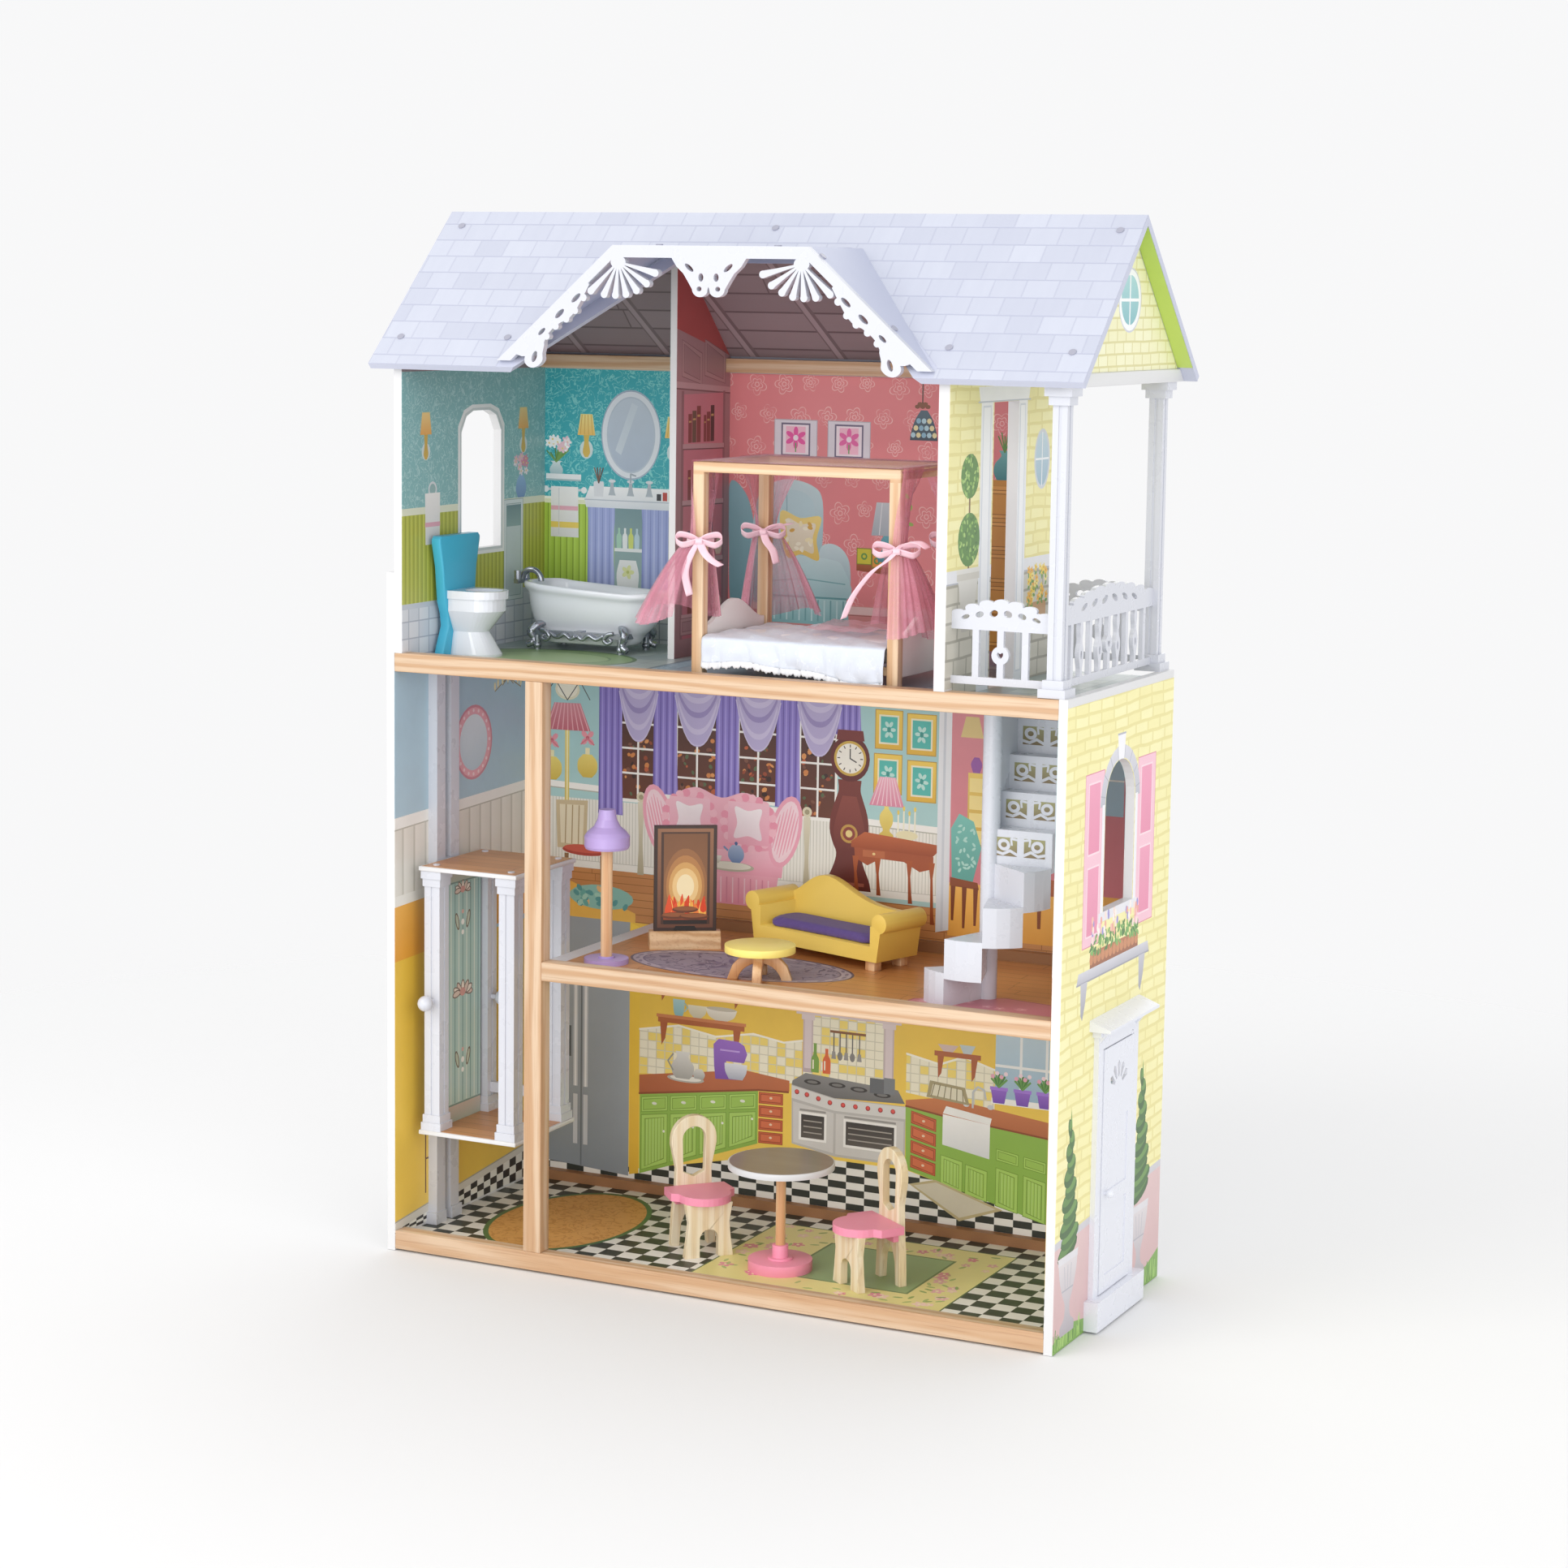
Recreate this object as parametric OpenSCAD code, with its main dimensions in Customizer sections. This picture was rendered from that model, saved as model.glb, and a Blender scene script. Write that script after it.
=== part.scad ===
// Three-storey wooden dollhouse with a sliding lift, a hinged door, a balcony and loose furniture.
// X runs along the front from left to right, Y from front to back, Z up. The origin is on the
// ground, in the middle of the house.

/* [House] */
// Outside width over the side walls
house_w = 816; // [808:2:830]
// Depth of the side walls
house_d = 322; // [318:2:326]
// Height of the roof ridge
ridge_h = 1180; // [1176:1:1190]
// Thickness of the side walls
wall_t = 10; // [9:1:10]
// Thickness of the back panels
back_t = 6; // [5:1:6]
// Thickness of the floor boards
floor_t = 10; // [8:1:10]
// Surface of the ground floor
ground_h = 14; // [14:1:16]
// Surface of the second floor
second_h = 346; // [344:1:348]
// Surface of the third floor
third_h = 679; // [677:1:681]

/* [Timber] */
// Height of the pine rails along the front
rail_h = 21; // [19:1:21]
// Depth of the pine rails
rail_d = 20; // [18:1:20]
// How far the rails stand above the floors
rail_lip = 9; // [8:1:9]
// Left side of the pine post at the front
post_x = -229; // [-230:1:-228]
// Width of the pine post
post_w = 22; // [20:1:23]

/* [Roof] */
// Length of the roof along the ridge
roof_l = 844; // [840:2:860]
// Distance from the ridge to each eave, measured level
roof_run = 176; // [175:1:178]
// Drop from the ridge to each eave
roof_drop = 170; // [168:1:172]
// Thickness of the roof panels
roof_t = 8; // [7:1:8]
// Half width of the dormer's front at its foot
dormer_foot = 257; // [255:1:258]
// Half width of the dormer's front at its top
dormer_top = 115; // [110:1:116]
// Width of the white band round the dormer's front
band_w = 17; // [15:1:18]

/* [Lift] */
// Width of the lift car
car_w = 128; // [120:2:130]
// Depth of the lift car
car_d = 136; // [128:2:138]
// Height of the lift car's columns
car_h = 301; // [290:1:301]
// Floor of the lift car above the ground
car_z = 137; // [130:1:200]

/* [Front door] */
// Width of the door leaf
door_w = 90; // [80:2:90]
// Height of the door leaf
door_h = 268; // [260:2:268]

/* [Hidden] */
$fn = 48;

// Planes of the house
x_in = house_w / 2 - wall_t;
y_front = -house_d / 2;
y_board = y_front + rail_d;
y_back = house_d / 2 - back_t;
upper_wall_x = -x_in + wall_t;
rail_top = third_h + rail_lip;
right_wall_h = rail_top + 0.5;
left_wall_h = third_h + 99;
batten_h = 12;

// Roof
slope = atan2(roof_drop, roof_run);
eave_z = ridge_h - roof_drop;
dormer_z = ridge_h - 38;
dormer_foot_z = eave_z + 7;
dormer_t = 4;
dormer_slant = atan2(dormer_z - dormer_foot_z, dormer_foot - dormer_top);
cut_foot = 248;
cut_top = 100;
cut_z = ridge_h - 55;
lintel_h = 14;
lintel_z = eave_z - 6;

// Rooms and openings
divider_x = -149;
divider_front = 22;
divider_t = 8;
balcony_x = 259;
balcony_t = 12;
doorway = [-42, 28, 304];
left_window = [-35, 53, 116, 159];
right_window = [45, 451, 113];
door_sill = 35;

// Balcony furniture
column_x = 388;
column_y = 143;
column_side = 16;
column_foot = 30;

// Lift
car_x = -319.5;
car_y = -66;
car_board = 5;
track_y = -66;
groove_w = 12;
track_t = 12;

// Gap between loose pieces and what they stand on
gap = 0.2;

// Staircase
stair_pivot = [281, -50];
stair_r = 72;
stair_post_r = 10;
stair_rise = (third_h - second_h) / 9;
winders = [222, 252, 287, 322, 356];
stair_going = 22;

module block(low, high) { translate(low) cube(high - low); }
module along_x(x0, len) { translate([x0, 0, 0]) rotate([90, 0, 90]) linear_extrude(len) children(); }
module along_y(y0, len) { translate([0, y0 + len, 0]) rotate([90, 0, 0]) linear_extrude(len) children(); }
module placed(at, turn = 0) { translate(at) rotate([0, 0, turn]) children(); }

function under(y) = ridge_h - roof_t / cos(slope) - abs(y) * tan(slope);
function arc(r, from, to, n = 12) = [for (i = [0:n]) let (a = from + (to - from) * i / n) [r * cos(a), r * sin(a)]];
function shift(points, by) = [for (p = points) p + by];
function flip(points) = [for (i = [len(points) - 1:-1:0]) [-points[i][0], points[i][1]]];

// ---- Walls and floors ----

module arched_opening(half, foot, straight) {
    polygon(concat([[-half, foot], [half, foot]], shift(arc(half, 0, 180, 16), [0, foot + straight])));
}

module left_wall_lower() {
    color("white") block([-house_w / 2, y_front, 0], [-x_in, -y_front, left_wall_h]);
}

// Outline of a wall that closes a room under the roof, notched over the front rail
module roof_wall_outline(y_end) {
    polygon([
        [y_front, rail_top], [y_board, rail_top], [y_board, third_h], [y_end, third_h],
        [y_end, under(y_end)], [0, under(0)], [y_front, under(y_front)]
    ]);
}

module left_wall_upper() {
    mid = (left_window[0] + left_window[1]) / 2;
    half = (left_window[1] - left_window[0]) / 2;
    color("white") along_x(-x_in, wall_t) difference() {
        roof_wall_outline(-y_front);
        translate([mid, third_h]) polygon([
            [-half, left_window[2]], [half, left_window[2]], [half, left_window[2] + left_window[3] - 24],
            [half * 0.75, left_window[2] + left_window[3] - 6], [half * 0.4, left_window[2] + left_window[3]],
            [-half * 0.4, left_window[2] + left_window[3]], [-half * 0.75, left_window[2] + left_window[3] - 6],
            [-half, left_window[2] + left_window[3] - 24]
        ]);
    }
}

module right_wall() {
    color("lightyellow") along_x(x_in, wall_t) difference() {
        translate([y_front, 0]) square([house_d, right_wall_h]);
        arched_opening(right_window[0], right_window[1], right_window[2]);
        translate([1 - door_w / 2, door_sill + 1]) square([door_w - 2, door_h - 2]);
    }
}

module back_panel(z0, z1, x1) { block([-x_in, y_back, z0], [x1, house_d / 2, z1]); }

module back_panel_lower() { color("tan") back_panel(0, second_h - floor_t / 2, x_in); }

module back_panel_middle() { color("lightblue") back_panel(second_h - floor_t / 2, third_h - floor_t, x_in); }

module back_panel_upper() {
    color("lightcoral") block([upper_wall_x, y_back, third_h - floor_t], [balcony_x + balcony_t, house_d / 2, under(house_d / 2)]);
}

module floor_board(x0, top) { block([x0, y_board, top - floor_t], [x_in, y_back, top]); }

module ground_floor() { color("dimgray") floor_board(-x_in, ground_h); }

module second_floor() { color("peru") floor_board(post_x, second_h); }

// The balcony's part of the floor runs over the back panel below
module third_floor() {
    color("slategray") {
        floor_board(-x_in, third_h);
        block([balcony_x + balcony_t, y_board, third_h - floor_t], [x_in, -y_front, third_h]);
    }
}

module front_rail(x0, top) { block([x0, y_front, top + rail_lip - rail_h], [x_in, y_board, top + rail_lip]); }

module front_rails() {
    color("burlywood") {
        front_rail(-x_in, ground_h);
        front_rail(post_x + post_w, second_h);
        front_rail(-x_in, third_h);
    }
}

module front_post() {
    color("burlywood") block([post_x, y_front, ground_h + rail_lip], [post_x + post_w, y_board, rail_top - rail_h]);
}

// Strips that lock the floors to the back panels, and the bearer under the ground floor
module floor_battens() {
    color("sienna") {
        block([-x_in, y_back - batten_h, ground_h], [x_in, y_back, ground_h + batten_h]);
        block([post_x, y_back - batten_h, second_h], [x_in, y_back, second_h + batten_h]);
        block([-20, -130, 0], [20, 130, ground_h - floor_t]);
    }
}

module rear_roof_beam() {
    color("burlywood") block([upper_wall_x, y_back - batten_h, eave_z - 9], [divider_x, y_back, eave_z + 7]);
    color("burlywood") block([divider_x + divider_t, y_back - batten_h, eave_z - 9], [balcony_x, y_back, eave_z + 7]);
}

// The divider covers the back half of the floor and rises to the underside of the roof
module room_divider() {
    color("rosybrown") along_x(divider_x, divider_t) polygon([
        [divider_front, third_h], [y_back, third_h],
        [y_back, under(y_back)], [divider_front, under(divider_front)]
    ]);
}

module balcony_wall() {
    color("khaki") along_x(balcony_x, balcony_t) difference() {
        roof_wall_outline(y_back);
        translate([doorway[0], third_h - 1]) square([doorway[1] - doorway[0], doorway[2] + 1]);
    }
}

// ---- Roof ----

module roof_panel() {
    polygon([
        [0, ridge_h], [-roof_run, eave_z],
        [-roof_run + roof_t * sin(slope), eave_z - roof_t * cos(slope)], [0, under(0)]
    ]);
}

// Everything below the roof's top surface, to cut the dormer and its trim to the roof
module below_roof() {
    reach = 300;
    along_x(-reach, 2 * reach) polygon([
        [0, ridge_h], [-reach, ridge_h - reach * tan(slope)], [-reach, 900], [0, 900]
    ]);
}

module roof_front() {
    color("lavender") difference() {
        along_x(-roof_l / 2, roof_l) roof_panel();
        along_y(-roof_run - 10, roof_run + 10)
            polygon([[-cut_foot, eave_z - 10], [cut_foot, eave_z - 10], [cut_top, cut_z], [-cut_top, cut_z]]);
    }
}

module roof_back() { color("lavender") mirror([0, 1, 0]) along_x(-roof_l / 2, roof_l) roof_panel(); }

module gable_right() {
    reach = (under(0) - lintel_z - lintel_h) / tan(slope);
    color("khaki") along_x(x_in, 6)
        polygon([[-reach, lintel_z + lintel_h], [reach, lintel_z + lintel_h], [0, under(0)]]);
}

module dormer_outline(inset) {
    side = inset / sin(dormer_slant);
    extra = inset / tan(dormer_slant);
    polygon([
        [-dormer_foot + side, dormer_foot_z], [dormer_foot - side, dormer_foot_z],
        [dormer_top - side + extra, dormer_z - inset], [-dormer_top + side - extra, dormer_z - inset]
    ]);
}

trim_t = 8;

module dormer_cover() {
    color("lavender") difference() {
        along_y(-roof_run + trim_t, roof_run - trim_t) difference() {
            dormer_outline(0);
            dormer_outline(dormer_t);
            translate([-dormer_foot, dormer_foot_z - 1]) square([2 * dormer_foot, 1]);
        }
        below_roof();
    }
}

// One pierced petal of the fan in each upper corner of the dormer's front
module petal(length, width) {
    n = 14;
    side = [for (i = [0:n]) let (t = i / n) [t * length, width * sin(180 * pow(t, 1.6)) / 2 + 1]];
    polygon(concat(side, [for (i = [n:-1:0]) [side[i][0], -side[i][1]]]));
}

module lace_ring(at, r, hole) { translate(at) difference() { circle(r); circle(hole); } }

module half_lace() {
    corner = [dormer_top - 8, dormer_z - band_w + 2];
    for (a = [188, 206, 224, 242, 260]) translate(corner) rotate(a) petal(50, 13);
    for (a = [197, 215, 233, 251]) translate(corner + 46 * [cos(a), sin(a)]) circle(5);
    // Swag down the slanting side, ending in a drop
    along = [cos(dormer_slant), -sin(dormer_slant)];
    for (i = [0:6]) lace_ring(corner + [14, -8] + (30 + 16 * i) * along + [-9 - 4 * sin(60 * i), -7], 8, 3);
    lace_ring(corner + [14, -8] + 150 * along + [-13, -8], 11, 4);
    // Half of the pendant in the middle
    lace_ring([16, dormer_z - band_w - 26], 13, 5);
    translate([0, dormer_z - band_w - 22]) square([10, 24]);
    lace_ring([30, dormer_z - band_w - 8], 10, 4);
}

module gable_trim() {
    lace_t = 3;
    color("white") difference() {
        union() {
            along_y(-roof_run, trim_t) difference() {
                dormer_outline(0);
                dormer_outline(band_w);
            }
            along_y(-roof_run + 2, lace_t) intersection() {
                union() {
                    half_lace();
                    mirror([1, 0]) half_lace();
                }
                dormer_outline(0);
            }
        }
        below_roof();
    }
}

// ---- Balcony ----

module balcony_lintel() {
    top = lintel_z + lintel_h;
    low = (under(0) - lintel_z) / tan(slope) - 0.3;
    high = (under(0) - top) / tan(slope);
    color("white") along_x(x_in - 3, 12) polygon([[-low, lintel_z], [low, lintel_z], [high, top], [-high, top]]);
}

// A square column with a stepped foot and head and a groove down each face
module square_column(side, foot, h) {
    step = 6;
    difference() {
        translate([-side / 2, -side / 2, 0]) cube([side, side, h]);
        for (a = [0:90:270]) rotate(a) translate([side / 2 - 1, -1.5, 3 * step]) cube([2, 3, h - 6 * step]);
    }
    for (end = [0, 1]) for (i = [0:1]) let (w = foot - i * (foot - side) / 2)
        translate([-w / 2, -w / 2, end == 0 ? i * step * 1.5 : h - (i + 1) * step * 1.5]) cube([w, w, step * 1.5]);
}

module balcony_columns() {
    color("white") for (s = [-1, 1])
        translate([column_x, s * column_y, right_wall_h]) square_column(column_side, column_foot, lintel_z - right_wall_h);
}

// A railing in its own plane: foot rail, hand rail, balusters and a scrolled crest
module railing(length, h, balusters) {
    bar = 8;
    deck = h * 0.72;
    square([length, bar]);
    translate([0, deck - bar]) square([length, bar]);
    for (i = [1:balusters]) let (x = length * i / (balusters + 1)) {
        translate([x - 4, bar - 1]) square([8, deck - 2 * bar + 2]);
        if (i % 2 == 0) translate([x, deck * 0.5]) circle(8);
    }
    lobes = 7;
    for (i = [1:lobes]) let (x = length * i / (lobes + 1), lift = (h - deck) * sin(180 * i / (lobes + 1)))
        translate([x, deck - bar]) square([length / (lobes + 1) + 2, lift + 4], center = false);
}

module balcony_end_railings() {
    x0 = balcony_x + balcony_t;
    length = column_x - column_side / 2 - x0;
    color("white") difference() {
        for (y = [-column_y - 2.5, column_y - 2.5])
            along_y(y, 5) translate([x0, third_h + 17]) railing(length, 90, 3);
        balcony_columns();
    }
}

module balcony_side_railing() {
    length = 2 * column_y - column_side;
    color("white") difference() {
        along_x(column_x - 2.5, 5) translate([-length / 2, third_h + 17]) railing(length, 106, 9);
        balcony_columns();
    }
}

// ---- Lift track, front door surround, screws ----

module elevator_track() {
    strip = 18;
    low = ground_h;
    high = third_h - floor_t;
    color("white") for (s = [-1, 1]) {
        y = track_y + s * (groove_w + strip) / 2;
        block([-x_in, y - strip / 2, low], [-x_in + track_t, y + strip / 2, high]);
        block([-x_in, y - strip / 2 - (s < 0 ? 4 : 0), low], [-x_in + track_t + 2, y + strip / 2 + (s > 0 ? 4 : 0), low + 14]);
    }
}

surround_x = house_w / 2;
leaf_x = surround_x + 3;
hinge_y = door_w / 2 - 2;
pin_r = 1.5;

module door_surround() {
    half = door_w / 2 + 1;
    top = door_sill + door_h + 1;
    stoop_top = door_sill - 1;
    color("white") difference() {
        union() {
            // Architrave
            difference() {
                block([surround_x, -half - 15, stoop_top], [surround_x + 6, half + 15, top + 16]);
                block([surround_x - 1, -half, stoop_top], [surround_x + 7, half, top]);
            }
            // Cornice, sloping canopy and brackets
            block([surround_x, -half - 20, top + 16], [surround_x + 10, half + 20, top + 24]);
            along_y(-half - 30, 2 * half + 60)
                polygon(shift([[0, 0], [24, 0], [24, 3], [0, 12]], [surround_x, top + 24]));
            for (s = [-1, 1]) along_y(s * (half + 10) - 4, 8)
                polygon(shift([[0, 0], [18, 24], [0, 24]], [surround_x, top]));
            // Stoop
            block([surround_x, -half - 26, 2], [surround_x + 16, half + 26, stoop_top]);
        }
        translate([leaf_x + 2, hinge_y, stoop_top - 4]) cylinder(r = pin_r + 0.05, h = 5);
        translate([leaf_x + 2, hinge_y, top - 1]) cylinder(r = pin_r + 0.05, h = 5);
    }
}

module roof_screws() {
    head = [4, 1.6];
    color("lavender") {
        for (side = [-1, 1]) for (x = [-398, 0, 398]) for (along = [0.1, 0.83])
            if (x != 0 || along < 0.5 || side > 0)
                translate([x, side * roof_run * along, ridge_h - roof_drop * along])
                    rotate([side * -slope, 0, 0]) cylinder(r = head[0], h = head[1]);
        for (x = [-262, 262]) translate([x, -roof_run * 0.82, ridge_h - roof_drop * 0.82])
            rotate([slope, 0, 0]) cylinder(r = head[0], h = head[1]);
        for (x = [-70, 70]) translate([x, -roof_run + 22, dormer_z]) cylinder(r = head[0], h = head[1]);
        for (s = [-1, 1]) for (t = [0.08, 0.66])
            translate([s * (dormer_top + t * (dormer_foot - dormer_top)), -roof_run + 12, dormer_z - t * (dormer_z - dormer_foot_z)])
                rotate([0, s * dormer_slant, 0]) cylinder(r = head[0], h = head[1]);
    }
}

// ---- Staircase ----

module wedge(r, from, to) { polygon(concat([[0, 0]], arc(r, from, to, 3))); }

module staircase() {
    top = third_h - floor_t - gap;
    straight = 4;
    color("white") {
        translate([stair_pivot[0], stair_pivot[1], second_h]) cylinder(r = stair_post_r, h = top - second_h);
        // Winding steps round the post
        for (i = [0:3]) let (lap = i == 0 ? 0 : 6)
            translate([stair_pivot[0], stair_pivot[1], second_h + i * stair_rise - lap])
                linear_extrude(stair_rise + lap) wedge(stair_r, winders[i], winders[i + 1]);
        // Straight flight that carries on to the back, on a closed string
        for (i = [0:straight - 1]) block(
            [stair_pivot[0], stair_pivot[1] + i * stair_going - (i == 0 ? 4 : 0), second_h + (i + 4) * stair_rise - 6],
            [stair_pivot[0] + stair_r, stair_pivot[1] + (i + 1) * stair_going, second_h + (i + 5) * stair_rise]
        );
        block([stair_pivot[0] - 8, stair_pivot[1], second_h + 3 * stair_rise],
              [stair_pivot[0] + 2, stair_pivot[1] + straight * stair_going, top]);
    }
}

// ---- Lift car ----

module car_plate(z0) {
    block([car_x - car_w / 2, car_y - car_d / 2, z0], [car_x + car_w / 2, car_y + car_d / 2, z0 + car_board]);
}

module elevator_floor() { color("sienna") car_plate(car_z - car_board); }

module elevator_roof() { color("sienna") car_plate(car_z + car_h); }

car_column = 20;
car_foot = 26;
car_inset = 15;

module elevator_columns() {
    color("white") {
        for (sx = [-1, 1]) for (sy = [-1, 1])
            translate([car_x + sx * (car_w / 2 - car_inset), car_y + sy * (car_d / 2 - car_inset), car_z])
                square_column(car_column, car_foot, car_h);
        // Low guard between the two back columns
        block([car_x - car_w / 2 + car_inset + 8, car_y + car_d / 2 - car_inset - 3, car_z + 22],
              [car_x + car_w / 2 - car_inset - 8, car_y + car_d / 2 - car_inset + 3, car_z + 34]);
    }
}

module elevator_side_panel() {
    x = car_x - car_w / 2 + car_inset;
    reach = car_d / 2 - car_inset - car_foot / 2;
    color("darkseagreen") block([x - 2, car_y - reach, car_z], [x + 2, car_y + reach, car_z + car_h]);
}

module ball_knob() {
    cylinder(r = 3, h = 9);
    translate([0, 0, 14]) sphere(r = 9);
}

// Ball knobs that lift the car, pins on its roof and the peg that runs in the track
module elevator_pegs() {
    left = car_x - car_w / 2;
    color("white") {
        translate([left + car_inset, car_y - car_d / 2 + car_inset - car_column / 2, car_z + car_h / 2])
            rotate([90, 0, 0]) ball_knob();
        translate([left + car_inset + car_column / 2, car_y + car_d / 2 - car_inset, car_z + car_h / 2 - 15])
            rotate([0, 90, 0]) ball_knob();
        for (sx = [-1, 1]) for (sy = [-1, 1])
            translate([car_x + sx * (car_w / 2 - car_inset), car_y + sy * (car_d / 2 - car_inset), car_z + car_h + car_board])
                cylinder(r = 4, h = 1.5);
        for (z = [car_z - car_board, car_z + car_h])
            block([left - 9, track_y - groove_w / 2 + 1, z], [left, track_y + groove_w / 2 - 1, z + car_board]);
    }
}

// ---- Front door ----

module door_leaf() {
    leaf_t = 4;
    fan = door_sill + door_h * 0.86;
    color("white") {
        difference() {
            block([leaf_x, -door_w / 2, door_sill], [leaf_x + leaf_t, door_w / 2, door_sill + door_h]);
            for (z = [door_sill + 18, door_sill + 110])
                block([leaf_x + leaf_t - 1.2, -door_w / 2 + 14, z], [leaf_x + leaf_t + 1, door_w / 2 - 14, z + 76]);
            // Fan light
            along_x(leaf_x - 1, leaf_t + 2) for (a = [30:30:150])
                polygon(shift([12 * [cos(a - 8), sin(a - 8)], 26 * [cos(a - 10), sin(a - 10)],
                    30 * [cos(a), sin(a)], 26 * [cos(a + 10), sin(a + 10)], 12 * [cos(a + 8), sin(a + 8)]], [0, fan - 12]));
        }
        for (z = [door_sill - 3.8, door_sill + door_h]) translate([leaf_x + 2, hinge_y, z]) cylinder(r = pin_r, h = 3.8);
    }
}

module door_knob() {
    color("white") translate([leaf_x + 4, -door_w / 2 + 10, door_sill + 110]) {
        rotate([0, 90, 0]) cylinder(r = 2, h = 4);
        translate([6, 0, 0]) sphere(r = 4.5);
    }
}

// ---- Bathroom ----

toilet_at = [-382, -66];

module toilet_back() {
    half = [[38, 0], [33, 14], [24, 34], [26, 48], [32, 62], [36, 100], [43, 128], [43, 134], [40, 137]];
    color("darkturquoise") translate([toilet_at[0], toilet_at[1], third_h + gap]) along_x(0, 12)
        polygon(concat(half, flip(half)));
}

module stadium(reach, r, h) { hull() for (x = [0, reach]) translate([x, 0, 0]) cylinder(r = r, h = h, $fn = 32); }

module toilet_bowl() {
    color("white") translate([toilet_at[0] + 12, toilet_at[1], third_h + gap]) difference() {
        union() {
            hull() {
                translate([8, 0, 0]) stadium(22, 22, 3);
                translate([6, 0, 26]) stadium(14, 16, 2);
            }
            hull() {
                translate([6, 0, 28]) stadium(14, 16, 1);
                translate([6, 0, 52]) stadium(23, 27, 14);
            }
            translate([6, 0, 66]) stadium(24, 29, 9);
        }
        block([-40, -40, -1], [0, 40, 90]);
        translate([30, 0, 54]) stadium(4, 20, 30);
    }
}

tub_at = [-269, 60];
tub_rim_z = 66;

module bathtub_shell() {
    color("white") translate([tub_at[0], tub_at[1], third_h + gap]) {
        difference() {
            union() {
                hull() {
                    translate([-48, 0, 24]) stadium(102, 18, 2);
                    translate([-46, 0, tub_rim_z - 12]) stadium(106, 33, 2);
                }
                translate([-48, 0, tub_rim_z - 10]) stadium(112, 37, 6);
                hull() {
                    translate([-48, 0, tub_rim_z - 5]) stadium(20, 37, 2);
                    translate([-52, 0, tub_rim_z + 7]) stadium(10, 33, 3);
                }
            }
            hull() {
                translate([-46, 0, 29]) stadium(98, 13, 1);
                translate([-46, 0, tub_rim_z + 12]) stadium(106, 30, 1);
            }
        }
        hull() {
            translate([-36, 0, 7]) stadium(72, 22, 2);
            translate([-40, 0, 15]) stadium(80, 26, 2);
        }
    }
}

module bathtub_fittings() {
    color("silver") translate([tub_at[0], tub_at[1], third_h + gap]) {
        for (sx = [-1, 1]) for (sy = [-1, 1]) translate([sx * 55, sy * 31, 0]) {
            translate([0, 0, 5]) sphere(r = 5);
            cylinder(r = 4, h = 23);
        }
        difference() {
            block([-62, -35, 17], [62, 35, 23]);
            block([-55, -27, 16], [55, 27, 24]);
        }
        block([-4, -35, 17], [4, 35, 24]);
        // Faucet over the raised end
        translate([-81, 0, tub_rim_z + 10]) {
            rotate([90, 0, 0]) rotate_extrude(angle = 180) translate([13, 0]) circle(3.5);
            for (s = [-1, 1]) translate([-13, s * 10, 0]) cylinder(r = 4, h = 12);
            translate([-16, -14, -3]) cube([6, 28, 5]);
        }
    }
}

// ---- Canopy bed ----

bed_low = [-33, -124];
bed_high = [198, 34];
bed_h = 234;
bed_post = 13;
deck_z = 26;

module bed_corners() { for (x = [bed_low[0], bed_high[0]]) for (y = [bed_low[1], bed_high[1]]) translate([x, y, third_h + gap]) children(); }

module bed_frame() {
    z = third_h + gap;
    h = bed_post / 2;
    color("burlywood") {
        bed_corners() translate([-h, -h, 0]) cube([bed_post, bed_post, bed_h]);
        for (y = [bed_low[1], bed_high[1]]) {
            block([bed_low[0] + h, y - h, z + bed_h - 11], [bed_high[0] - h, y + h, z + bed_h]);
            block([bed_low[0] + h, y - h + 2, z + deck_z - 9], [bed_high[0] - h, y + h - 2, z + deck_z]);
        }
        for (x = [bed_low[0], bed_high[0]])
            block([x - h, bed_low[1] + h, z + bed_h - 11], [x + h, bed_high[1] - h, z + bed_h]);
    }
}

module bed_end_boards() {
    mid = (bed_low[1] + bed_high[1]) / 2;
    half = (bed_high[1] - bed_low[1] - bed_post) / 2;
    n = 16;
    crown = [for (i = [0:n]) let (t = -1 + 2 * i / n) [t * half, 56 + 25 * (1 + cos(180 * t)) / 2]];
    color("white") for (x = [bed_low[0] - 3, bed_high[0] - 3]) translate([0, mid, third_h + gap])
        along_x(x, 6) polygon(concat([[half, 14], [-half, 14]], crown));
}

module bed_mattress() {
    low = [bed_low[0] + 4, bed_low[1] - 3, third_h + gap + deck_z];
    inset = bed_post / 2 + 1;
    color("white") difference() {
        block(low + [0, -4, 0], [bed_high[0] - 4, bed_high[1] + 5, third_h + gap + deck_z + 24]);
        bed_corners() translate([-inset, -inset, 0]) cube([2 * inset, 2 * inset, bed_h]);
    }
}

// Sheer curtains: a sheet over the top and a gathered fall round each post
module bed_curtains() {
    h = bed_post / 2 + 0.4;
    tie = 150;
    fall = [[9.6, 222], [13, 222], [12, tie + 4], [18, tie - 30], [30, 84], [22, 84], [9.6, tie - 30]];
    color("palevioletred") {
        block([bed_low[0] - 8, bed_low[1] - 8, third_h + gap + bed_h + 0.3], [bed_high[0] + 8, bed_high[1] + 8, third_h + gap + bed_h + 1.8]);
        bed_corners() rotate_extrude() polygon(fall);
    }
}

// ---- Living room ----

lamp_at = [-164, -90];

module lamp_shade() {
    color("mediumpurple") translate([lamp_at[0], lamp_at[1], second_h + gap + 130]) rotate_extrude()
        polygon([[0, 0], [24, 0], [25.5, 3], [25.5, 14], [22, 19], [15, 25], [11, 33], [9, 44], [0, 44]]);
}

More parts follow.
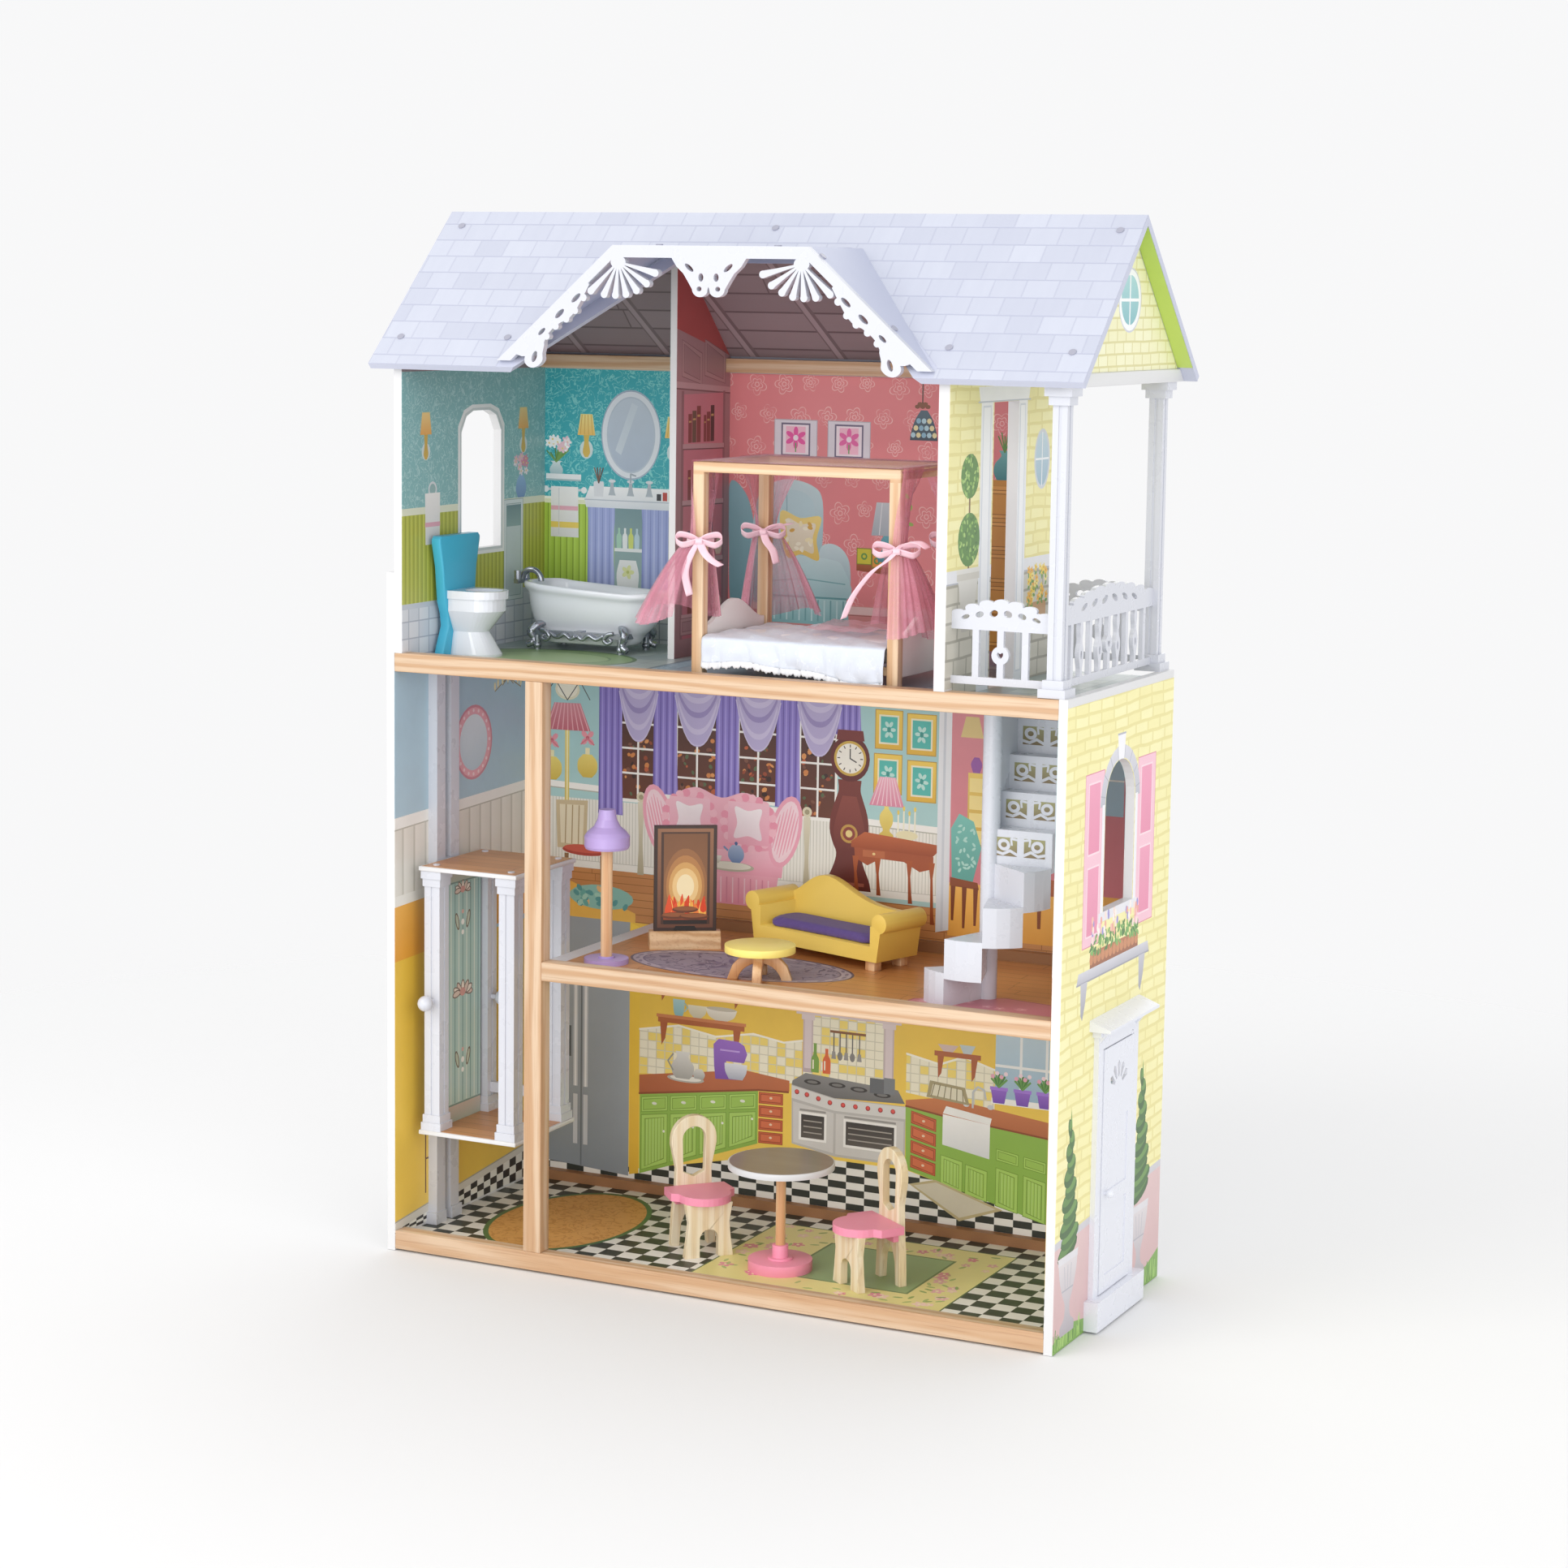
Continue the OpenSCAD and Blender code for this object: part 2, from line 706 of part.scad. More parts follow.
module lamp_stem() {
    color("burlywood") translate([lamp_at[0], lamp_at[1], second_h + gap + 8]) cylinder(r = 6.5, h = 122);
}

module lamp_base() {
    color("mediumpurple") translate([lamp_at[0], lamp_at[1], second_h + gap]) {
        cylinder(r = 25, h = 6);
        cylinder(r = 9, h = 8);
    }
}

fire_at = [-128, 30, 0];
fire_turn = 32;
fire_size = [72, 6, 122];

module fireplace_panel() {
    color("saddlebrown") placed(fire_at + [0, 0, second_h + gap], fire_turn) {
        block([-fire_size[0] / 2, -3, 20], [fire_size[0] / 2, 3, 20 + fire_size[2]]);
        block([-12, -3, 10], [12, 3, 20]);
    }
}

module fireplace_base() {
    color("burlywood") placed(fire_at + [0, 0, second_h + gap], fire_turn) difference() {
        along_x(-41, 82) polygon([[-15, 0], [15, 0], [15, 4], [7, 20], [-7, 20], [-15, 4]]);
        block([-12.2, -3.2, 10], [12.2, 3.2, 21]);
    }
}

sofa_at = [45, 66, 0];
sofa_turn = -18;
sofa_l = 194;
sofa_d = 68;
sofa_foot = 12;

module on_sofa() { placed(sofa_at + [0, 0, second_h + gap], sofa_turn) children(); }

module sofa_arm(s) {
    h = 52;
    along_y(-sofa_d / 2, sofa_d) scale([1, 1]) {
        polygon([[s * (sofa_l / 2 - 12), sofa_foot], [s * (sofa_l / 2 - 2), sofa_foot],
            [s * (sofa_l / 2 + 4), h], [s * (sofa_l / 2 - 12), h]]);
        translate([s * (sofa_l / 2 + 1), h + 4]) circle(11);
    }
}

module sofa_body() {
    n = 24;
    // The back is highest a quarter of the way along, then sweeps down to the right arm
    crown = [for (i = [0:n]) let (t = i / n) [sofa_l / 2 - t * sofa_l, 60 + 26 * pow(sin(180 * pow(t, 1.9)), 2)]];
    color("gold") on_sofa() {
        block([-sofa_l / 2 + 3, -sofa_d / 2, sofa_foot], [sofa_l / 2 - 3, sofa_d / 2 - 9, sofa_foot + 17]);
        along_y(sofa_d / 2 - 10, 10) polygon(concat([[-sofa_l / 2 + 3, sofa_foot], [sofa_l / 2 - 3, sofa_foot]], crown));
        sofa_arm(-1);
        sofa_arm(1);
    }
}

module sofa_cushion() {
    color("rebeccapurple") on_sofa() translate([0, -4, sofa_foot + 17.3]) linear_extrude(9) difference() {
        square([sofa_l - 28, sofa_d - 14], center = true);
        for (s = [-1, 1]) translate([s * (sofa_l / 2 - 14), -sofa_d / 2 + 7]) rotate(45) square(14, center = true);
    }
}

module sofa_feet() {
    color("burlywood") on_sofa() for (sx = [-1, 1]) for (sy = [-1, 1])
        block([sx * 80 - 7, sy * 22 - 6, 0], [sx * 80 + 7, sy * 22 + 6, sofa_foot]);
}

coffee_at = [26, -86];

module coffee_table_top() {
    color("khaki") translate([coffee_at[0], coffee_at[1], second_h + gap + 31]) cylinder(r = 39, h = 8, $fn = 96);
}

module coffee_table_legs() {
    color("burlywood") translate([coffee_at[0], coffee_at[1], second_h + gap]) for (a = [20, 110]) rotate(a)
        along_y(-5, 10) difference() {
            polygon([[-36, 0], [-24, 0], [24, 0], [36, 0], [30, 16], [16, 31], [-16, 31], [-30, 16]]);
            translate([0, -6]) circle(25);
        }
}

// ---- Kitchen ----

dining_at = [42, -58];

module dining_table_top() {
    color("dimgray") translate([dining_at[0], dining_at[1], ground_h + gap + 116]) cylinder(r = 59.5, h = 7, $fn = 96);
}

module dining_table_stem() {
    color("burlywood") translate([dining_at[0], dining_at[1], ground_h + gap + 28]) cylinder(r = 5.5, h = 88);
}

module dining_table_base() {
    color("hotpink") translate([dining_at[0], dining_at[1], ground_h + gap]) {
        cylinder(r = 36, h = 12, $fn = 96);
        cylinder(r = 14, h = 14);
        cylinder(r = 9, h = 28);
    }
}

seat_h = 62;
seat_t = 9;
panel_t = 9;
chair_reach = 44;

// Back with a hoop cut-out above the seat and an arched leg opening below it
module chair_back_outline() {
    outer = [[27, 0], [25, 40], [22, 62], [21, 90], [27, 118]];
    difference() {
        polygon(concat(outer, shift(arc(27, 0, 180, 14), [0, 124]), flip(outer)));
        polygon([[-17, -1], [17, -1], [15, 26], [9, 40], [0, 44], [-9, 40], [-15, 26]]);
        polygon(concat(shift(arc(14, 0, 180, 12), [0, 124]), [[-13, 86], [0, 80], [13, 86]]));
    }
}

module chair_front_outline() {
    difference() {
        polygon([[-29, 0], [29, 0], [26, 20], [24, 40], [28, seat_h], [-28, seat_h], [-24, 40], [-26, 20]]);
        translate([0, -1]) square([22, 44], center = true);
        translate([0, 21]) circle(11);
    }
}

module chair_frame() {
    color("wheat") {
        along_y(chair_reach / 2, panel_t) chair_back_outline();
        along_y(-chair_reach / 2 - panel_t, panel_t) chair_front_outline();
    }
}

module chair_seat() {
    color("hotpink") translate([0, 0, seat_h]) {
        linear_extrude(seat_t) polygon(concat(
            [[-36, chair_reach / 2 - 0.3], [-38, -8]], shift(arc(30, 180, 360, 16), [0, -14]),
            [[38, -8], [36, chair_reach / 2 - 0.3]]));
        translate([-24, chair_reach / 2 - 7, -11]) cube([48, 6.5, 11.5]);
    }
}

chair_left_at = [-70, -36];
chair_left_turn = 47;
chair_right_at = [154, -62];
chair_right_turn = -36;

module chair_left_frame() { placed([chair_left_at[0], chair_left_at[1], ground_h + gap], chair_left_turn) chair_frame(); }

module chair_left_seat() { placed([chair_left_at[0], chair_left_at[1], ground_h + gap], chair_left_turn) chair_seat(); }

module chair_right_frame() { placed([chair_right_at[0], chair_right_at[1], ground_h + gap], chair_right_turn) chair_frame(); }

module chair_right_seat() { placed([chair_right_at[0], chair_right_at[1], ground_h + gap], chair_right_turn) chair_seat(); }

left_wall_lower();
left_wall_upper();
right_wall();
back_panel_lower();
back_panel_middle();
back_panel_upper();
ground_floor();
second_floor();
third_floor();
front_rails();
front_post();
floor_battens();
rear_roof_beam();
room_divider();
balcony_wall();
roof_front();
roof_back();
gable_right();
dormer_cover();
gable_trim();
balcony_lintel();
balcony_columns();
balcony_end_railings();
balcony_side_railing();
elevator_track();
door_surround();
roof_screws();
staircase();
elevator_floor();
elevator_roof();
elevator_columns();
elevator_side_panel();
elevator_pegs();
door_leaf();
door_knob();
toilet_back();
toilet_bowl();
bathtub_shell();
bathtub_fittings();
bed_frame();
bed_end_boards();
bed_mattress();
bed_curtains();
lamp_shade();
lamp_stem();
lamp_base();
fireplace_panel();
fireplace_base();
sofa_body();
sofa_cushion();
sofa_feet();
coffee_table_top();
coffee_table_legs();
dining_table_top();
dining_table_stem();
dining_table_base();
chair_left_frame();
chair_left_seat();
chair_right_frame();
chair_right_seat();
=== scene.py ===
import math
import random

import bmesh
import bpy
import numpy as np
from mathutils import Matrix, Vector, noise
from mathutils.geometry import delaunay_2d_cdt

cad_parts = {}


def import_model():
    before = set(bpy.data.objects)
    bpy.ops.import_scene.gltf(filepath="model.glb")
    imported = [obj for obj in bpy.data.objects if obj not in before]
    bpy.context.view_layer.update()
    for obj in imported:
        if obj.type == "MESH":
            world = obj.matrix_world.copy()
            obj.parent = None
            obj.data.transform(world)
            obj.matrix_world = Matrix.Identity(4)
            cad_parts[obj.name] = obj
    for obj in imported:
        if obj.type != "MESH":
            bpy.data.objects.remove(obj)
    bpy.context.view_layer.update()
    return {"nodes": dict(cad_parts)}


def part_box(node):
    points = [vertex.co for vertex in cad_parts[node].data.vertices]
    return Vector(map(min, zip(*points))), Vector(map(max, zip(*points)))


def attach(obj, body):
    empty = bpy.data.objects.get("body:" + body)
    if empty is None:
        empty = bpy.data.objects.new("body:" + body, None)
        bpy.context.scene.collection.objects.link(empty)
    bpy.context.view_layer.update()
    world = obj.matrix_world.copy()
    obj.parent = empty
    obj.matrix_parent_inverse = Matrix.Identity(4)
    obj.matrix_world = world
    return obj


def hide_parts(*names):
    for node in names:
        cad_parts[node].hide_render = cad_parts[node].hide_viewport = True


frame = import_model()
nodes = frame["nodes"]
MM = 0.001


# ---------------------------------------------------------------- camera, light, stage
def look_matrix(azimuth, elevation, roll):
    """Camera axes for a compass direction, a height and a roll, in degrees."""
    a, e, r = (math.radians(x) for x in (azimuth, elevation, roll))
    back = Vector((math.sin(a) * math.cos(e), -math.cos(a) * math.cos(e), math.sin(e)))
    right = Vector((0, 0, 1)).cross(back).normalized()
    up = back.cross(right)
    turned_right = math.cos(r) * right + math.sin(r) * up
    turned_up = -math.sin(r) * right + math.cos(r) * up
    return Matrix((turned_right, turned_up, back)).transposed().to_4x4()


def make_camera():
    """The photograph's viewpoint and lens."""
    data = bpy.data.cameras.new("camera")
    data.lens = 76.51
    data.sensor_width = 36
    data.shift_x = -0.0113
    data.shift_y = -0.0473
    data.clip_end = 60
    cam = bpy.data.objects.new("camera", data)
    cam.matrix_world = Matrix.Translation((1.6143, -3.3042, 1.1056)) @ look_matrix(25.6, 7.313, 0.82)
    bpy.context.scene.collection.objects.link(cam)
    bpy.context.scene.camera = cam


def area_light(name, at, target, size, power, colour):
    """A soft square light aimed at target."""
    data = bpy.data.lights.new(name, "AREA")
    data.energy = power
    data.size = size
    data.color = colour
    light = bpy.data.objects.new(name, data)
    light.location = at
    light.rotation_mode = "QUATERNION"
    light.rotation_quaternion = (Vector(target) - Vector(at)).to_track_quat("-Z", "Y")
    bpy.context.scene.collection.objects.link(light)


make_camera()
area_light("key", (-1.9, -3.4, 3.0), (0, 0, 0.6), 2.6, 57, (1.0, 0.985, 0.96))
area_light("fill", (3.2, -2.4, 1.5), (0.2, 0, 0.6), 2.6, 31, (0.96, 0.98, 1.0))
area_light("front", (0.4, -4.2, 0.9), (0, 0, 0.55), 2.4, 42, (1.0, 0.99, 0.97))
area_light("back", (-0.6, 3.6, 2.4), (0, 0, 0.7), 2.8, 20, (1.0, 1.0, 1.0))
scene = bpy.context.scene
scene.view_settings.view_transform = "Standard"
scene.world = bpy.data.worlds.new("studio")
scene.world.use_nodes = True
scene.world.node_tree.nodes["Background"].inputs["Color"].default_value = (0.94, 0.94, 0.945, 1)
scene.world.node_tree.nodes["Background"].inputs["Strength"].default_value = 1.0


# ---------------------------------------------------------------- material building
def lin(code):
    """sRGB hex code to linear RGBA."""
    parts = [int(code[i : i + 2], 16) / 255 for i in (0, 2, 4)]
    return (*[p / 12.92 if p < 0.04045 else ((p + 0.055) / 1.055) ** 2.4 for p in parts], 1.0)


class Tree:
    """Short names for the shader nodes of one material."""

    def __init__(self, name):
        self.mat = bpy.data.materials.new(name)
        self.mat.use_nodes = True
        self.nt = self.mat.node_tree
        self.nt.nodes.clear()
        self.bsdf = self.node("BsdfPrincipled")
        out = self.node("OutputMaterial")
        self.nt.links.new(self.bsdf.outputs[0], out.inputs[0])
        self.where = self.node("TexCoord").outputs["Object"]

    def node(self, kind, props=(), **ins):
        """Makes a shader node; ins fill its sockets by name, or by number as i0, i1."""
        made = self.nt.nodes.new("ShaderNode" + kind)
        for k, v in dict(props).items():
            setattr(made, k, v)
        for k, v in ins.items():
            self.put(made.inputs[int(k[1:])] if k[0] == "i" and k[1:].isdigit() else made.inputs[k], v)
        return made

    def put(self, socket, value):
        """Fills a socket with a link, a hex colour or a plain value."""
        if isinstance(value, bpy.types.NodeSocket):
            self.nt.links.new(value, socket)
        elif isinstance(value, str):
            socket.default_value = lin(value)
        else:
            socket.default_value = value

    def math(self, op, a, b=0.0, c=0.0):
        return self.node("Math", {"operation": op}, i0=a, i1=b, i2=c).outputs[0]

    def add(self, a, b):
        return self.math("ADD", a, b)

    def sub(self, a, b):
        return self.math("SUBTRACT", a, b)

    def mul(self, a, b):
        return self.math("MULTIPLY", a, b)

    def mad(self, a, b, c):
        """a times b plus c."""
        return self.math("MULTIPLY_ADD", a, b, c)

    def off_middle(self, value):
        """How far into its cell value is from the cell's middle."""
        return self.math("ABSOLUTE", self.sub(self.math("FRACT", value), 0.5))

    def dice(self, x, y, z):
        """A random number for each cell."""
        return self.node("TexWhiteNoise", i0=self.vec(x, y, z)).outputs[0]

    def mix(self, fac, a, b, blend="MIX"):
        """Colour a where fac is 0, b where it is 1."""
        made = self.node("Mix", {"data_type": "RGBA", "blend_type": blend})
        self.put(made.inputs[0], fac)
        self.put(made.inputs[6], a)
        self.put(made.inputs[7], b)
        return made.outputs[2]

    def parts(self, vec=None):
        return self.node("SeparateXYZ", i0=vec or self.where).outputs

    def vec(self, x=0.0, y=0.0, z=0.0):
        return self.node("CombineXYZ", i0=x, i1=y, i2=z).outputs[0]

    def plane(self, axes):
        """Coordinates with two chosen axes first, such as "xz" on a back wall."""
        p = self.parts()
        a, b = ("xyz".index(k) for k in axes)
        return self.vec(p[a], p[b], p[3 - a - b])

    def scaled(self, vec, x, y, z):
        return self.node("VectorMath", {"operation": "MULTIPLY"}, i0=vec, i1=(x, y, z)).outputs[0]

    def noise(self, vec=None, scale=10.0, detail=3.0, rough=0.55, distort=0.0):
        made = self.node("TexNoise", i0=vec or self.where, Scale=scale, Detail=detail, Roughness=rough)
        made.inputs["Distortion"].default_value = distort
        return made.outputs[0]

    def ramp(self, fac, stops):
        """Shades of grey or hex colours at places along fac."""
        made = self.node("ValToRGB", i0=fac)
        ramp = made.color_ramp
        while len(ramp.elements) < len(stops):
            ramp.elements.new(0.5)
        for element, (at, colour) in zip(ramp.elements, stops):
            element.position = at
            element.color = lin(colour) if isinstance(colour, str) else (colour,) * 3 + (1,)
        return made.outputs[0]

    def step(self, value, low, high):
        """0 below low, 1 above high."""
        made = self.node("MapRange", {"interpolation_type": "SMOOTHSTEP"}, i0=value, i1=low, i2=high)
        return made.outputs[0]

    def bump(self, height, strength=0.2, distance=0.0005):
        """Relief on the surface."""
        made = self.node("Bump", Strength=strength, Distance=distance, Height=height)
        self.put(self.bsdf.inputs["Normal"], made.outputs[0])

    def set(self, **ins):
        """Sets the surface's values by short name, and gives the material."""
        names = {"Base": "Base Color", "Coat": "Coat Weight", "CoatR": "Coat Roughness",
                 "Sheen": "Sheen Weight",
                 "SheenR": "Sheen Roughness", "Spec": "Specular IOR Level", "Sub": "Subsurface Weight",
                 "Trans": "Transmission Weight"}
        for k, v in ins.items():
            self.put(self.bsdf.inputs[names.get(k, k)], v)
        return self.mat


def paint(name, colour, rough=0.38):
    """Sprayed paint on board: a faint orange-peel, slow changes of shade and a few scuffs."""
    t = Tree(name)
    slow = t.noise(scale=9, detail=4)
    base = t.mix(t.mul(slow, 0.1), colour, t.mix(1.0, colour, "d9d2c8", "MULTIPLY"))
    scuff = t.step(t.noise(scale=46, detail=6, rough=0.7), 0.66, 0.76)
    base = t.mix(t.mul(scuff, 0.05), base, "cfc8bf")
    t.bump(t.noise(scale=420, detail=2), 0.036, 0.0003)
    return t.set(Base=base, Roughness=t.mad(slow, 0.14, rough - 0.07), Coat=0.0, CoatR=0.2)


def plastic(name, colour, rough=0.28, coat=0.15, fade=0.05):
    """Moulded plastic: fine texture, faint flow shading."""
    t = Tree(name)
    slow = t.noise(scale=14, detail=3)
    base = t.mix(t.mul(slow, fade * 2), colour, t.mix(1.0, colour, "d5d5dc", "MULTIPLY"))
    t.bump(t.noise(scale=500, detail=2), 0.02, 0.0002)
    rough_map = t.mad(t.noise(scale=30, detail=4), 0.12, rough - 0.06)
    return t.set(Base=base, Roughness=rough_map, Coat=coat, CoatR=0.12)


def timber(name, light, dark, axis, turn_above=None):
    """Varnished softwood with growth rings and pores along one axis; above turn_above it turns to x."""
    t = Tree(name)
    if turn_above:
        p = t.parts()
        t.where = t.mix(t.math("GREATER_THAN", p[2], turn_above), t.where, t.vec(p[2], p[1], p[0]))
    run = {"x": (0.08, 1, 1), "z": (1, 1, 0.08)}[axis]
    stretched = t.scaled(t.where, *run)
    warp = t.noise(stretched, 12, 3, 0.5, 0.6)
    rings = t.node("TexWave", {"wave_type": "RINGS", "rings_direction": axis.upper()}, i0=stretched,
                   Scale=26.0, Distortion=7.0, Detail=3.0)
    rings.inputs["Detail Scale"].default_value = 1.2
    fine = t.noise(t.scaled(t.where, *[0.02 if r < 1 else 1 for r in run]), 620, 3, 0.6)
    shade = t.mad(rings.outputs[1], 0.45, t.mul(warp, 0.5))
    base = t.mix(t.step(shade, 0.25, 0.75), light, dark)
    base = t.mix(t.mul(t.step(fine, 0.5, 0.72), 0.28), base, t.mix(1.0, base, "b98d62", "MULTIPLY"))
    t.bump(t.add(fine, t.mul(rings.outputs[1], 0.4)), 0.16, 0.0004)
    return t.set(Base=base, Roughness=t.mad(fine, 0.16, 0.34), Coat=0.12, CoatR=0.25)


def dress(node, mat):
    """Gives a CAD node its material."""
    o = nodes[node]
    o.data.materials.clear()
    o.data.materials.append(mat)


def ease(node, width, segments=2, smooth=True):
    """Rounds a CAD node's sharp edges; the plain-sided pieces stay flat shaded."""
    o = nodes[node]
    weld = o.modifiers.new("weld", "WELD")
    weld.merge_threshold = 0.00001
    bevel = o.modifiers.new("bevel", "BEVEL")
    bevel.width = width * MM
    bevel.segments = segments
    bevel.limit_method = "ANGLE"
    bevel.angle_limit = math.radians(38)
    bevel.use_clamp_overlap = True
    bevel.harden_normals = smooth
    for p in o.data.polygons:
        p.use_smooth = smooth


FLOOR_SIZE, FADE_FROM, FADE_TO = 7, 0.75, 2.4


def stage_floor():
    """A floor that fades out before its edges, so that no horizon shows."""
    bpy.ops.mesh.primitive_plane_add(size=FLOOR_SIZE, location=(0, 0, -0.0005))
    floor = bpy.context.object
    floor.name = "stage_floor"
    t = Tree("stage")
    t.bump(t.noise(scale=60, detail=2), 0.02, 0.0005)
    away = t.node("VectorMath", {"operation": "LENGTH"}, i0=t.where).outputs["Value"]
    fade = t.sub(1.0, t.step(away, FADE_FROM, FADE_TO))
    floor.data.materials.append(t.set(Base="e9e9e9", Roughness=0.9, Alpha=fade))


stage_floor()

WHITE = paint("white_paint", "dededf")
WHITE_TRIM = plastic("white_plastic", "d1d3db", fade=0.02)
PINE_X = timber("pine_x", "d6ba9c", "c49c76", "x")
PINE_Z = timber("pine_z", "d6ba9c", "c49c76", "z")
ROOF_EDGE = paint("roof_edge", "c4c8da", 0.45)

# ---------------------------------------------------------------- looks of the CAD nodes
def chrome():
    """Silver plating with dull patches."""
    t = Tree("silver_plastic")
    slow = t.noise(scale=40, detail=3)
    t.bump(t.noise(scale=160, detail=2), 0.05, 0.0003)
    return t.set(Base=t.mix(slow, "b4b9c2", "8f959f"), Metallic=0.8, Roughness=t.mad(slow, 0.16, 0.16))


SILVER = chrome()
CERAMIC = plastic("ceramic_white", "e3e7ee", 0.16, 0.5)
FINISHES = {
    WHITE: ["elevator_floor", "elevator_roof", "left_wall_lower", "left_wall_upper", "right_wall",
            "back_panel_lower", "back_panel_middle",
            "back_panel_upper", "room_divider", "balcony_wall", "gable_right", "balcony_lintel",
            "ground_floor", "second_floor", "third_floor"],
    WHITE_TRIM: ["balcony_columns", "balcony_end_railings", "balcony_side_railing", "elevator_track",
                 "staircase", "elevator_columns", "elevator_pegs", "gable_trim"],
    plastic("door_plastic", "e4e6ee", fade=0.02): ["door_surround", "door_leaf", "door_knob"],
    PINE_X: ["front_rails", "rear_roof_beam"],
    PINE_Z: ["front_post"],
    paint("batten", "9a6d48", 0.5): ["floor_battens"],
    ROOF_EDGE: ["roof_front", "roof_back"],
    plastic("dormer_plastic", "bfc4d8", 0.42, 0.0): ["dormer_cover"],
    plastic("screw_cap", "a4a5b4", 0.3): ["roof_screws"],
    paint("car_panel", "a8b3a0", 0.4): ["elevator_side_panel"],
    paint("teal_paint", "45b3d4", 0.34): ["toilet_back"],
    CERAMIC: ["toilet_bowl", "bathtub_shell"],
    SILVER: ["bathtub_fittings"],
    timber("bed_timber", "e2c6a4", "d2aa82", "z", turn_above=0.8995): ["bed_frame"],
    paint("bed_white", "f1f0ee"): ["bed_end_boards"],
    paint("spread", "f3f0f2"): ["bed_mattress"],
    paint("tulle_solid", "d78497"): ["bed_curtains"],
    plastic("lamp_purple", "b69fd6", 0.36): ["lamp_shade", "lamp_base"],
    timber("lamp_timber", "e8c29a", "cf9d70", "z"): ["lamp_stem"],
    paint("fire_dark", "4a2c20", 0.4): ["fireplace_panel"],
    timber("fire_timber", "e2bd92", "c99a6b", "x"): ["fireplace_base"],
    plastic("sofa_yellow", "ecca62", 0.36): ["sofa_body"],
    paint("cushion_purple", "7b5a94", 0.8): ["sofa_cushion"],
    timber("feet_timber", "e6c095", "cf9c6c", "z"): ["sofa_feet", "coffee_table_legs"],
    paint("table_yellow", "fae67f", 0.36): ["coffee_table_top"],
    paint("dining_rim", "d4d4d6", 0.3): ["dining_table_top"],
    timber("dining_timber", "e6bf95", "d19d6f", "z"): ["dining_table_stem"],
    paint("dining_pink", "ee93ae", 0.36): ["dining_table_base", "chair_left_seat", "chair_right_seat"],
    timber("chair_timber", "ece0c4", "e2cfa9", "z"): ["chair_left_frame", "chair_right_frame"],
}
for mat, names in FINISHES.items():
    for n in names:
        dress(n, mat)
for n in ("front_rails", "front_post", "rear_roof_beam", "balcony_lintel", "bed_frame", "bed_end_boards",
          "coffee_table_top",
          "coffee_table_legs", "dining_table_top", "sofa_feet", "fireplace_base", "elevator_floor",
          "elevator_roof"):
    ease(n, 0.9)
for n in ("staircase", "door_surround", "chair_left_frame", "chair_left_seat", "chair_right_frame",
          "chair_right_seat"):
    ease(n, 0.8, smooth=False)
for n in ("sofa_body", "toilet_back", "dining_table_base"):
    ease(n, 1.6, 3)


# ---------------------------------------------------------------- printed sheets on the boards
def ink_material():
    """Offset print on paper: the flat colours come from the sheet, with paper mottle and a fine screen."""
    t = Tree("print_ink")
    ink = t.node("Attribute", {"attribute_name": "ink"}).outputs[0]
    slow = t.noise(scale=22, detail=5, rough=0.65)
    wash = t.mix(0.5, "ffffff", t.ramp(slow, [(0.3, 0.72), (0.7, 1.0)]), "MULTIPLY")
    ink = t.node("Gamma", i0=ink, i1=0.84).outputs[0]
    base = t.mix(0.4, ink, t.mix(1.0, ink, wash, "MULTIPLY"))
    t.bump(t.noise(scale=1500, detail=2), 0.06, 0.0002)
    return t.set(Base=base, Roughness=t.mad(slow, 0.12, 0.34), Coat=0.12, CoatR=0.3)


def pattern(name, axes, maker, rough=0.4, gamma=0.84):
    """A repeating print. maker gets the tree and the face's own coordinates, and gives colour and relief."""
    t = Tree(name)
    colour, height = maker(t, t.plane(axes))
    colour = t.node("Gamma", i0=colour, i1=gamma).outputs[0]
    t.bump(height, 0.14, 0.0004)
    slow = t.noise(scale=24, detail=4)
    return t.set(Base=t.mix(t.mul(slow, 0.14), colour, t.mix(1.0, colour, "cfcbc8", "MULTIPLY")),
                 Roughness=t.mad(slow, 0.12, rough - 0.05), Coat=0.1, CoatR=0.3)


def squiggles(ground, line, scale=95.0, thin=0.035):
    """Wallpaper of fine curling lines."""
    def make(t, at):
        n = t.noise(at, scale, 2, 0.5, 1.3)
        edge = t.math("ABSOLUTE", t.sub(n, 0.5))
        on = t.sub(1.0, t.step(edge, thin * 0.4, thin))
        return t.mix(on, ground, line), on
    return make


def stripes(ground, groove, pitch, light=None):
    """Bead boarding: soft-sided boards with a dark groove between them, along the second axis."""
    def make(t, at):
        x = t.mul(t.parts(at)[0], 1 / pitch)
        f = t.math("FRACT", x)
        edge = t.math("ABSOLUTE", t.sub(f, 0.5))
        dark = t.step(edge, 0.38, 0.47)
        tone = t.mix(t.step(f, 0.1, 0.9), light or ground, ground)
        return t.mix(dark, tone, groove), t.sub(1.0, dark)
    return make


def squares(one, two, w, h, joint=None, gap=0.04, random_mix=False):
    """Tiles: chequered, or with the two colours scattered."""
    def make(t, at):
        p = t.parts(at)
        u, v = t.mul(p[0], 1 / w), t.mul(p[1], 1 / h)
        iu, iv = t.math("FLOOR", u), t.math("FLOOR", v)
        if random_mix:
            pick = t.step(t.dice(iu, iv, 1.0), 0.6, 0.62)
        else:
            pick = t.math("ABSOLUTE", t.math("MODULO", t.add(iu, iv), 2.0))
        colour = t.mix(pick, one, two)
        edge = t.math("MAXIMUM", t.off_middle(u),
                      t.off_middle(v))
        line = t.step(edge, 0.5 - gap, 0.5 - gap * 0.5)
        if joint:
            colour = t.mix(line, colour, joint)
        return colour, t.sub(1.0, line)
    return make


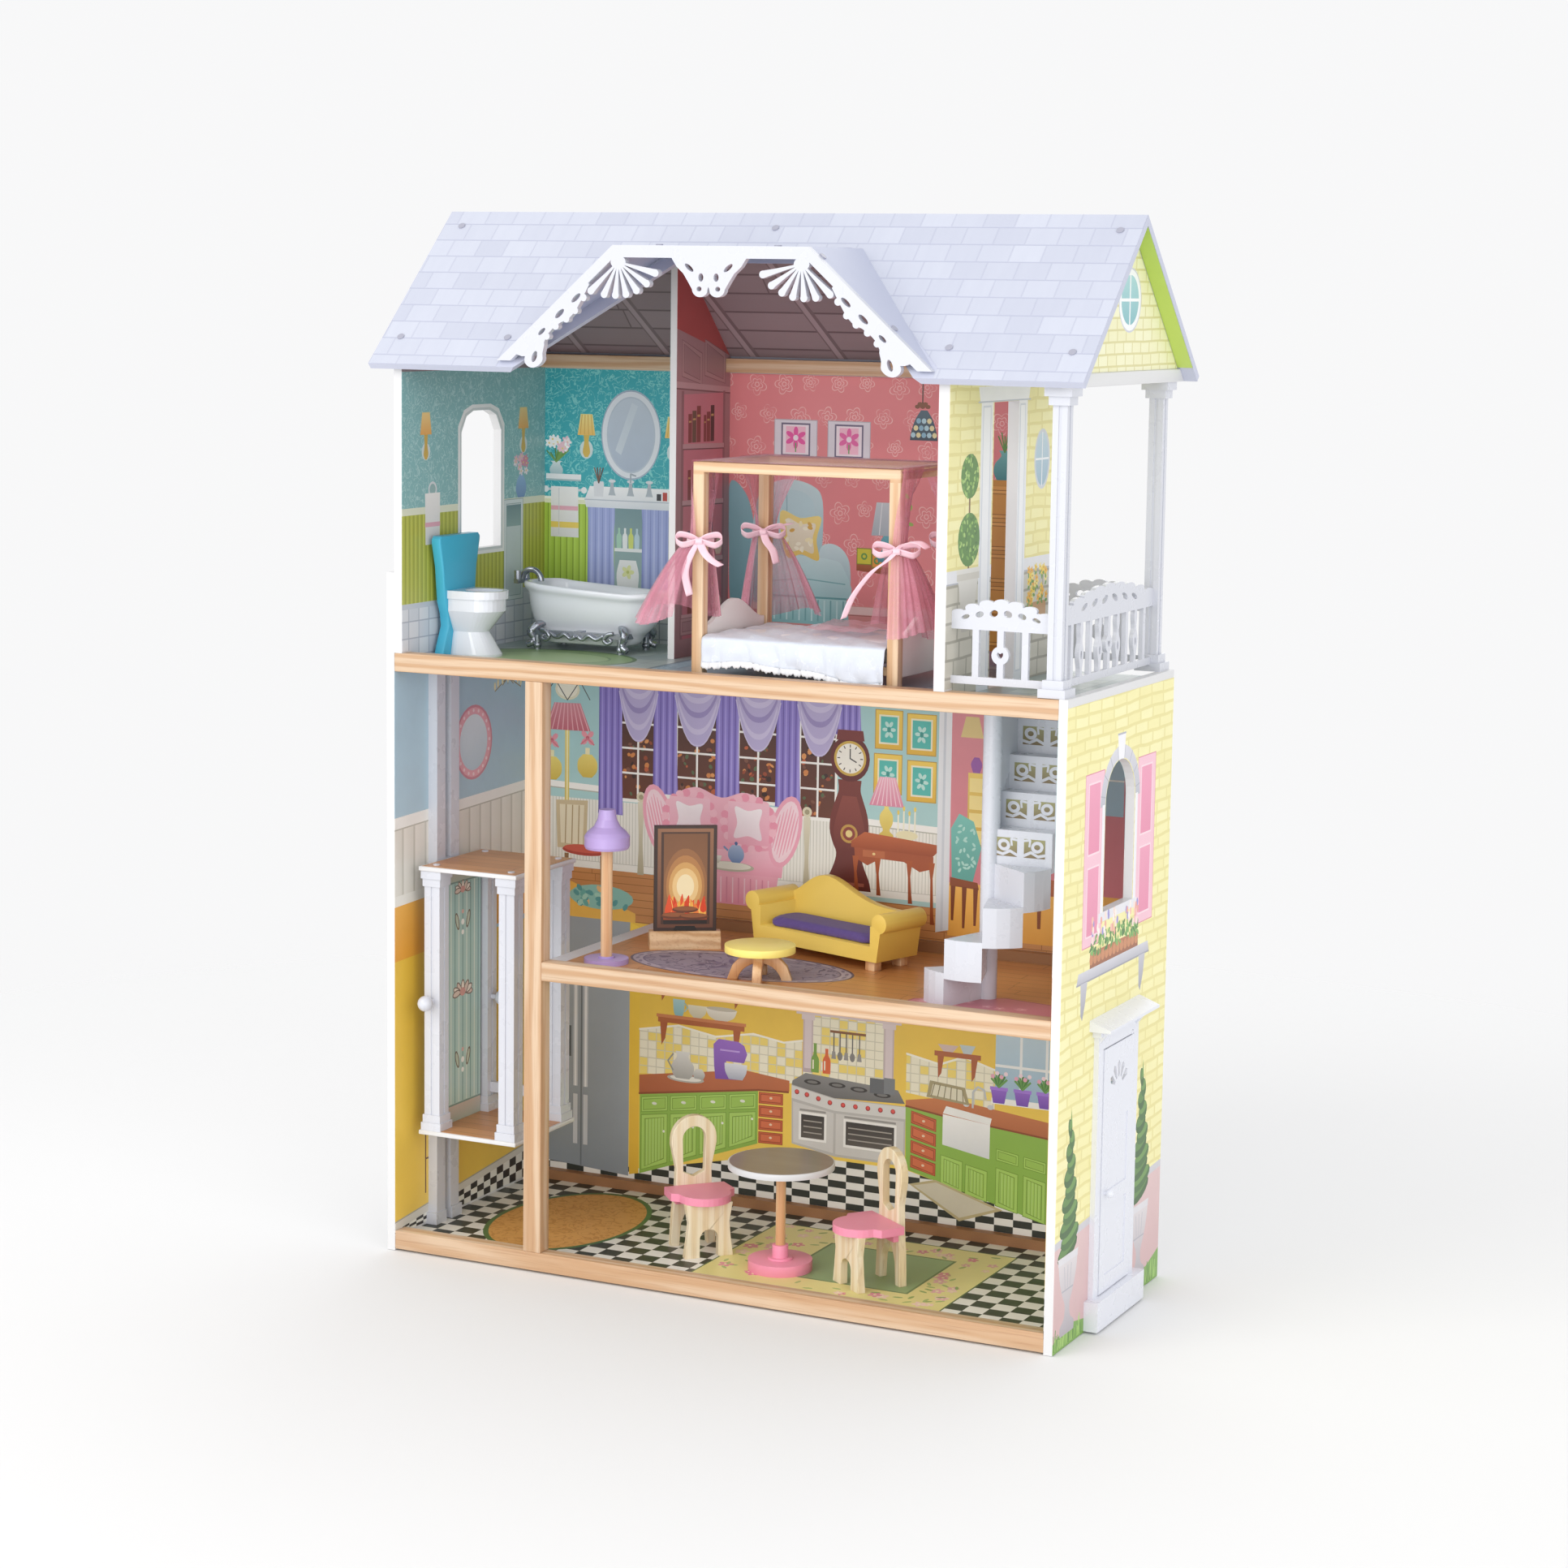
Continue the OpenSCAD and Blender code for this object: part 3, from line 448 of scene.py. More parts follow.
def bricks(one, two, mortar, w, h, gap=0.05, wobble=0.0):
    """Coursed bricks or planks, each in its own shade."""
    def make(t, at):
        p = t.parts(at)
        x, y = p[0], p[1]
        if wobble:
            n = t.noise(at, 9, 3)
            y = t.add(y, t.mul(n, wobble))
            x = t.add(x, t.mul(n, wobble))
        v = t.mul(y, 1 / h)
        row = t.math("FLOOR", v)
        shift = t.dice(row, 3.0, 0.0)
        u = t.add(t.mul(x, 1 / w), shift)
        shade = t.dice(t.math("FLOOR", u), row, 7.0)
        du = t.mul(t.sub(0.5, t.off_middle(u)), w / h)
        dv = t.sub(0.5, t.off_middle(v))
        line = t.sub(1.0, t.step(t.math("MINIMUM", du, dv), gap * 0.5, gap))
        streak = t.noise(t.scaled(at, 1 / w, 6 / h, 1.0), 0.9, 3)
        colour = t.mix(t.mad(streak, 0.35, t.mul(shade, 0.65)), one, two)
        return t.mix(line, colour, mortar), t.sub(t.mul(shade, 0.3), line)
    return make


def line_flowers(ground, line, pitch):
    """Wallpaper of outline blossoms, each turned and moved in its own cell."""
    def make(t, at):
        p = t.parts(at)
        u, v = t.mul(p[0], 1 / pitch), t.mul(p[1], 1 / pitch)
        odd = t.math("MODULO", t.math("ABSOLUTE", t.math("FLOOR", v)), 2.0)
        u = t.mad(odd, 0.5, u)
        cell = t.vec(t.math("FLOOR", u), t.math("FLOOR", v), 2.0)
        seed = t.node("TexWhiteNoise", i0=cell).outputs[0]
        dx = t.sub(t.math("FRACT", u), t.mad(seed, 0.2, 0.4))
        dy = t.sub(t.math("FRACT", v), t.mad(seed, -0.2, 0.6))
        r = t.math("SQRT", t.add(t.mul(dx, dx), t.mul(dy, dy)))
        a = t.add(t.math("ARCTAN2", dy, dx), t.mul(seed, 6.0))
        lobes = t.math("ABSOLUTE", t.math("SINE", t.mul(a, 2.5)))
        size = t.mad(seed, 0.1, 0.2)
        on = 0.0
        for share, depth in ((1.0, 0.5), (0.6, 0.45), (0.25, 0.2)):
            petal = t.mul(size, t.mad(lobes, depth * share, (1 - depth * 0.5) * share))
            off = t.math("ABSOLUTE", t.sub(r, petal))
            on = t.math("MAXIMUM", on, t.sub(1.0, t.step(off, 0.008, 0.022)))
        soft = t.mul(on, t.step(t.noise(at, 60, 2), 0.3, 0.55))
        return t.mix(t.mul(soft, 0.8), ground, line), soft
    return make


def shingle_maker(tones, seam, w, h):
    """Overlapping shingles: each has its own tone, a shadow under its butt and a soft round corner."""
    def make(t, at):
        p = t.parts(at)
        v = t.mul(p[1], 1 / h)
        row = t.math("FLOOR", v)
        jitter = t.dice(row, 11.0, 0.0)
        u = t.add(t.mul(p[0], 1 / w), t.mad(row, 0.5, t.mul(jitter, 0.3)))
        col = t.math("FLOOR", u)
        shade = t.dice(col, row, 5.0)
        fu, fv = t.math("FRACT", u), t.math("FRACT", v)
        side = t.math("ABSOLUTE", t.sub(fu, 0.5))
        sides = t.step(side, 0.462, 0.495)
        butt = t.sub(1.0, t.step(fv, 0.03, 0.1))
        line = t.math("MAXIMUM", t.mul(sides, 0.6), butt)
        colour = t.ramp(shade, [(0.0, tones[0]), (0.5, tones[1]), (1.0, tones[2])])
        grain = t.noise(t.scaled(at, 90.0, 14.0, 1.0), 1.0, 3)
        colour = t.mix(t.mul(grain, 0.25), colour, seam)
        height = t.sub(t.mad(fv, -0.7, t.mul(grain, 0.15)), line)
        return t.mix(t.mul(line, 0.75), colour, seam), height
    return make


PRINT = ink_material()


def tidy_loop(points):
    """Drops doubled points and turns the loop anticlockwise."""
    out = []
    for x, y in points:
        if not out or abs(out[-1][0] - x) + abs(out[-1][1] - y) > 0.05:
            out.append((float(x), float(y)))
    if abs(out[0][0] - out[-1][0]) + abs(out[0][1] - out[-1][1]) < 0.05:
        out.pop()
    area = sum(a[0] * b[1] - b[0] * a[1] for a, b in zip(out, out[1:] + out[:1]))
    return out if area > 0 else out[::-1]


def inside(point, loop):
    """True where the point lies in the loop. The triangulation alone can let one shape run into another."""
    x, y = point
    odd = False
    for (x0, y0), (x1, y1) in zip(loop, loop[1:] + loop[:1]):
        if (y0 > y) != (y1 > y) and x < x0 + (x1 - x0) * (y - y0) / (y1 - y0):
            odd = not odd
    return odd


def angles(n):
    """n even steps round a circle, and the first again."""
    return [2 * math.pi * i / n for i in range(n + 1)]


def through(points, steps, closed=False):
    """Points along a smooth curve through the given ones."""
    pts = [Vector(p) for p in points]
    ring = [pts[-1]] + pts + pts[:2] if closed else [pts[0] * 2 - pts[1]] + pts + [pts[-1] * 2 - pts[-2]]
    out = []
    for a, b, c, d in zip(ring, ring[1:], ring[2:], ring[3:]):
        for k in range(steps):
            t = k / steps
            bend = (2 * a - 5 * b + 4 * c - d) * t * t + (3 * b - a - 3 * c + d) * t ** 3
            out.append(0.5 * (2 * b + (c - a) * t + bend))
    return out if closed else out + [pts[-1]]


class Panel:
    """A printed sheet on one face: flat shapes over a ground, in mm on the face, the last drawn on top."""

    LIFT, GAP = 0.35, 0.05

    def __init__(self, name, slot, origin, u, v, outline, ground, body="house"):
        self.name, self.slot, self.body = name, slot, body
        self.o, self.u, self.v = Vector(origin), Vector(u), Vector(v)
        self.n = self.u.cross(self.v)
        self.shapes = [(tidy_loop(outline), ground)]

    def poly(self, points, ink):
        """A flat shape. Its ink is a hex colour, a pair (top, foot), M: and a pattern, or None for a hole."""
        self.shapes.append((tidy_loop(points), ink))

    def rect(self, x0, y0, x1, y1, ink):
        self.poly([(x0, y0), (x1, y0), (x1, y1), (x0, y1)], ink)

    def ell(self, cx, cy, rx, ry, ink, n=20, turn=0.0):
        """An ellipse of n sides."""
        c, s = math.cos(math.radians(turn)), math.sin(math.radians(turn))
        ring = [(rx * math.cos(2 * math.pi * i / n), ry * math.sin(2 * math.pi * i / n)) for i in range(n)]
        self.poly([(cx + a * c - b * s, cy + a * s + b * c) for a, b in ring], ink)

    def rings(self, cx, cy, n, *sizes):
        """Ellipses of n sides round one middle, each (half width, half height, ink)."""
        for rx, ry, ink in sizes:
            self.ell(cx, cy, rx, ry, ink, n)

    def line(self, points, width, ink):
        """A stroke of one width through the points."""
        for (x0, y0), (x1, y1) in zip(points, points[1:]):
            d = math.hypot(x1 - x0, y1 - y0)
            if d > 0.1:
                nx, ny = -(y1 - y0) / d * width / 2, (x1 - x0) / d * width / 2
                ex, ey = (x1 - x0) / d * width * 0.2, (y1 - y0) / d * width * 0.2
                self.poly([(x0 - nx - ex, y0 - ny - ey), (x1 - nx + ex, y1 - ny + ey),
                           (x1 + nx + ex, y1 + ny + ey), (x0 + nx - ex, y0 + ny - ey)], ink)

    def turned(self, cx, profile, ink):
        """A shape that is even about x = cx; profile is (half width, height) from the foot up."""
        side = through(profile, 3) if len(profile) > 2 else profile
        self.poly([(cx + r, z) for r, z in side] + [(cx - r, z) for r, z in reversed(side)], ink)

    def blob(self, points, ink, steps=5):
        """A closed curve through the points."""
        self.poly([tuple(p) for p in through(points, steps, True)], ink)

    def flower(self, x, y, r, petal, middle, n=5, turn=0.0):
        """Petals round a middle."""
        for i in range(n):
            a = turn + 2 * math.pi * i / n
            self.ell(x + r * 0.6 * math.cos(a), y + r * 0.6 * math.sin(a), r * 0.5, r * 0.34, petal, 8,
                     math.degrees(a))
        self.ell(x, y, r * 0.26, r * 0.26, middle, 8)

    def drape(self, x0, x1, z0, z1, folds, light, mid, dark, waist=0.0):
        """A hanging curtain: folds as tapering strips, drawn in at the middle by waist."""
        def pull(x, z):
            m = (x0 + x1) / 2
            k = waist * math.sin(math.pi * (z - z0) / (z1 - z0))
            return m + (x - m) * (1 - k)
        zs = [z0 + (z1 - z0) * i / 6 for i in range(7)]
        self.poly([(pull(x1, z), z) for z in zs] + [(pull(x0, z), z) for z in reversed(zs)], mid)
        w = (x1 - x0) / folds
        for i in range(folds):
            for at, width, ink in ((0.16, 0.16, dark), (0.62, 0.22, light)):
                x = x0 + (i + at) * w
                half = w * width
                self.poly([(pull(x + half * 0.8, z0 + 1), z0 + 1), (pull(x + half * 0.3, z1), z1),
                           (pull(x - half * 0.3, z1), z1), (pull(x - half * 0.8, z0 + 1), z0 + 1)], ink)

    def swag(self, x0, x1, z0, z1, light, mid, dark):
        """A valance that hangs in a curve between its ends, with folds that follow it."""
        h, n = z1 - z0, 14

        def curve(k):
            return [(x0 + (x1 - x0) * i / n,
                     z1 - h * k * (1 - 0.62 * abs(2 * i / n - 1) ** 2.4)) for i in range(n + 1)]
        self.poly(curve(1.0) + [(x1, z1), (x0, z1)], mid)
        for k, ink in ((0.85, light), (0.64, dark), (0.46, light), (0.26, light)):
            pts = curve(k)
            self.poly(pts[1:-1] + [(x, z + h * 0.07) for x, z in reversed(pts[1:-1])], ink)
        self.line(curve(0.985), 1.4, light)

    def sashes(self, x0, z0, x1, z1, cols, rows, glass, bar, width=2.0):
        """Glass with bars across it."""
        self.rect(x0, z0, x1, z1, glass)
        for i in range(1, cols):
            x = x0 + (x1 - x0) * i / cols
            self.rect(x - width / 2, z0, x + width / 2, z1, bar)
        for i in range(1, rows):
            z = z0 + (z1 - z0) * i / rows
            self.rect(x0, z - width / 2, x1, z + width / 2, bar)

    def door(self, pts, face, edge, inner, inset=4.0):
        """A cabinet front: pts are four corners, with an edge line and an inner panel."""
        c = (sum(p[0] for p in pts) / 4, sum(p[1] for p in pts) / 4)
        def shrink(mm):
            out = []
            for x, y in pts:
                out.append((x + math.copysign(mm, c[0] - x), y + math.copysign(mm, c[1] - y)))
            return out
        self.poly(pts, edge)
        self.poly(shrink(0.8), face)
        self.poly(shrink(inset), edge)
        self.poly(shrink(inset + 0.8), inner)

    def build(self):
        """Cuts the shapes apart, the last one on top, and makes the sheet with its edges."""
        verts, faces = [], []
        for loop, _ in self.shapes:
            faces.append(list(range(len(verts), len(verts) + len(loop))))
            verts += [Vector(p) for p in loop]
        out_v, _, out_f, _, _, orig = delaunay_2d_cdt(verts, [], faces, 1, 1e-3, True)
        inks = [s[1] for s in self.shapes]
        spans = [(min(p[1] for p in l), max(p[1] for p in l)) for l, _ in self.shapes]
        keep, of = [], []
        for f, src in zip(out_f, orig):
            mid = [sum(out_v[i][k] for i in f) / len(f) for k in (0, 1)]
            src = sorted((i for i in src if inside(mid, self.shapes[i][0])), reverse=True)
            if not src or src[-1] != 0 or inks[src[0]] is None:
                continue
            keep.append(list(f))
            of.append(src[0])
        used = sorted({i for f in keep for i in f})
        index = {v: k for k, v in enumerate(used)}
        n = len(used)
        flat = [out_v[i] for i in used]
        def world(p, lift):
            return (self.o + self.u * p[0] + self.v * p[1] + self.n * lift) * MM
        co = [world(p, self.LIFT) for p in flat] + [world(p, self.GAP) for p in flat]
        edges = {pair for f in keep for pair in zip(f, f[1:] + f[:1])}
        polys, who = [], []
        for f, s in zip(keep, of):
            polys.append([index[i] for i in f])
            who.append(s)
        for f, s in zip(keep, of):
            polys.append([index[i] + n for i in reversed(f)])
            who.append(s)
        for f, s in zip(keep, of):
            for a, b in zip(f, f[1:] + f[:1]):
                if (b, a) not in edges:
                    polys.append([index[b], index[a], index[a] + n, index[b] + n])
                    who.append(s)
        mesh = bpy.data.meshes.new(self.name)
        mesh.from_pydata([tuple(c) for c in co], [], polys)
        obj = bpy.data.objects.new(self.name, mesh)
        bpy.context.scene.collection.objects.link(obj)
        mesh.materials.append(PRINT)
        layer = mesh.color_attributes.new("ink", "FLOAT_COLOR", "CORNER")
        values = np.ones((len(mesh.loops), 4), dtype=np.float32)
        cache = {}
        slots = {"print_ink": 0}
        for poly, s in zip(mesh.polygons, who):
            ink = inks[s]
            if isinstance(ink, str) and ink.startswith("M:"):
                if ink not in slots:
                    slots[ink] = len(mesh.materials)
                    mesh.materials.append(PATTERNS[ink[2:]])
                poly.material_index = slots[ink]
                continue
            for li in poly.loop_indices:
                if isinstance(ink, tuple):
                    z = flat[mesh.loops[li].vertex_index % n][1]
                    lo, hi = spans[s]
                    k = round((z - lo) / max(hi - lo, 1e-6), 3)
                    key = (ink, k)
                    if key not in cache:
                        a, b = lin(ink[0]), lin(ink[1])
                        cache[key] = [b[i] + (a[i] - b[i]) * k for i in range(4)]
                else:
                    key = ink
                    if key not in cache:
                        cache[key] = lin(ink)
                values[li] = cache[key]
        layer.data.foreach_set("color", values.ravel())
        mesh.update()
        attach(obj, self.body)
        return obj


X, Y, Z = (1, 0, 0), (0, 1, 0), (0, 0, 1)
PATTERNS = {
    "teal": pattern("teal_wallpaper", "xz", squiggles("2fa3b0", "74cfcf")),
    "teal_y": pattern("teal_wallpaper_side", "yz", squiggles("7fb4b6", "a9d0cf")),
    "bead": pattern("green_beadboard", "xz", stripes("9dc23a", "6f9126", 0.0085, "aed24c")),
    "bead_y": pattern("green_beadboard_side", "yz", stripes("a9ae3a", "7d8427", 0.0085, "c2c650")),
    "tile_x": pattern("bath_tiles", "xz", squares("e4e8ee", "d7dce6", 0.021, 0.019, "a9afbd", 0.05)),
    "tile_y": pattern("bath_tiles_side", "yz", squares("dfe2e8", "d2d7e0", 0.021, 0.019, "a9afbd", 0.05)),
    "coral": pattern("coral_wallpaper", "xz", line_flowers("e0767a", "f7c4c0", 0.036), 0.4, 0.8),
    "splash": pattern("kitchen_splash", "xz",
                      squares("f0ead0", "f2d667", 0.0115, 0.0105, "cfc9b0", 0.07, True)),
    "check_wall": pattern("checker_low", "xz", squares("20241f", "eceae2", 0.0235, 0.0085)),
    "check": pattern("checker_floor", "xy", squares("1d221d", "e9e7df", 0.0235, 0.021)),
    "green_x": pattern("cabinet_bead", "xz", stripes("9ac64e", "6c9a34", 0.0042, "aed468")),
    "ivory_x": pattern("living_beadboard", "xz", stripes("e4e2d6", "b9b8a9", 0.0042, "f0eee4")),
    "ivory_y": pattern("living_beadboard_side", "yz", stripes("e2ded2", "c8c4b6", 0.024, "ebe7dc")),
    "brick_y": pattern("yellow_shingle_wall", "yz",
                       bricks("fbf6bf", "f4eba6", "ebe19a", 0.038, 0.0132, 0.18, 0.012), 0.45, 1.0),
    "stone_y": pattern("stone_base", "yz",
                       bricks("d9d5c8", "c9c5b8", "a9a598", 0.034, 0.019, 0.1, 0.006), 0.45, 1.0),
    "gable_y": pattern("gable_shingle", "yz",
                       bricks("f7f6d4", "f0ecba", "ddd69c", 0.026, 0.0125, 0.12, 0.003), 0.45, 1.0),
    "planks": pattern("living_planks", "xy", bricks("c9864b", "b56f38", "8f5528", 0.16, 0.02, 0.04), 0.3),
    "planks_x": pattern("living_planks_low", "xz",
                        bricks("c9864b", "b87440", "8f5528", 0.12, 0.009, 0.06), 0.34),
    "rafters": pattern("roof_boards", "xz", bricks("8e7a7e", "7d6a6e", "5d4c50", 0.5, 0.021, 0.06)),
    "rafters_back": pattern("roof_boards_back", "xz",
                            bricks("cdd384", "bcc474", "98a155", 0.5, 0.021, 0.06)),
    "slate": pattern("third_floor_tiles", "xy",
                     squares("8f9fa0", "a6b4b0", 0.03, 0.03, "748483", 0.03, True), 0.3),
    "tan_rug": pattern("tan_rug", "xy", squiggles("cf9147", "b97b34", 60.0, 0.05), 0.6),
    "plum_rug": pattern("plum_rug", "xy", squiggles("8d8193", "5c5168", 42.0, 0.03), 0.6),
    "blue_rug": pattern("third_floor_rug", "xy", squiggles("7f99a8", "9fb4be", 60.0, 0.05), 0.6),
}


# ---------------------------------------------------------------- sizes of the house in mm
BACK = 155.0  # front face of the back boards
WALL_FRONT, WALL_BACK = -160.8, 154.8  # ends of the prints on the side walls
GROUND, SECOND, THIRD = 14, 346, 679  # tops of the floors
CEILING_2 = 668.8
UNDER_RIDGE, SLOPE = 1168.5, 0.966  # underside of the roof over y = 0, and its fall per mm of y
RIDGE = 1180


def under(y):
    """Height of the roof's underside."""
    return UNDER_RIDGE - SLOPE * abs(y)


def kitchen_floor(p):
    """Floor drawn in perspective, the fridge and the left tiles."""
    p.poly([(-398, 26), (398, 26), (398, 34), (275, 46), (99, 84), (-48, 84), (-251, 40), (-398, 40)],
           "M:check_wall")
    p.poly([(-398, 341), (-267, 341), (-267, 30), (-398, 40)], "8f979f")
    p.poly([(-387, 262), (-267, 262), (-267, 29), (-387, 36)], ("9aa3ab", "7f8890"))
    p.rect(-334, 34, -332, 262, "5f676e")
    for x in (-341, -327):
        p.rect(x - 3, 132, x + 3, 258, "c9cdd2")
        p.rect(x - 3, 60, x + 3, 122, "c9cdd2")
        p.rect(x - 1, 132, x + 1, 258, "f0f2f4")
    p.rect(-362, 168, -347, 206, "4c5358")
    p.rect(-359, 190, -350, 203, "a6b0b8")
    p.poly([(-266, 341), (-253, 336), (-253, 34), (-266, 31)], ("f4c93c", "e3ae2b"))
    p.poly([(-253, 158), (-36, 170), (-36, 222), (-60, 217), (-100, 223), (-150, 214), (-200, 222),
            (-253, 212)], "M:splash")
    p.line([(-253, 212), (-200, 222), (-150, 214), (-100, 223), (-60, 217), (-36, 222)], 2.4, "f7f2e2")


def kitchen_hood(p):
    """Chimney hood over the stove, and the right tiles."""
    p.rect(-35, 172, 82, 296, "M:splash")
    for x0, x1 in ((-35, -22), (69, 82)):
        p.rect(x0, 185, x1, 262, ("c9b4b6", "b8a4a7"))
        p.rect(x0 + 2, 190, x1 - 2, 250, "d8c7c9")
        p.rect(x0 - 2, 248, x1 + 2, 257, "dccbcd")
    p.poly([(-40, 258), (87, 258), (76, 300), (-29, 300)], ("e3bf74", "cfa257"))
    p.rect(-44, 254, 91, 262, "d9c5c7")
    p.poly([(98, 176), (209, 166), (209, 215), (170, 226), (140, 214), (98, 222)], "M:splash")
    p.line([(98, 222), (140, 214), (170, 226), (209, 215)], 2.4, "f7f2e2")


def kitchen_left_counter(p):
    """Left counter with cabinets and drawers."""
    p.poly([(-252, 132), (-93, 155), (-93, 91), (-252, 34)], "83b03f")
    for i in range(4):
        a, b = -250 + i * 39.5, -250 + i * 39.5 + 36
        def up(x, k):
            return k + (x + 252) * 0.145
        def low(x):
            return 38 + (x + 252) * 0.36
        p.door([(a, up(a, 110)), (b, up(b, 110)), (b, up(b, 129)), (a, up(a, 129))], "a3cd58", "68902c",
               "94c04a", 2.6)
        p.ell((a + b) / 2, up((a + b) / 2, 120), 3.4, 1.8, "dfe3d2", 10)
        p.door([(a, low(a)), (b, low(b)), (b, up(b, 107)), (a, up(a, 107))], "a3cd58", "68902c",
               "M:green_x", 4.6)
        p.ell(b - 5, (low(b) + up(b, 107)) / 2 + 8, 1.6, 1.6, "e6e8dc", 8)
    for i in range(4):
        z = 93 + i * 16
        p.door([(-92, z - 1), (-60, z), (-60, z + 14), (-92, z + 13)], "c4532f", "8a3319", "cf6038", 2.2)
        p.ell(-76, z + 7, 2.0, 1.5, "e8c9a8", 8)
    p.poly([(-253, 156), (-111, 178), (-52, 172), (-52, 159), (-93, 157), (-253, 133)],
           ("b96138", "a04d29"))
    p.line([(-253, 133), (-93, 156), (-53, 158)], 2.4, "7f3a1c")


def kitchen_left_shelf(p):
    """Shelf with a cup and bowls."""
    p.rect(-228, 224, -112, 231, "a8552c")
    p.rect(-230, 230, -110, 234, "c77444")
    for x in (-220, -122):
        p.poly([(x - 5, 224), (x + 5, 224), (x + 2, 205), (x - 3, 196)], "a4502a")
        p.poly([(x - 5, 272), (x + 4, 272), (x + 2, 258), (x - 3, 250)], "a4502a")
    p.turned(-200, [(5, 234), (7, 240), (8, 254)], ("a5cfd3", "7fb2b8"))
    p.line([(-192, 250), (-188, 245), (-192, 240)], 1.6, "8fbcc1")
    p.turned(-175, [(5, 234), (11, 240), (13, 249)], ("e6dfc4", "c9c0a2"))
    p.turned(-143, [(8, 234), (17, 239), (21, 248)], ("efe9dc", "cfc6b4"))
    p.ell(-143, 248, 20, 2.5, "bfb6a4", 16)


def kitchen_mixer(p):
    """Pitcher on a tray, cup and mixer."""
    p.ell(-190, 158, 25, 4.5, "a9a79d", 20)
    p.ell(-190, 158.5, 21, 3.2, "e4e2d8", 20)
    p.turned(-194, [(9, 158), (14, 164), (15, 174), (8, 184), (10, 191)], ("e0dfda", "9d9c96"))
    p.line([(-207, 187), (-214, 178), (-207, 167)], 2.0, "8d8c86")
    p.turned(-172, [(6, 160), (8, 166), (4, 172)], ("d9d8d2", "9c9b95"))
    p.poly([(-150, 163), (-118, 165), (-118, 171), (-134, 172), (-136, 186), (-112, 186), (-108, 197),
            (-112, 207), (-120, 211),
            (-146, 212), (-153, 205), (-152, 180)], ("8f5fc4", "6c40a0"))
    p.turned(-123, [(9, 165), (14, 174), (15, 184)], ("dfe2ea", "a2a7b8"))
    p.rect(-144, 198, -118, 200, "b794dd")


def kitchen_stove(p):
    """Stove with knobs and two ovens, bottles, and tools on a rail."""
    p.poly([(-48, 173), (-31, 184), (88, 177), (97, 162), (7, 158), (-49, 168)], ("7d7c7b", "5b5a59"))
    for x, z in ((-22, 174), (10, 174), (38, 172), (68, 169)):
        p.ell(x, z, 11, 3.2, "2a2927", 14)
        p.ell(x, z, 7, 1.8, "6a6866", 12)
    p.rect(52, 170, 70, 188, "55585c")
    p.rect(70, 171, 84, 190, "6d7175")
    p.poly([(-49, 168), (7, 158), (98, 159), (98, 88), (8, 88), (-48, 97)], "b4b1ad")
    p.poly([(-47, 148), (6, 140), (6, 92), (-46, 99)], "cac7c3")
    p.poly([(9, 140), (96, 141), (96, 91), (9, 91)], "cac7c3")
    p.poly([(-49, 167), (7, 157), (98, 158), (98, 144), (7, 143), (-49, 152)], "d3d1cd")
    for x, z in ((-42, 160), (-29, 158), (-14, 155), (1, 152), (18, 151), (34, 151), (50, 151), (66, 151),
                 (82, 151)):
        p.ell(x, z, 3.1, 3.1, "8d211f", 10)
        p.ell(x, z + 0.4, 2.2, 2.2, "d9453f", 10)
    for x0, x1, z0, z1 in ((-36, -6, 106, 134), (22, 84, 104, 132)):
        p.rect(x0 - 3, z0 - 3, x1 + 3, z1 + 3, "f0eeea")
        p.rect(x0, z0, x1, z1, ("2d2a28", "4b4540"))
        for i in range(3):
            p.rect(x0 + 3, z0 + 6 + i * 7, x1 - 3, z0 + 7.4 + i * 7, "9b948c")
        p.rect(x0 - 2, z1 + 4, x1 + 2, z1 + 6.5, "8b8884")
    for x, top, ink in ((-19, 221, "6f9a3c"), (-4, 216, "d8592b")):
        p.turned(x, [(5, 186), (5, 202), (2.2, 208), (2, top)], ink)
        p.rect(x - 3.4, 190, x - 1.6, 201, "f3ead0")
    p.rect(0, 236, 46, 239, "7a4a2a")
    for i, x in enumerate((5, 13, 21, 29, 38)):
        p.rect(x - 0.8, 212, x + 0.8, 236, "5a5754")
        if i % 2:
            p.ell(x, 209, 3.4, 5.4, "77736f", 10)
        else:
            p.poly([(x - 3, 205), (x + 3, 205), (x + 2, 214), (x - 2, 214)], "8d8985")


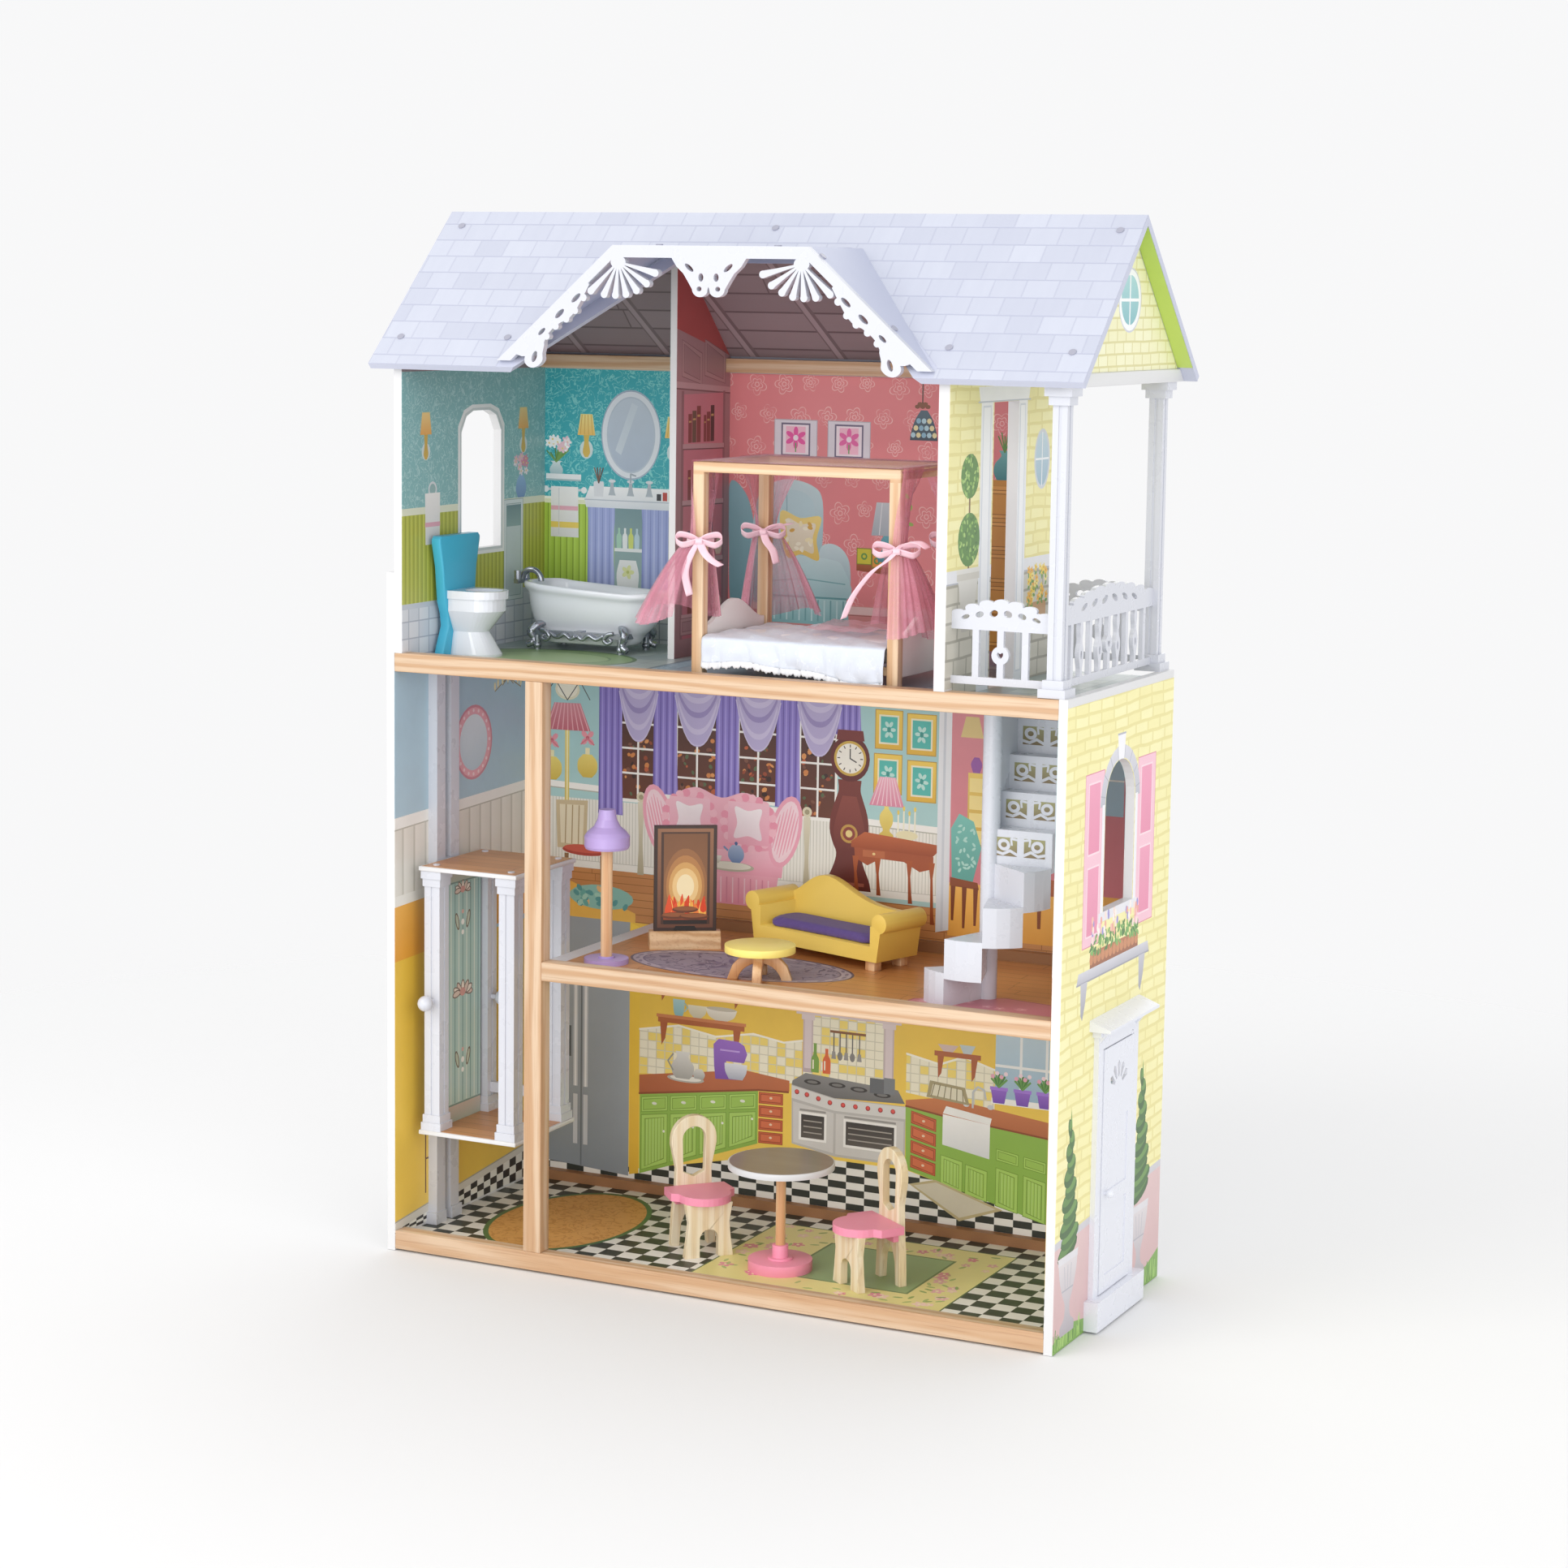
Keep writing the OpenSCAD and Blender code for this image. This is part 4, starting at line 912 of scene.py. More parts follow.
def kitchen_right_counter(p):
    """Right shelf and counter, the sink, and the window with its plants."""
    p.rect(133, 224, 191, 230, "a8552c")
    for x in (141, 183):
        p.poly([(x - 4, 224), (x + 4, 224), (x + 1, 204), (x - 3, 198)], "a4502a")
    p.turned(150, [(6, 230), (13, 238)], "cfb3ae")
    p.turned(174, [(5, 230), (10, 240)], "b9c6cb")
    p.poly([(98, 159), (144, 155), (272, 142), (398, 128), (398, 30), (275, 43), (99, 85)], "83b03f")
    for i in range(4):
        z = 88 + i * 17.5
        p.door([(105, z), (137, z - 7), (137, z + 8), (105, z + 15)], "c4532f", "8a3319", "cf6038", 2.2)
        p.ell(121, z + 4, 2.0, 1.5, "e8c9a8", 8)
    p.poly([(98, 167), (148, 176), (272, 162), (398, 146), (398, 128), (272, 143), (144, 154), (98, 160)],
           ("c46f3f", "a04d29"))
    p.line([(98, 160), (144, 154), (272, 143), (398, 128)], 2.2, "7f3a1c")
    p.poly([(145, 156), (204, 150), (204, 110), (145, 120)], ("fbfbfa", "d9dcdf"))
    p.poly([(149, 166), (206, 158), (204, 150), (145, 157)], "f3f3f1")
    for x0 in (143, 174, 212, 246, 284, 320, 356):
        x1 = x0 + 28
        lift = (x0 - 143) * -0.24
        top = 108 + lift if x0 < 210 else 138 + lift * 0.62
        if x0 >= 210:
            p.door([(x0, top - 4), (x1, top - 8), (x1, top - 22), (x0, top - 18)][::-1], "a3cd58", "68902c",
                   "94c04a", 2.4)
            top -= 26
        p.door([(x0, 72 + lift * 0.95), (x1, 66 + lift * 0.95), (x1, top - 5), (x0, top)], "a3cd58",
               "68902c", "M:green_x", 4.2)
    p.line([(182, 168), (182, 186), (188, 193), (196, 190), (198, 180)], 2.4, "b9bdc2")
    for x in (174, 204):
        p.ell(x, 171, 4, 3, "c9cdd2", 10)
    p.poly([(124, 174), (178, 170), (172, 190), (128, 194)], "9c8f68")
    p.poly([(129, 177), (173, 173), (168, 187), (132, 190)], "ddd6bb")
    for i in range(6):
        p.line([(130 + i * 8, 176 - i * 0.6), (134 + i * 7, 191 - i * 0.8)], 1.2, "7d7352")
    p.sashes(209, 180, 398, 262, 6, 2, ("bcd3e3", "8fb3cf"), "eef1f2", 3.2)
    p.rect(205, 176, 398, 183, "f6f6f3")
    p.rect(203, 258, 398, 268, "f0efe8")
    for x in (214, 243, 271, 302, 334):
        p.turned(x, [(7, 177), (10, 193)], ("8a58c9", "6a3fae"))
        p.rect(x - 11, 192, x + 11, 196, "9b6ddb")
        for k in range(7):
            a = -0.9 + k * 0.3
            p.line([(x, 196), (x + 12 * math.sin(a), 196 + 15 * math.cos(a))], 2.6,
                   ("5d9440", "3f7430")[k % 2])
        for k in range(4):
            p.ell(x - 8 + k * 5.4, 208 + (k % 2) * 4, 2.6, 2.6, ("e8a0b8", "f4d8e2")[k % 2], 8)


def kitchen_mat(p):
    """Mat on the drawn floor."""
    p.poly([(104, 68), (137, 77), (222, 52), (168, 32)], "b9a878")
    p.poly([(110, 67), (138, 74), (213, 52), (168, 36)], "cfc6ae")


def kitchen_back():
    """Kitchen wall of the back board: yellow paint over a fridge, counters, a stove and a window."""
    p = Panel("kitchen_print_back", "kitchen_print", (0, BACK, 0), X, Z,
              [(-398, 26.2), (398, 26.2), (398, 335.8), (-229, 335.8), (-229, 341), (-398, 341)],
              ("e9b93a", "f3cc4c"))
    for draw in (kitchen_floor, kitchen_hood, kitchen_left_counter, kitchen_left_shelf, kitchen_mixer,
                 kitchen_stove, kitchen_right_counter, kitchen_mat):
        draw(p)
    p.build()


def living_floor(p):
    """Drawn floor and skirting."""
    p.poly([(-398, 341), (-229, 341), (-229, 358), (398, 358), (398, 402), (130, 396), (-398, 404)],
           "M:planks_x")
    p.poly([(-398, 341), (-260, 341), (-260, 352), (-398, 402)], ("f0a93c", "e9b048"))
    p.rect(-398, 402, 131, 411, "eceae0")
    p.line([(-398, 411), (131, 411)], 1.4, "bdbbae")


def living_wainscot(p):
    """Ribbed boards under a rail."""
    p.rect(-398, 411, 131, 486, "M:ivory_x")
    p.poly([(-398, 498), (131, 482), (131, 490), (-398, 506)], "f6f5ee")
    p.line([(-398, 498), (131, 482)], 1.3, "a9a898")


def living_windows(p):
    """Four night windows, curtains between them, swags over."""
    for x0, x1, z0, z1 in ((-280, -236, 491, 600), (-205, -153, 501, 600), (-123, -74, 502, 600),
                           (-43, 1, 489, 600)):
        p.rect(x0 - 3, z0 - 4, x1 + 3, z1, "f4f2ea")
        p.rect(x0, z0, x1, z1, ("3a211b", "5a2c1c"))
        rnd = random.Random(int(x0))
        for _ in range(34):
            x, z = rnd.uniform(x0 + 3, x1 - 3), rnd.uniform(z0 + 3, z1 - 30)
            p.ell(x, z, rnd.uniform(1.5, 4.2), rnd.uniform(1.2, 3.4),
                  rnd.choice(["b4502c", "8a3a22", "c9763a", "2c1814", "d98b4a", "6d4030", "4a5a3a"]), 7,
                  rnd.uniform(0, 90))
        m = (x0 + x1) / 2
        p.rect(m - 1.3, z0, m + 1.3, z1, "f2f0ea")
        for z in (522, 552, 582):
            p.rect(x0, z - 1.2, x1, z + 1.2, "f2f0ea")
    for x0, x1, z0 in ((-312, -278, 470), (-238, -204, 500), (-155, -122, 496), (-76, -43, 497),
                       (1, 34, 588)):
        p.drape(x0, x1, z0, CEILING_2, 4, "9a8dd8", "7d6dc2", "5c4ea0", 0.12)
    for x0, x1 in ((-284, -232), (-209, -149), (-128, -70), (-48, 8)):
        p.swag(x0, x1, 560, 655, "c6bde0", "b0a5d2", "8f82ba")


def living_left_corner(p):
    """Standard lamp, vases, chair, round table and flowers."""
    p.rect(-358, 432, -352, 570, ("e9d36e", "c9aa3e"))
    p.rect(-355.6, 432, -354, 570, "f8eeb4")
    p.poly([(-386, 567), (-323, 568), (-337, 601), (-373, 600)], ("d5808a", "c05a68"))
    for i in range(9):
        p.line([(-383 + i * 7.2, 568), (-371 + i * 4.1, 600)], 1.3, "e9aab0")
    p.rings(-355, 617, 18, (17, 13, "e8e2c0"), (14, 10, "f7f3dc"))
    p.line([(-388, 604), (-372, 628), (-355, 604), (-338, 628), (-324, 606)], 1.2, "4a4a48")
    for x, z in ((-376, 520), (-327, 526)):
        p.turned(x, [(6, z - 14), (13, z - 6), (13, z + 6), (6, z + 14)], ("f0d768", "cfae3c"))
        p.turned(x, [(3, z + 14), (3, z + 22)], "f2e6b0")
        p.flower(x, z + 34, 10, "e88f9a", "c65a68", 4, 0.8)
        p.line([(x - 9, z + 26), (x, z + 33), (x + 9, z + 26)], 2.0, "d66f7c")
    p.poly([(-370, 482), (-326, 484), (-328, 424), (-368, 424)], "c9b48a")
    p.poly([(-365, 477), (-331, 478), (-333, 430), (-363, 430)], "e6d9b8")
    for x in (-357, -348, -339):
        p.line([(x, 430), (x + 1, 477)], 1.6, "a98f60")
    p.ell(-330, 423, 31, 6.5, "a8392f", 20)
    p.ell(-330, 425, 29, 5, "c9503f", 20)
    for x in (-355, -306):
        p.poly([(x - 3, 418), (x + 3, 418), (x + 1, 368), (x - 2, 368)], "8a6440")
    rnd = random.Random(4)
    p.ell(-307, 368, 44, 15, "7fb8ac", 20)
    for _ in range(26):
        p.ell(-307 + rnd.uniform(-36, 36), 368 + rnd.uniform(-10, 10), 5, 3.2,
              rnd.choice(["5aa39a", "9acbb8", "4a8f8f", "e0b070"]), 7,
              rnd.uniform(0, 180))
    for x0, x1 in ((-258, -249), (-39, -29)):
        p.turned((x0 + x1) / 2, [(4.4, 400), (4, 410), (2.6, 440), (3.8, 470), (4.4, 488)],
                 ("dad2b6", "a99f80"))
        p.ell((x0 + x1) / 2, 494, 6.2, 6.2, "d8cfae", 14)
        p.ell((x0 + x1) / 2, 494, 3.2, 3.2, "9d9270", 12)


def living_sofa(p):
    """Pink sofa with frilled pillows and a tea tray."""
    p.poly([(-212, 376), (-76, 376), (-70, 416), (-215, 416)], ("f3a6b8", "e688a0"))
    for i in range(17):
        p.line([(-208 + i * 7.8, 378), (-208 + i * 7.8, 408)], 1.6, ("f8c9d4", "da7c95")[i % 2])
    p.poly([(-224, 413), (-66, 413), (-62, 446), (-228, 448)], ("f7bccb", "ee9ab0"))
    p.blob([(-216, 446), (-70, 446), (-74, 488), (-112, 510), (-146, 502), (-182, 512), (-216, 492)],
           ("f4b3c3", "ee98ae"))
    for cx, turn in ((-229, 14), (-62, -14)):
        p.ell(cx, 468, 20, 44, "ef9fb4", 22, turn)
        p.ell(cx, 468, 15.5, 38, "f9d5dd", 22, turn)
        for k in range(-3, 4):
            p.ell(cx + k * 3.9, 468, 1.1, 34 - abs(k) * 4, "ee9db2", 10, turn)
    for cx, cz, r in ((-188, 474, 34), (-110, 474, 34)):
        for k in range(22):
            a = 2 * math.pi * k / 22
            p.ell(cx + r * 0.96 * math.cos(a), cz + r * 0.9 * math.sin(a), 5.4, 5.0,
                  ("ee8fa8", "f7b7c6")[k % 2], 9)
        p.rect(cx - 27, cz - 25, cx + 27, cz + 25, ("f6bccb", "efa0b5"))
        p.blob([(cx - 19, cz - 18), (cx, cz - 15), (cx + 17, cz - 19), (cx + 14, cz), (cx + 17, cz + 18),
                (cx - 1, cz + 15), (cx - 18, cz + 19), (cx - 15, cz)], ("fdf3f6", "f3dbe3"))
    p.ell(-134, 421, 32, 6, "b8b29a", 20)
    p.ell(-134, 422, 28, 4.6, "e6e2d0", 20)
    p.turned(-126, [(5, 426), (10, 432), (10, 440), (5, 447)], ("9fb6d8", "5f7cae"))
    p.ell(-126, 449, 2.2, 2.4, "3f5c94", 8)
    p.line([(-137, 440), (-142, 444)], 2.4, "6f8cba")
    p.turned(-153, [(4, 424), (7, 428), (8, 433)], ("f0ece2", "c2bca8"))


def living_clock(p):
    """Long-case clock, with ticks for its numbers."""
    p.turned(20, [(29, 407), (28, 412), (26, 420), (19, 436), (16, 450), (21, 462), (25, 478), (23, 496),
                  (17, 514), (14, 524), (15, 536)],
             ("6d2a22", "4f1715"))
    p.turned(20, [(14, 456), (19, 468), (19, 482), (13, 504), (9, 517)], ("7f362c", "5f221d"))
    p.ell(20, 561, 25, 27, "551c1a", 26)
    p.poly([(2, 582), (38, 582), (36, 594), (4, 594)], "6a2723")
    p.rings(20, 561, 28, (20.5, 20.5, "c9a13e"), (17.5, 17.5, "f4f0e2"))
    for i in range(12):
        a = math.pi * i / 6
        p.line([(20 + 13 * math.cos(a), 561 + 13 * math.sin(a)),
                (20 + 16 * math.cos(a), 561 + 16 * math.sin(a))], 1.2, "3a3230")
    p.line([(20, 561), (20, 572)], 1.5, "2a2422")
    p.line([(20, 561), (28, 557)], 1.5, "2a2422")
    p.ell(20, 473, 11, 11, "b98a3a", 20)
    p.ell(20, 473, 8, 8, "7f2f26", 18)
    p.ell(20, 473, 4.4, 4.4, "e3c87a", 14)
    p.rect(0, 412, 40, 416, "8c4436")


def living_pictures(p):
    """Four framed prints."""
    for x0, x1, z0, z1, k in ((51, 86, 575, 621, 0), (91, 128, 571, 619, 1), (50, 86, 523, 570, 2),
                              (92, 129, 517, 565, 3)):
        p.rect(x0, z0, x1, z1, "b98a2a")
        p.rect(x0 + 1, z0 + 1, x1 - 1, z1 - 1, ("f5cc4c", "e3ae30"))
        p.rect(x0 + 5, z0 + 6, x1 - 5, z1 - 6, "f1e9c8")
        p.rect(x0 + 7, z0 + 8, x1 - 7, z1 - 8, "46b5a8")
        cx, cz = (x0 + x1) / 2, (z0 + z1) / 2
        for j in range(6):
            a = j * 1.05 + k
            p.ell(cx + 5 * math.cos(a), cz + 7 * math.sin(a), 3.6, 2.2, "b9e4d8", 9, math.degrees(a))
        p.ell(cx, cz, 2.4, 3, "2f8a80", 9)


def living_console(p):
    """Console table with a lamp and candlesticks."""
    p.poly([(45, 509), (89, 509), (78, 543), (58, 543)], ("f0a9bc", "dd7f9a"))
    for i in range(7):
        p.line([(49 + i * 6, 510), (60 + i * 2.6, 542)], 1.1, "f9cfda")
    p.turned(67, [(9, 472), (9, 476), (4, 481), (8, 489), (8, 499), (3, 506), (3, 509)],
             ("f3dc6c", "cfae42"))
    for i, x in enumerate((82, 89, 96, 103)):
        p.rect(x - 1, 478, x + 1, 500 + (i % 2) * 5, "f4f0d2")
        p.ell(x, 503 + (i % 2) * 5, 1.6, 3, "f2d04c", 8)
    p.ell(93, 477, 14, 5.5, "e9dfae", 16)
    p.poly([(23, 465), (40, 477), (133, 469), (133, 462), (126, 455), (23, 458)], ("b9562c", "8f3a1a"))
    p.poly([(27, 458), (127, 455), (127, 441), (110, 436), (90, 446), (60, 447), (44, 438), (28, 446)],
           "9c4422")
    p.rect(38, 448, 66, 456, "b25a32")
    p.ell(52, 452, 2, 1.6, "e3c27a", 8)
    for x, foot in ((29, 408), (57, 404), (97, 398), (125, 376)):
        p.poly([(x - 4, 448), (x + 4, 448), (x + 1.5, 430), (x + 3, foot + 12), (x + 4.5, foot),
                (x - 1, foot), (x - 1.5, 428)],
               ("a4481f", "843515"))


def living_doorway(p):
    """The next room, drawn beyond a white jamb."""
    p.poly([(146, 366), (398, 366), (398, CEILING_2), (146, CEILING_2)], ("d9848c", "cf6d78"))
    p.poly([(146, 366), (398, 366), (398, 428), (146, 428)], ("f0b04a", "e39a38"))
    p.poly([(131, 368), (147, 372), (147, CEILING_2), (131, CEILING_2)], ("eef1f4", "d9dee4"))
    p.rect(137, 371, 140, CEILING_2, "c9d0d8")
    p.poly([(168, 470), (188, 470), (188, 556), (168, 556)], ("ecc95a", "c99a34"))
    for i in range(4):
        p.rect(170, 474 + i * 20, 186, 490 + i * 20, "f4dc86")
    p.turned(178, [(4, 556), (7, 566), (3, 574)], "8a4a9a")
    p.poly([(158, 596), (186, 596), (180, 620), (164, 620)], "d9c07a")
    p.poly([(150, 434), (176, 430), (186, 470), (176, 500), (158, 508), (148, 490)], ("6fc0b2", "4f9d92"))
    rnd = random.Random(8)
    for _ in range(26):
        p.ell(rnd.uniform(154, 178), rnd.uniform(442, 496), 3, 1.5, "a9dccf", 7, rnd.uniform(0, 180))
    p.poly([(148, 434), (182, 430), (184, 422), (148, 424)], "7f3a1c")
    for x, f in ((152, 384), (166, 376), (180, 380)):
        p.poly([(x - 3, 424), (x + 3, 424), (x + 1, f), (x - 2, f)], "6d2f16")
    for x0 in (210, 296):
        p.sashes(x0, 520, x0 + 60, 640, 2, 3, ("bfd6e2", "9dbfd2"), "f2f0ea")
        p.drape(x0 - 16, x0, 470, 662, 3, "f3e0a0", "e6c96a", "c9a63e", 0.2)
    p.ell(258, 432, 46, 10, "a8542c", 24)
    for x in (226, 258, 290):
        p.poly([(x - 3, 428), (x + 3, 428), (x + 2, 384), (x - 2, 384)], "7a3818")
    p.turned(258, [(8, 441), (13, 452), (5, 466)], ("9fcbd0", "5fa0a8"))
    for i in range(7):
        p.flower(240 + i * 6, 480 + (i % 3) * 9, 7, ("e9799a", "f2c94c", "f7e0e8")[i % 3], "f6ecb0")


def living_back():
    """Living-room wall of the back board, with furniture and windows drawn on it."""
    p = Panel("living_print_back", "living_print", (0, BACK, 0), X, Z,
              [(-398, 341), (-229, 341), (-229, 358.2), (398, 358.2), (398, CEILING_2), (-398, CEILING_2)],
              ("9ccaca", "a9d0cd"))
    for draw in (living_floor, living_wainscot, living_windows, living_left_corner, living_sofa,
                 living_clock, living_pictures, living_console, living_doorway):
        draw(p)
    p.build()


BATH_RIGHT = -149.2


def bath_shelf(p):
    """Shelf with a vase of flowers."""
    p.rect(-386, 868, -338, 875, "f3f5f7")
    p.rect(-386, 867, -338, 869, "a9bfc4")
    p.turned(-372, [(8, 875), (9, 881), (5, 887), (8, 890)], ("dfeef0", "a6c6cc"))
    rnd = random.Random(2)
    for _ in range(16):
        p.line([(-372, 889), (-372 + rnd.uniform(-16, 17), 889 + rnd.uniform(8, 22))], 1.6,
               rnd.choice(["4f7d35", "6d9a45"]))
    for _ in range(13):
        p.flower(-371 + rnd.uniform(-16, 16), 904 + rnd.uniform(-10, 13), 5.4,
                 rnd.choice(["f7e9ee", "f2c6d2", "ffffff"]), "f0d37a")


def bath_towel(p):
    """Rail and towel."""
    p.rect(-386, 855, -334, 858, "c9d6dc")
    p.ell(-386, 856.5, 4, 4, "eef2f4", 10)
    p.ell(-334, 856.5, 4, 4, "eef2f4", 10)
    p.poly([(-379, 860), (-342, 860), (-341, 800), (-379, 800)], ("f4f3f2", "dfe0e3"))
    p.rect(-379, 832, -342, 837, "e7a6ba")
    p.rect(-379, 811, -341, 818, "efd05a")
    p.line([(-368, 803), (-368, 858)], 1.0, "d2d4d8")


def bath_mirror(p):
    """Two lights and an oval mirror."""
    for x in (-331, -214):
        p.ell(x, 905, 9, 11, "cfe3e4", 14)
        p.turned(x, [(2, 896), (5, 902), (3, 914), (4, 922)], "d9b24a")
        p.poly([(x - 12, 922), (x + 12, 922), (x + 8, 947), (x - 8, 947)], ("f8e58a", "f0bb5a"))
        for k in (-6, -2, 2, 6):
            p.line([(x + k * 1.4, 923), (x + k, 946)], 1.0, "d9a544")
    p.rings(-271, 924, 40, (40, 53, "9fb0c6"), (38.6, 51, "e3e9f2"), (32.5, 45, "b9c6d6"),
            (31, 43, ("c3d0df", "aab9cf")))
    p.poly([(-292, 905), (-284, 900), (-262, 958), (-270, 962)], "cbd7e4")


def bath_basin(p):
    """Basin on a skirted stand, its taps and bottles."""
    p.drape(-329, -291, 741, 838, 4, "aab5e6", "93a0da", "7c88c6", 0.1)
    p.rect(-292, 741, -255, 838, ("6a8a92", "8ea9a8"))
    p.rect(-292, 786, -255, 790, "dfe4e6")
    for i, ink in enumerate(("9ac6b0", "e3e8ea", "c9d46a", "b0ccd8")):
        p.turned(-286 + i * 8, [(3, 790), (3.4, 804), (1.4, 808), (1.4, 814)], ink)
    p.turned(-274, [(14, 744), (15, 760), (11, 776)], "e6e9ea")
    p.flower(-274, 762, 8, "d9df9a", "b9c26a")
    p.drape(-256, -214, 741, 838, 4, "aab5e6", "93a0da", "7c88c6", 0.1)
    p.rect(-214, 741, BATH_RIGHT, 841, "M:bead")
    p.poly([(-331, 837), (-212, 837), (-210, 846), (-216, 862), (-326, 862), (-333, 846)],
           ("f7f8fa", "d9dfe9"))
    p.line([(-333, 846), (-210, 846)], 1.2, "b3bccb")
    for x in (-296, -271, -246):
        p.turned(x, [(5, 852), (3, 858), (2, 868)], "aab4bf")
        p.ell(x, 869, 5, 2, "d9dfe5", 10)
    p.line([(-271, 868), (-271, 878), (-264, 876)], 2.0, "9aa5b2")
    p.turned(-314, [(6, 850), (7, 864), (6, 868)], "dcdfe6")
    for k in range(4):
        p.line([(-314, 866), (-320 + k * 4, 884)], 1.7, ("7a5a48", "4a3a36")[k % 2])
    for i, ink in enumerate(("2f2f33", "b43b32", "e3c04c")):
        p.rect(-236 + i * 8, 848, -230 + i * 8, 856 + i * 2, ink)


def bath_back():
    """Bathroom wall of the back board."""
    p = Panel("bath_print_back", "upper_print", (0, BACK, 0), X, Z,
              [(-387.8, 679.2), (BATH_RIGHT, 679.2), (BATH_RIGHT, 1000), (-387.8, 1000)], "M:teal")
    p.rect(-388, 740, BATH_RIGHT, 841, "M:bead")
    p.rect(-388, 679, BATH_RIGHT, 740, "M:tile_x")
    p.rect(-388, 736, BATH_RIGHT, 742, "c9d0dc")
    p.rect(-388, 840, BATH_RIGHT, 848, "e3e8c4")
    p.rect(-388, 845, BATH_RIGHT, 848, "f4f6e6")
    for draw in (bath_shelf, bath_towel, bath_mirror, bath_basin):
        draw(p)
    p.build()


def bedroom_pictures(p):
    """Two flower pictures."""
    for a, b, ink in ((-83, -28, "e8479a"), (-15, 39, "e75aa0")):
        p.rect(a, 903, b, 949, "b3aeb8")
        p.rect(a + 1, 904, b - 1, 948, "ddd9e2")
        p.rect(a + 9, 907, b - 9, 945, "5f5672")
        p.rect(a + 11, 909, b - 11, 943, "f4e6ee")
        p.rect(a + 15, 911, b - 15, 941, "f7b9cf")
        m = (a + b) / 2
        for k in range(6):
            ang = 0.5 + k * 1.05
            p.ell(m + 8 * math.cos(ang), 928 + 7 * math.sin(ang), 6, 3, ink, 10, math.degrees(ang))
        p.ell(m, 928, 3.4, 3.4, "fbe9f2", 10)
        p.line([(m, 922), (m, 912)], 1.6, "5f9a52")


def bedroom_hanging_lamp(p):
    """Hanging lamp with a leaded shade."""
    p.line([(103, 1000), (103, 968)], 1.6, "4a3a30")
    for k in range(5):
        p.ell(103 + (k - 2) * 3.2, 968 + (k % 2) * 3, 3.4, 2.4, "7a4a32", 8)
    p.turned(105, [(17, 930), (16, 938), (11, 953), (4, 964)], ("46606e", "2f3f4c"))
    for r in range(3):
        for k in range(5 - r):
            p.ell(105 + (k - (4 - r) / 2) * 6.6, 936 + r * 8, 3.0, 3.2,
                  ("a8d0dc", "e6dca0", "7fb0c8")[(k + r) % 3], 8)


def bedroom_chair(p, rnd):
    """Wing chair and its cushion."""
    chair, shade, deep = "a3cdd6", "7fb0bb", "5a929e"
    p.blob([(-136, 728), (-114, 722), (-104, 780), (-110, 838), (-122, 866), (-140, 872), (-140, 800)],
           (shade, deep))
    p.blob([(-106, 770), (-106, 846), (-92, 870), (-66, 880), (-34, 874), (-20, 856), (-20, 800),
            (-24, 770)], ("c3dfe4", shade))
    p.blob([(-96, 772), (-96, 842), (-82, 862), (-56, 868), (-36, 860), (-30, 840), (-34, 772)],
           ("b4d6dd", chair))
    p.line([(-64, 778), (-66, 866)], 1.4, "86b2bc")
    p.blob([(-116, 742), (-108, 796), (-96, 808), (-80, 800), (-78, 742)], (chair, shade))
    p.blob([(-24, 744), (-24, 796), (-12, 808), (6, 802), (16, 782), (12, 744)], ("c3dfe4", shade))
    p.blob([(-86, 742), (-84, 782), (-60, 792), (-10, 790), (8, 780), (12, 744)], ("bfe0e4", "8fc2c8"))
    p.line([(-84, 762), (-40, 766), (10, 762)], 1.4, "6ba8ae")
    p.poly([(-86, 714), (-85, 745), (12, 745), (16, 714)], ("9fd0d2", "72b0b4"))
    p.line([(-85, 745), (12, 745)], 2.2, "4f9298")
    for i in range(12):
        p.line([(-80 + i * 8, 718), (-80 + i * 8, 742)], 1.8, ("b9dfe0", "5a989e")[i % 2])
    p.blob([(-74, 842), (-66, 792), (-46, 794), (-24, 788), (-27, 812), (-22, 838), (-48, 836)],
           ("f6df7c", "e6c04e"))
    p.blob([(-66, 834), (-60, 799), (-46, 800), (-31, 796), (-32, 814), (-29, 830), (-48, 829)],
           ("f3ead0", "e3d9b4"))
    for _ in range(16):
        p.ell(rnd.uniform(-66, -28), rnd.uniform(796, 836), 3.6, 2.2,
              rnd.choice(["f9eeb8", "d9a63c", "fbf6d9"]), 8, rnd.uniform(0, 180))


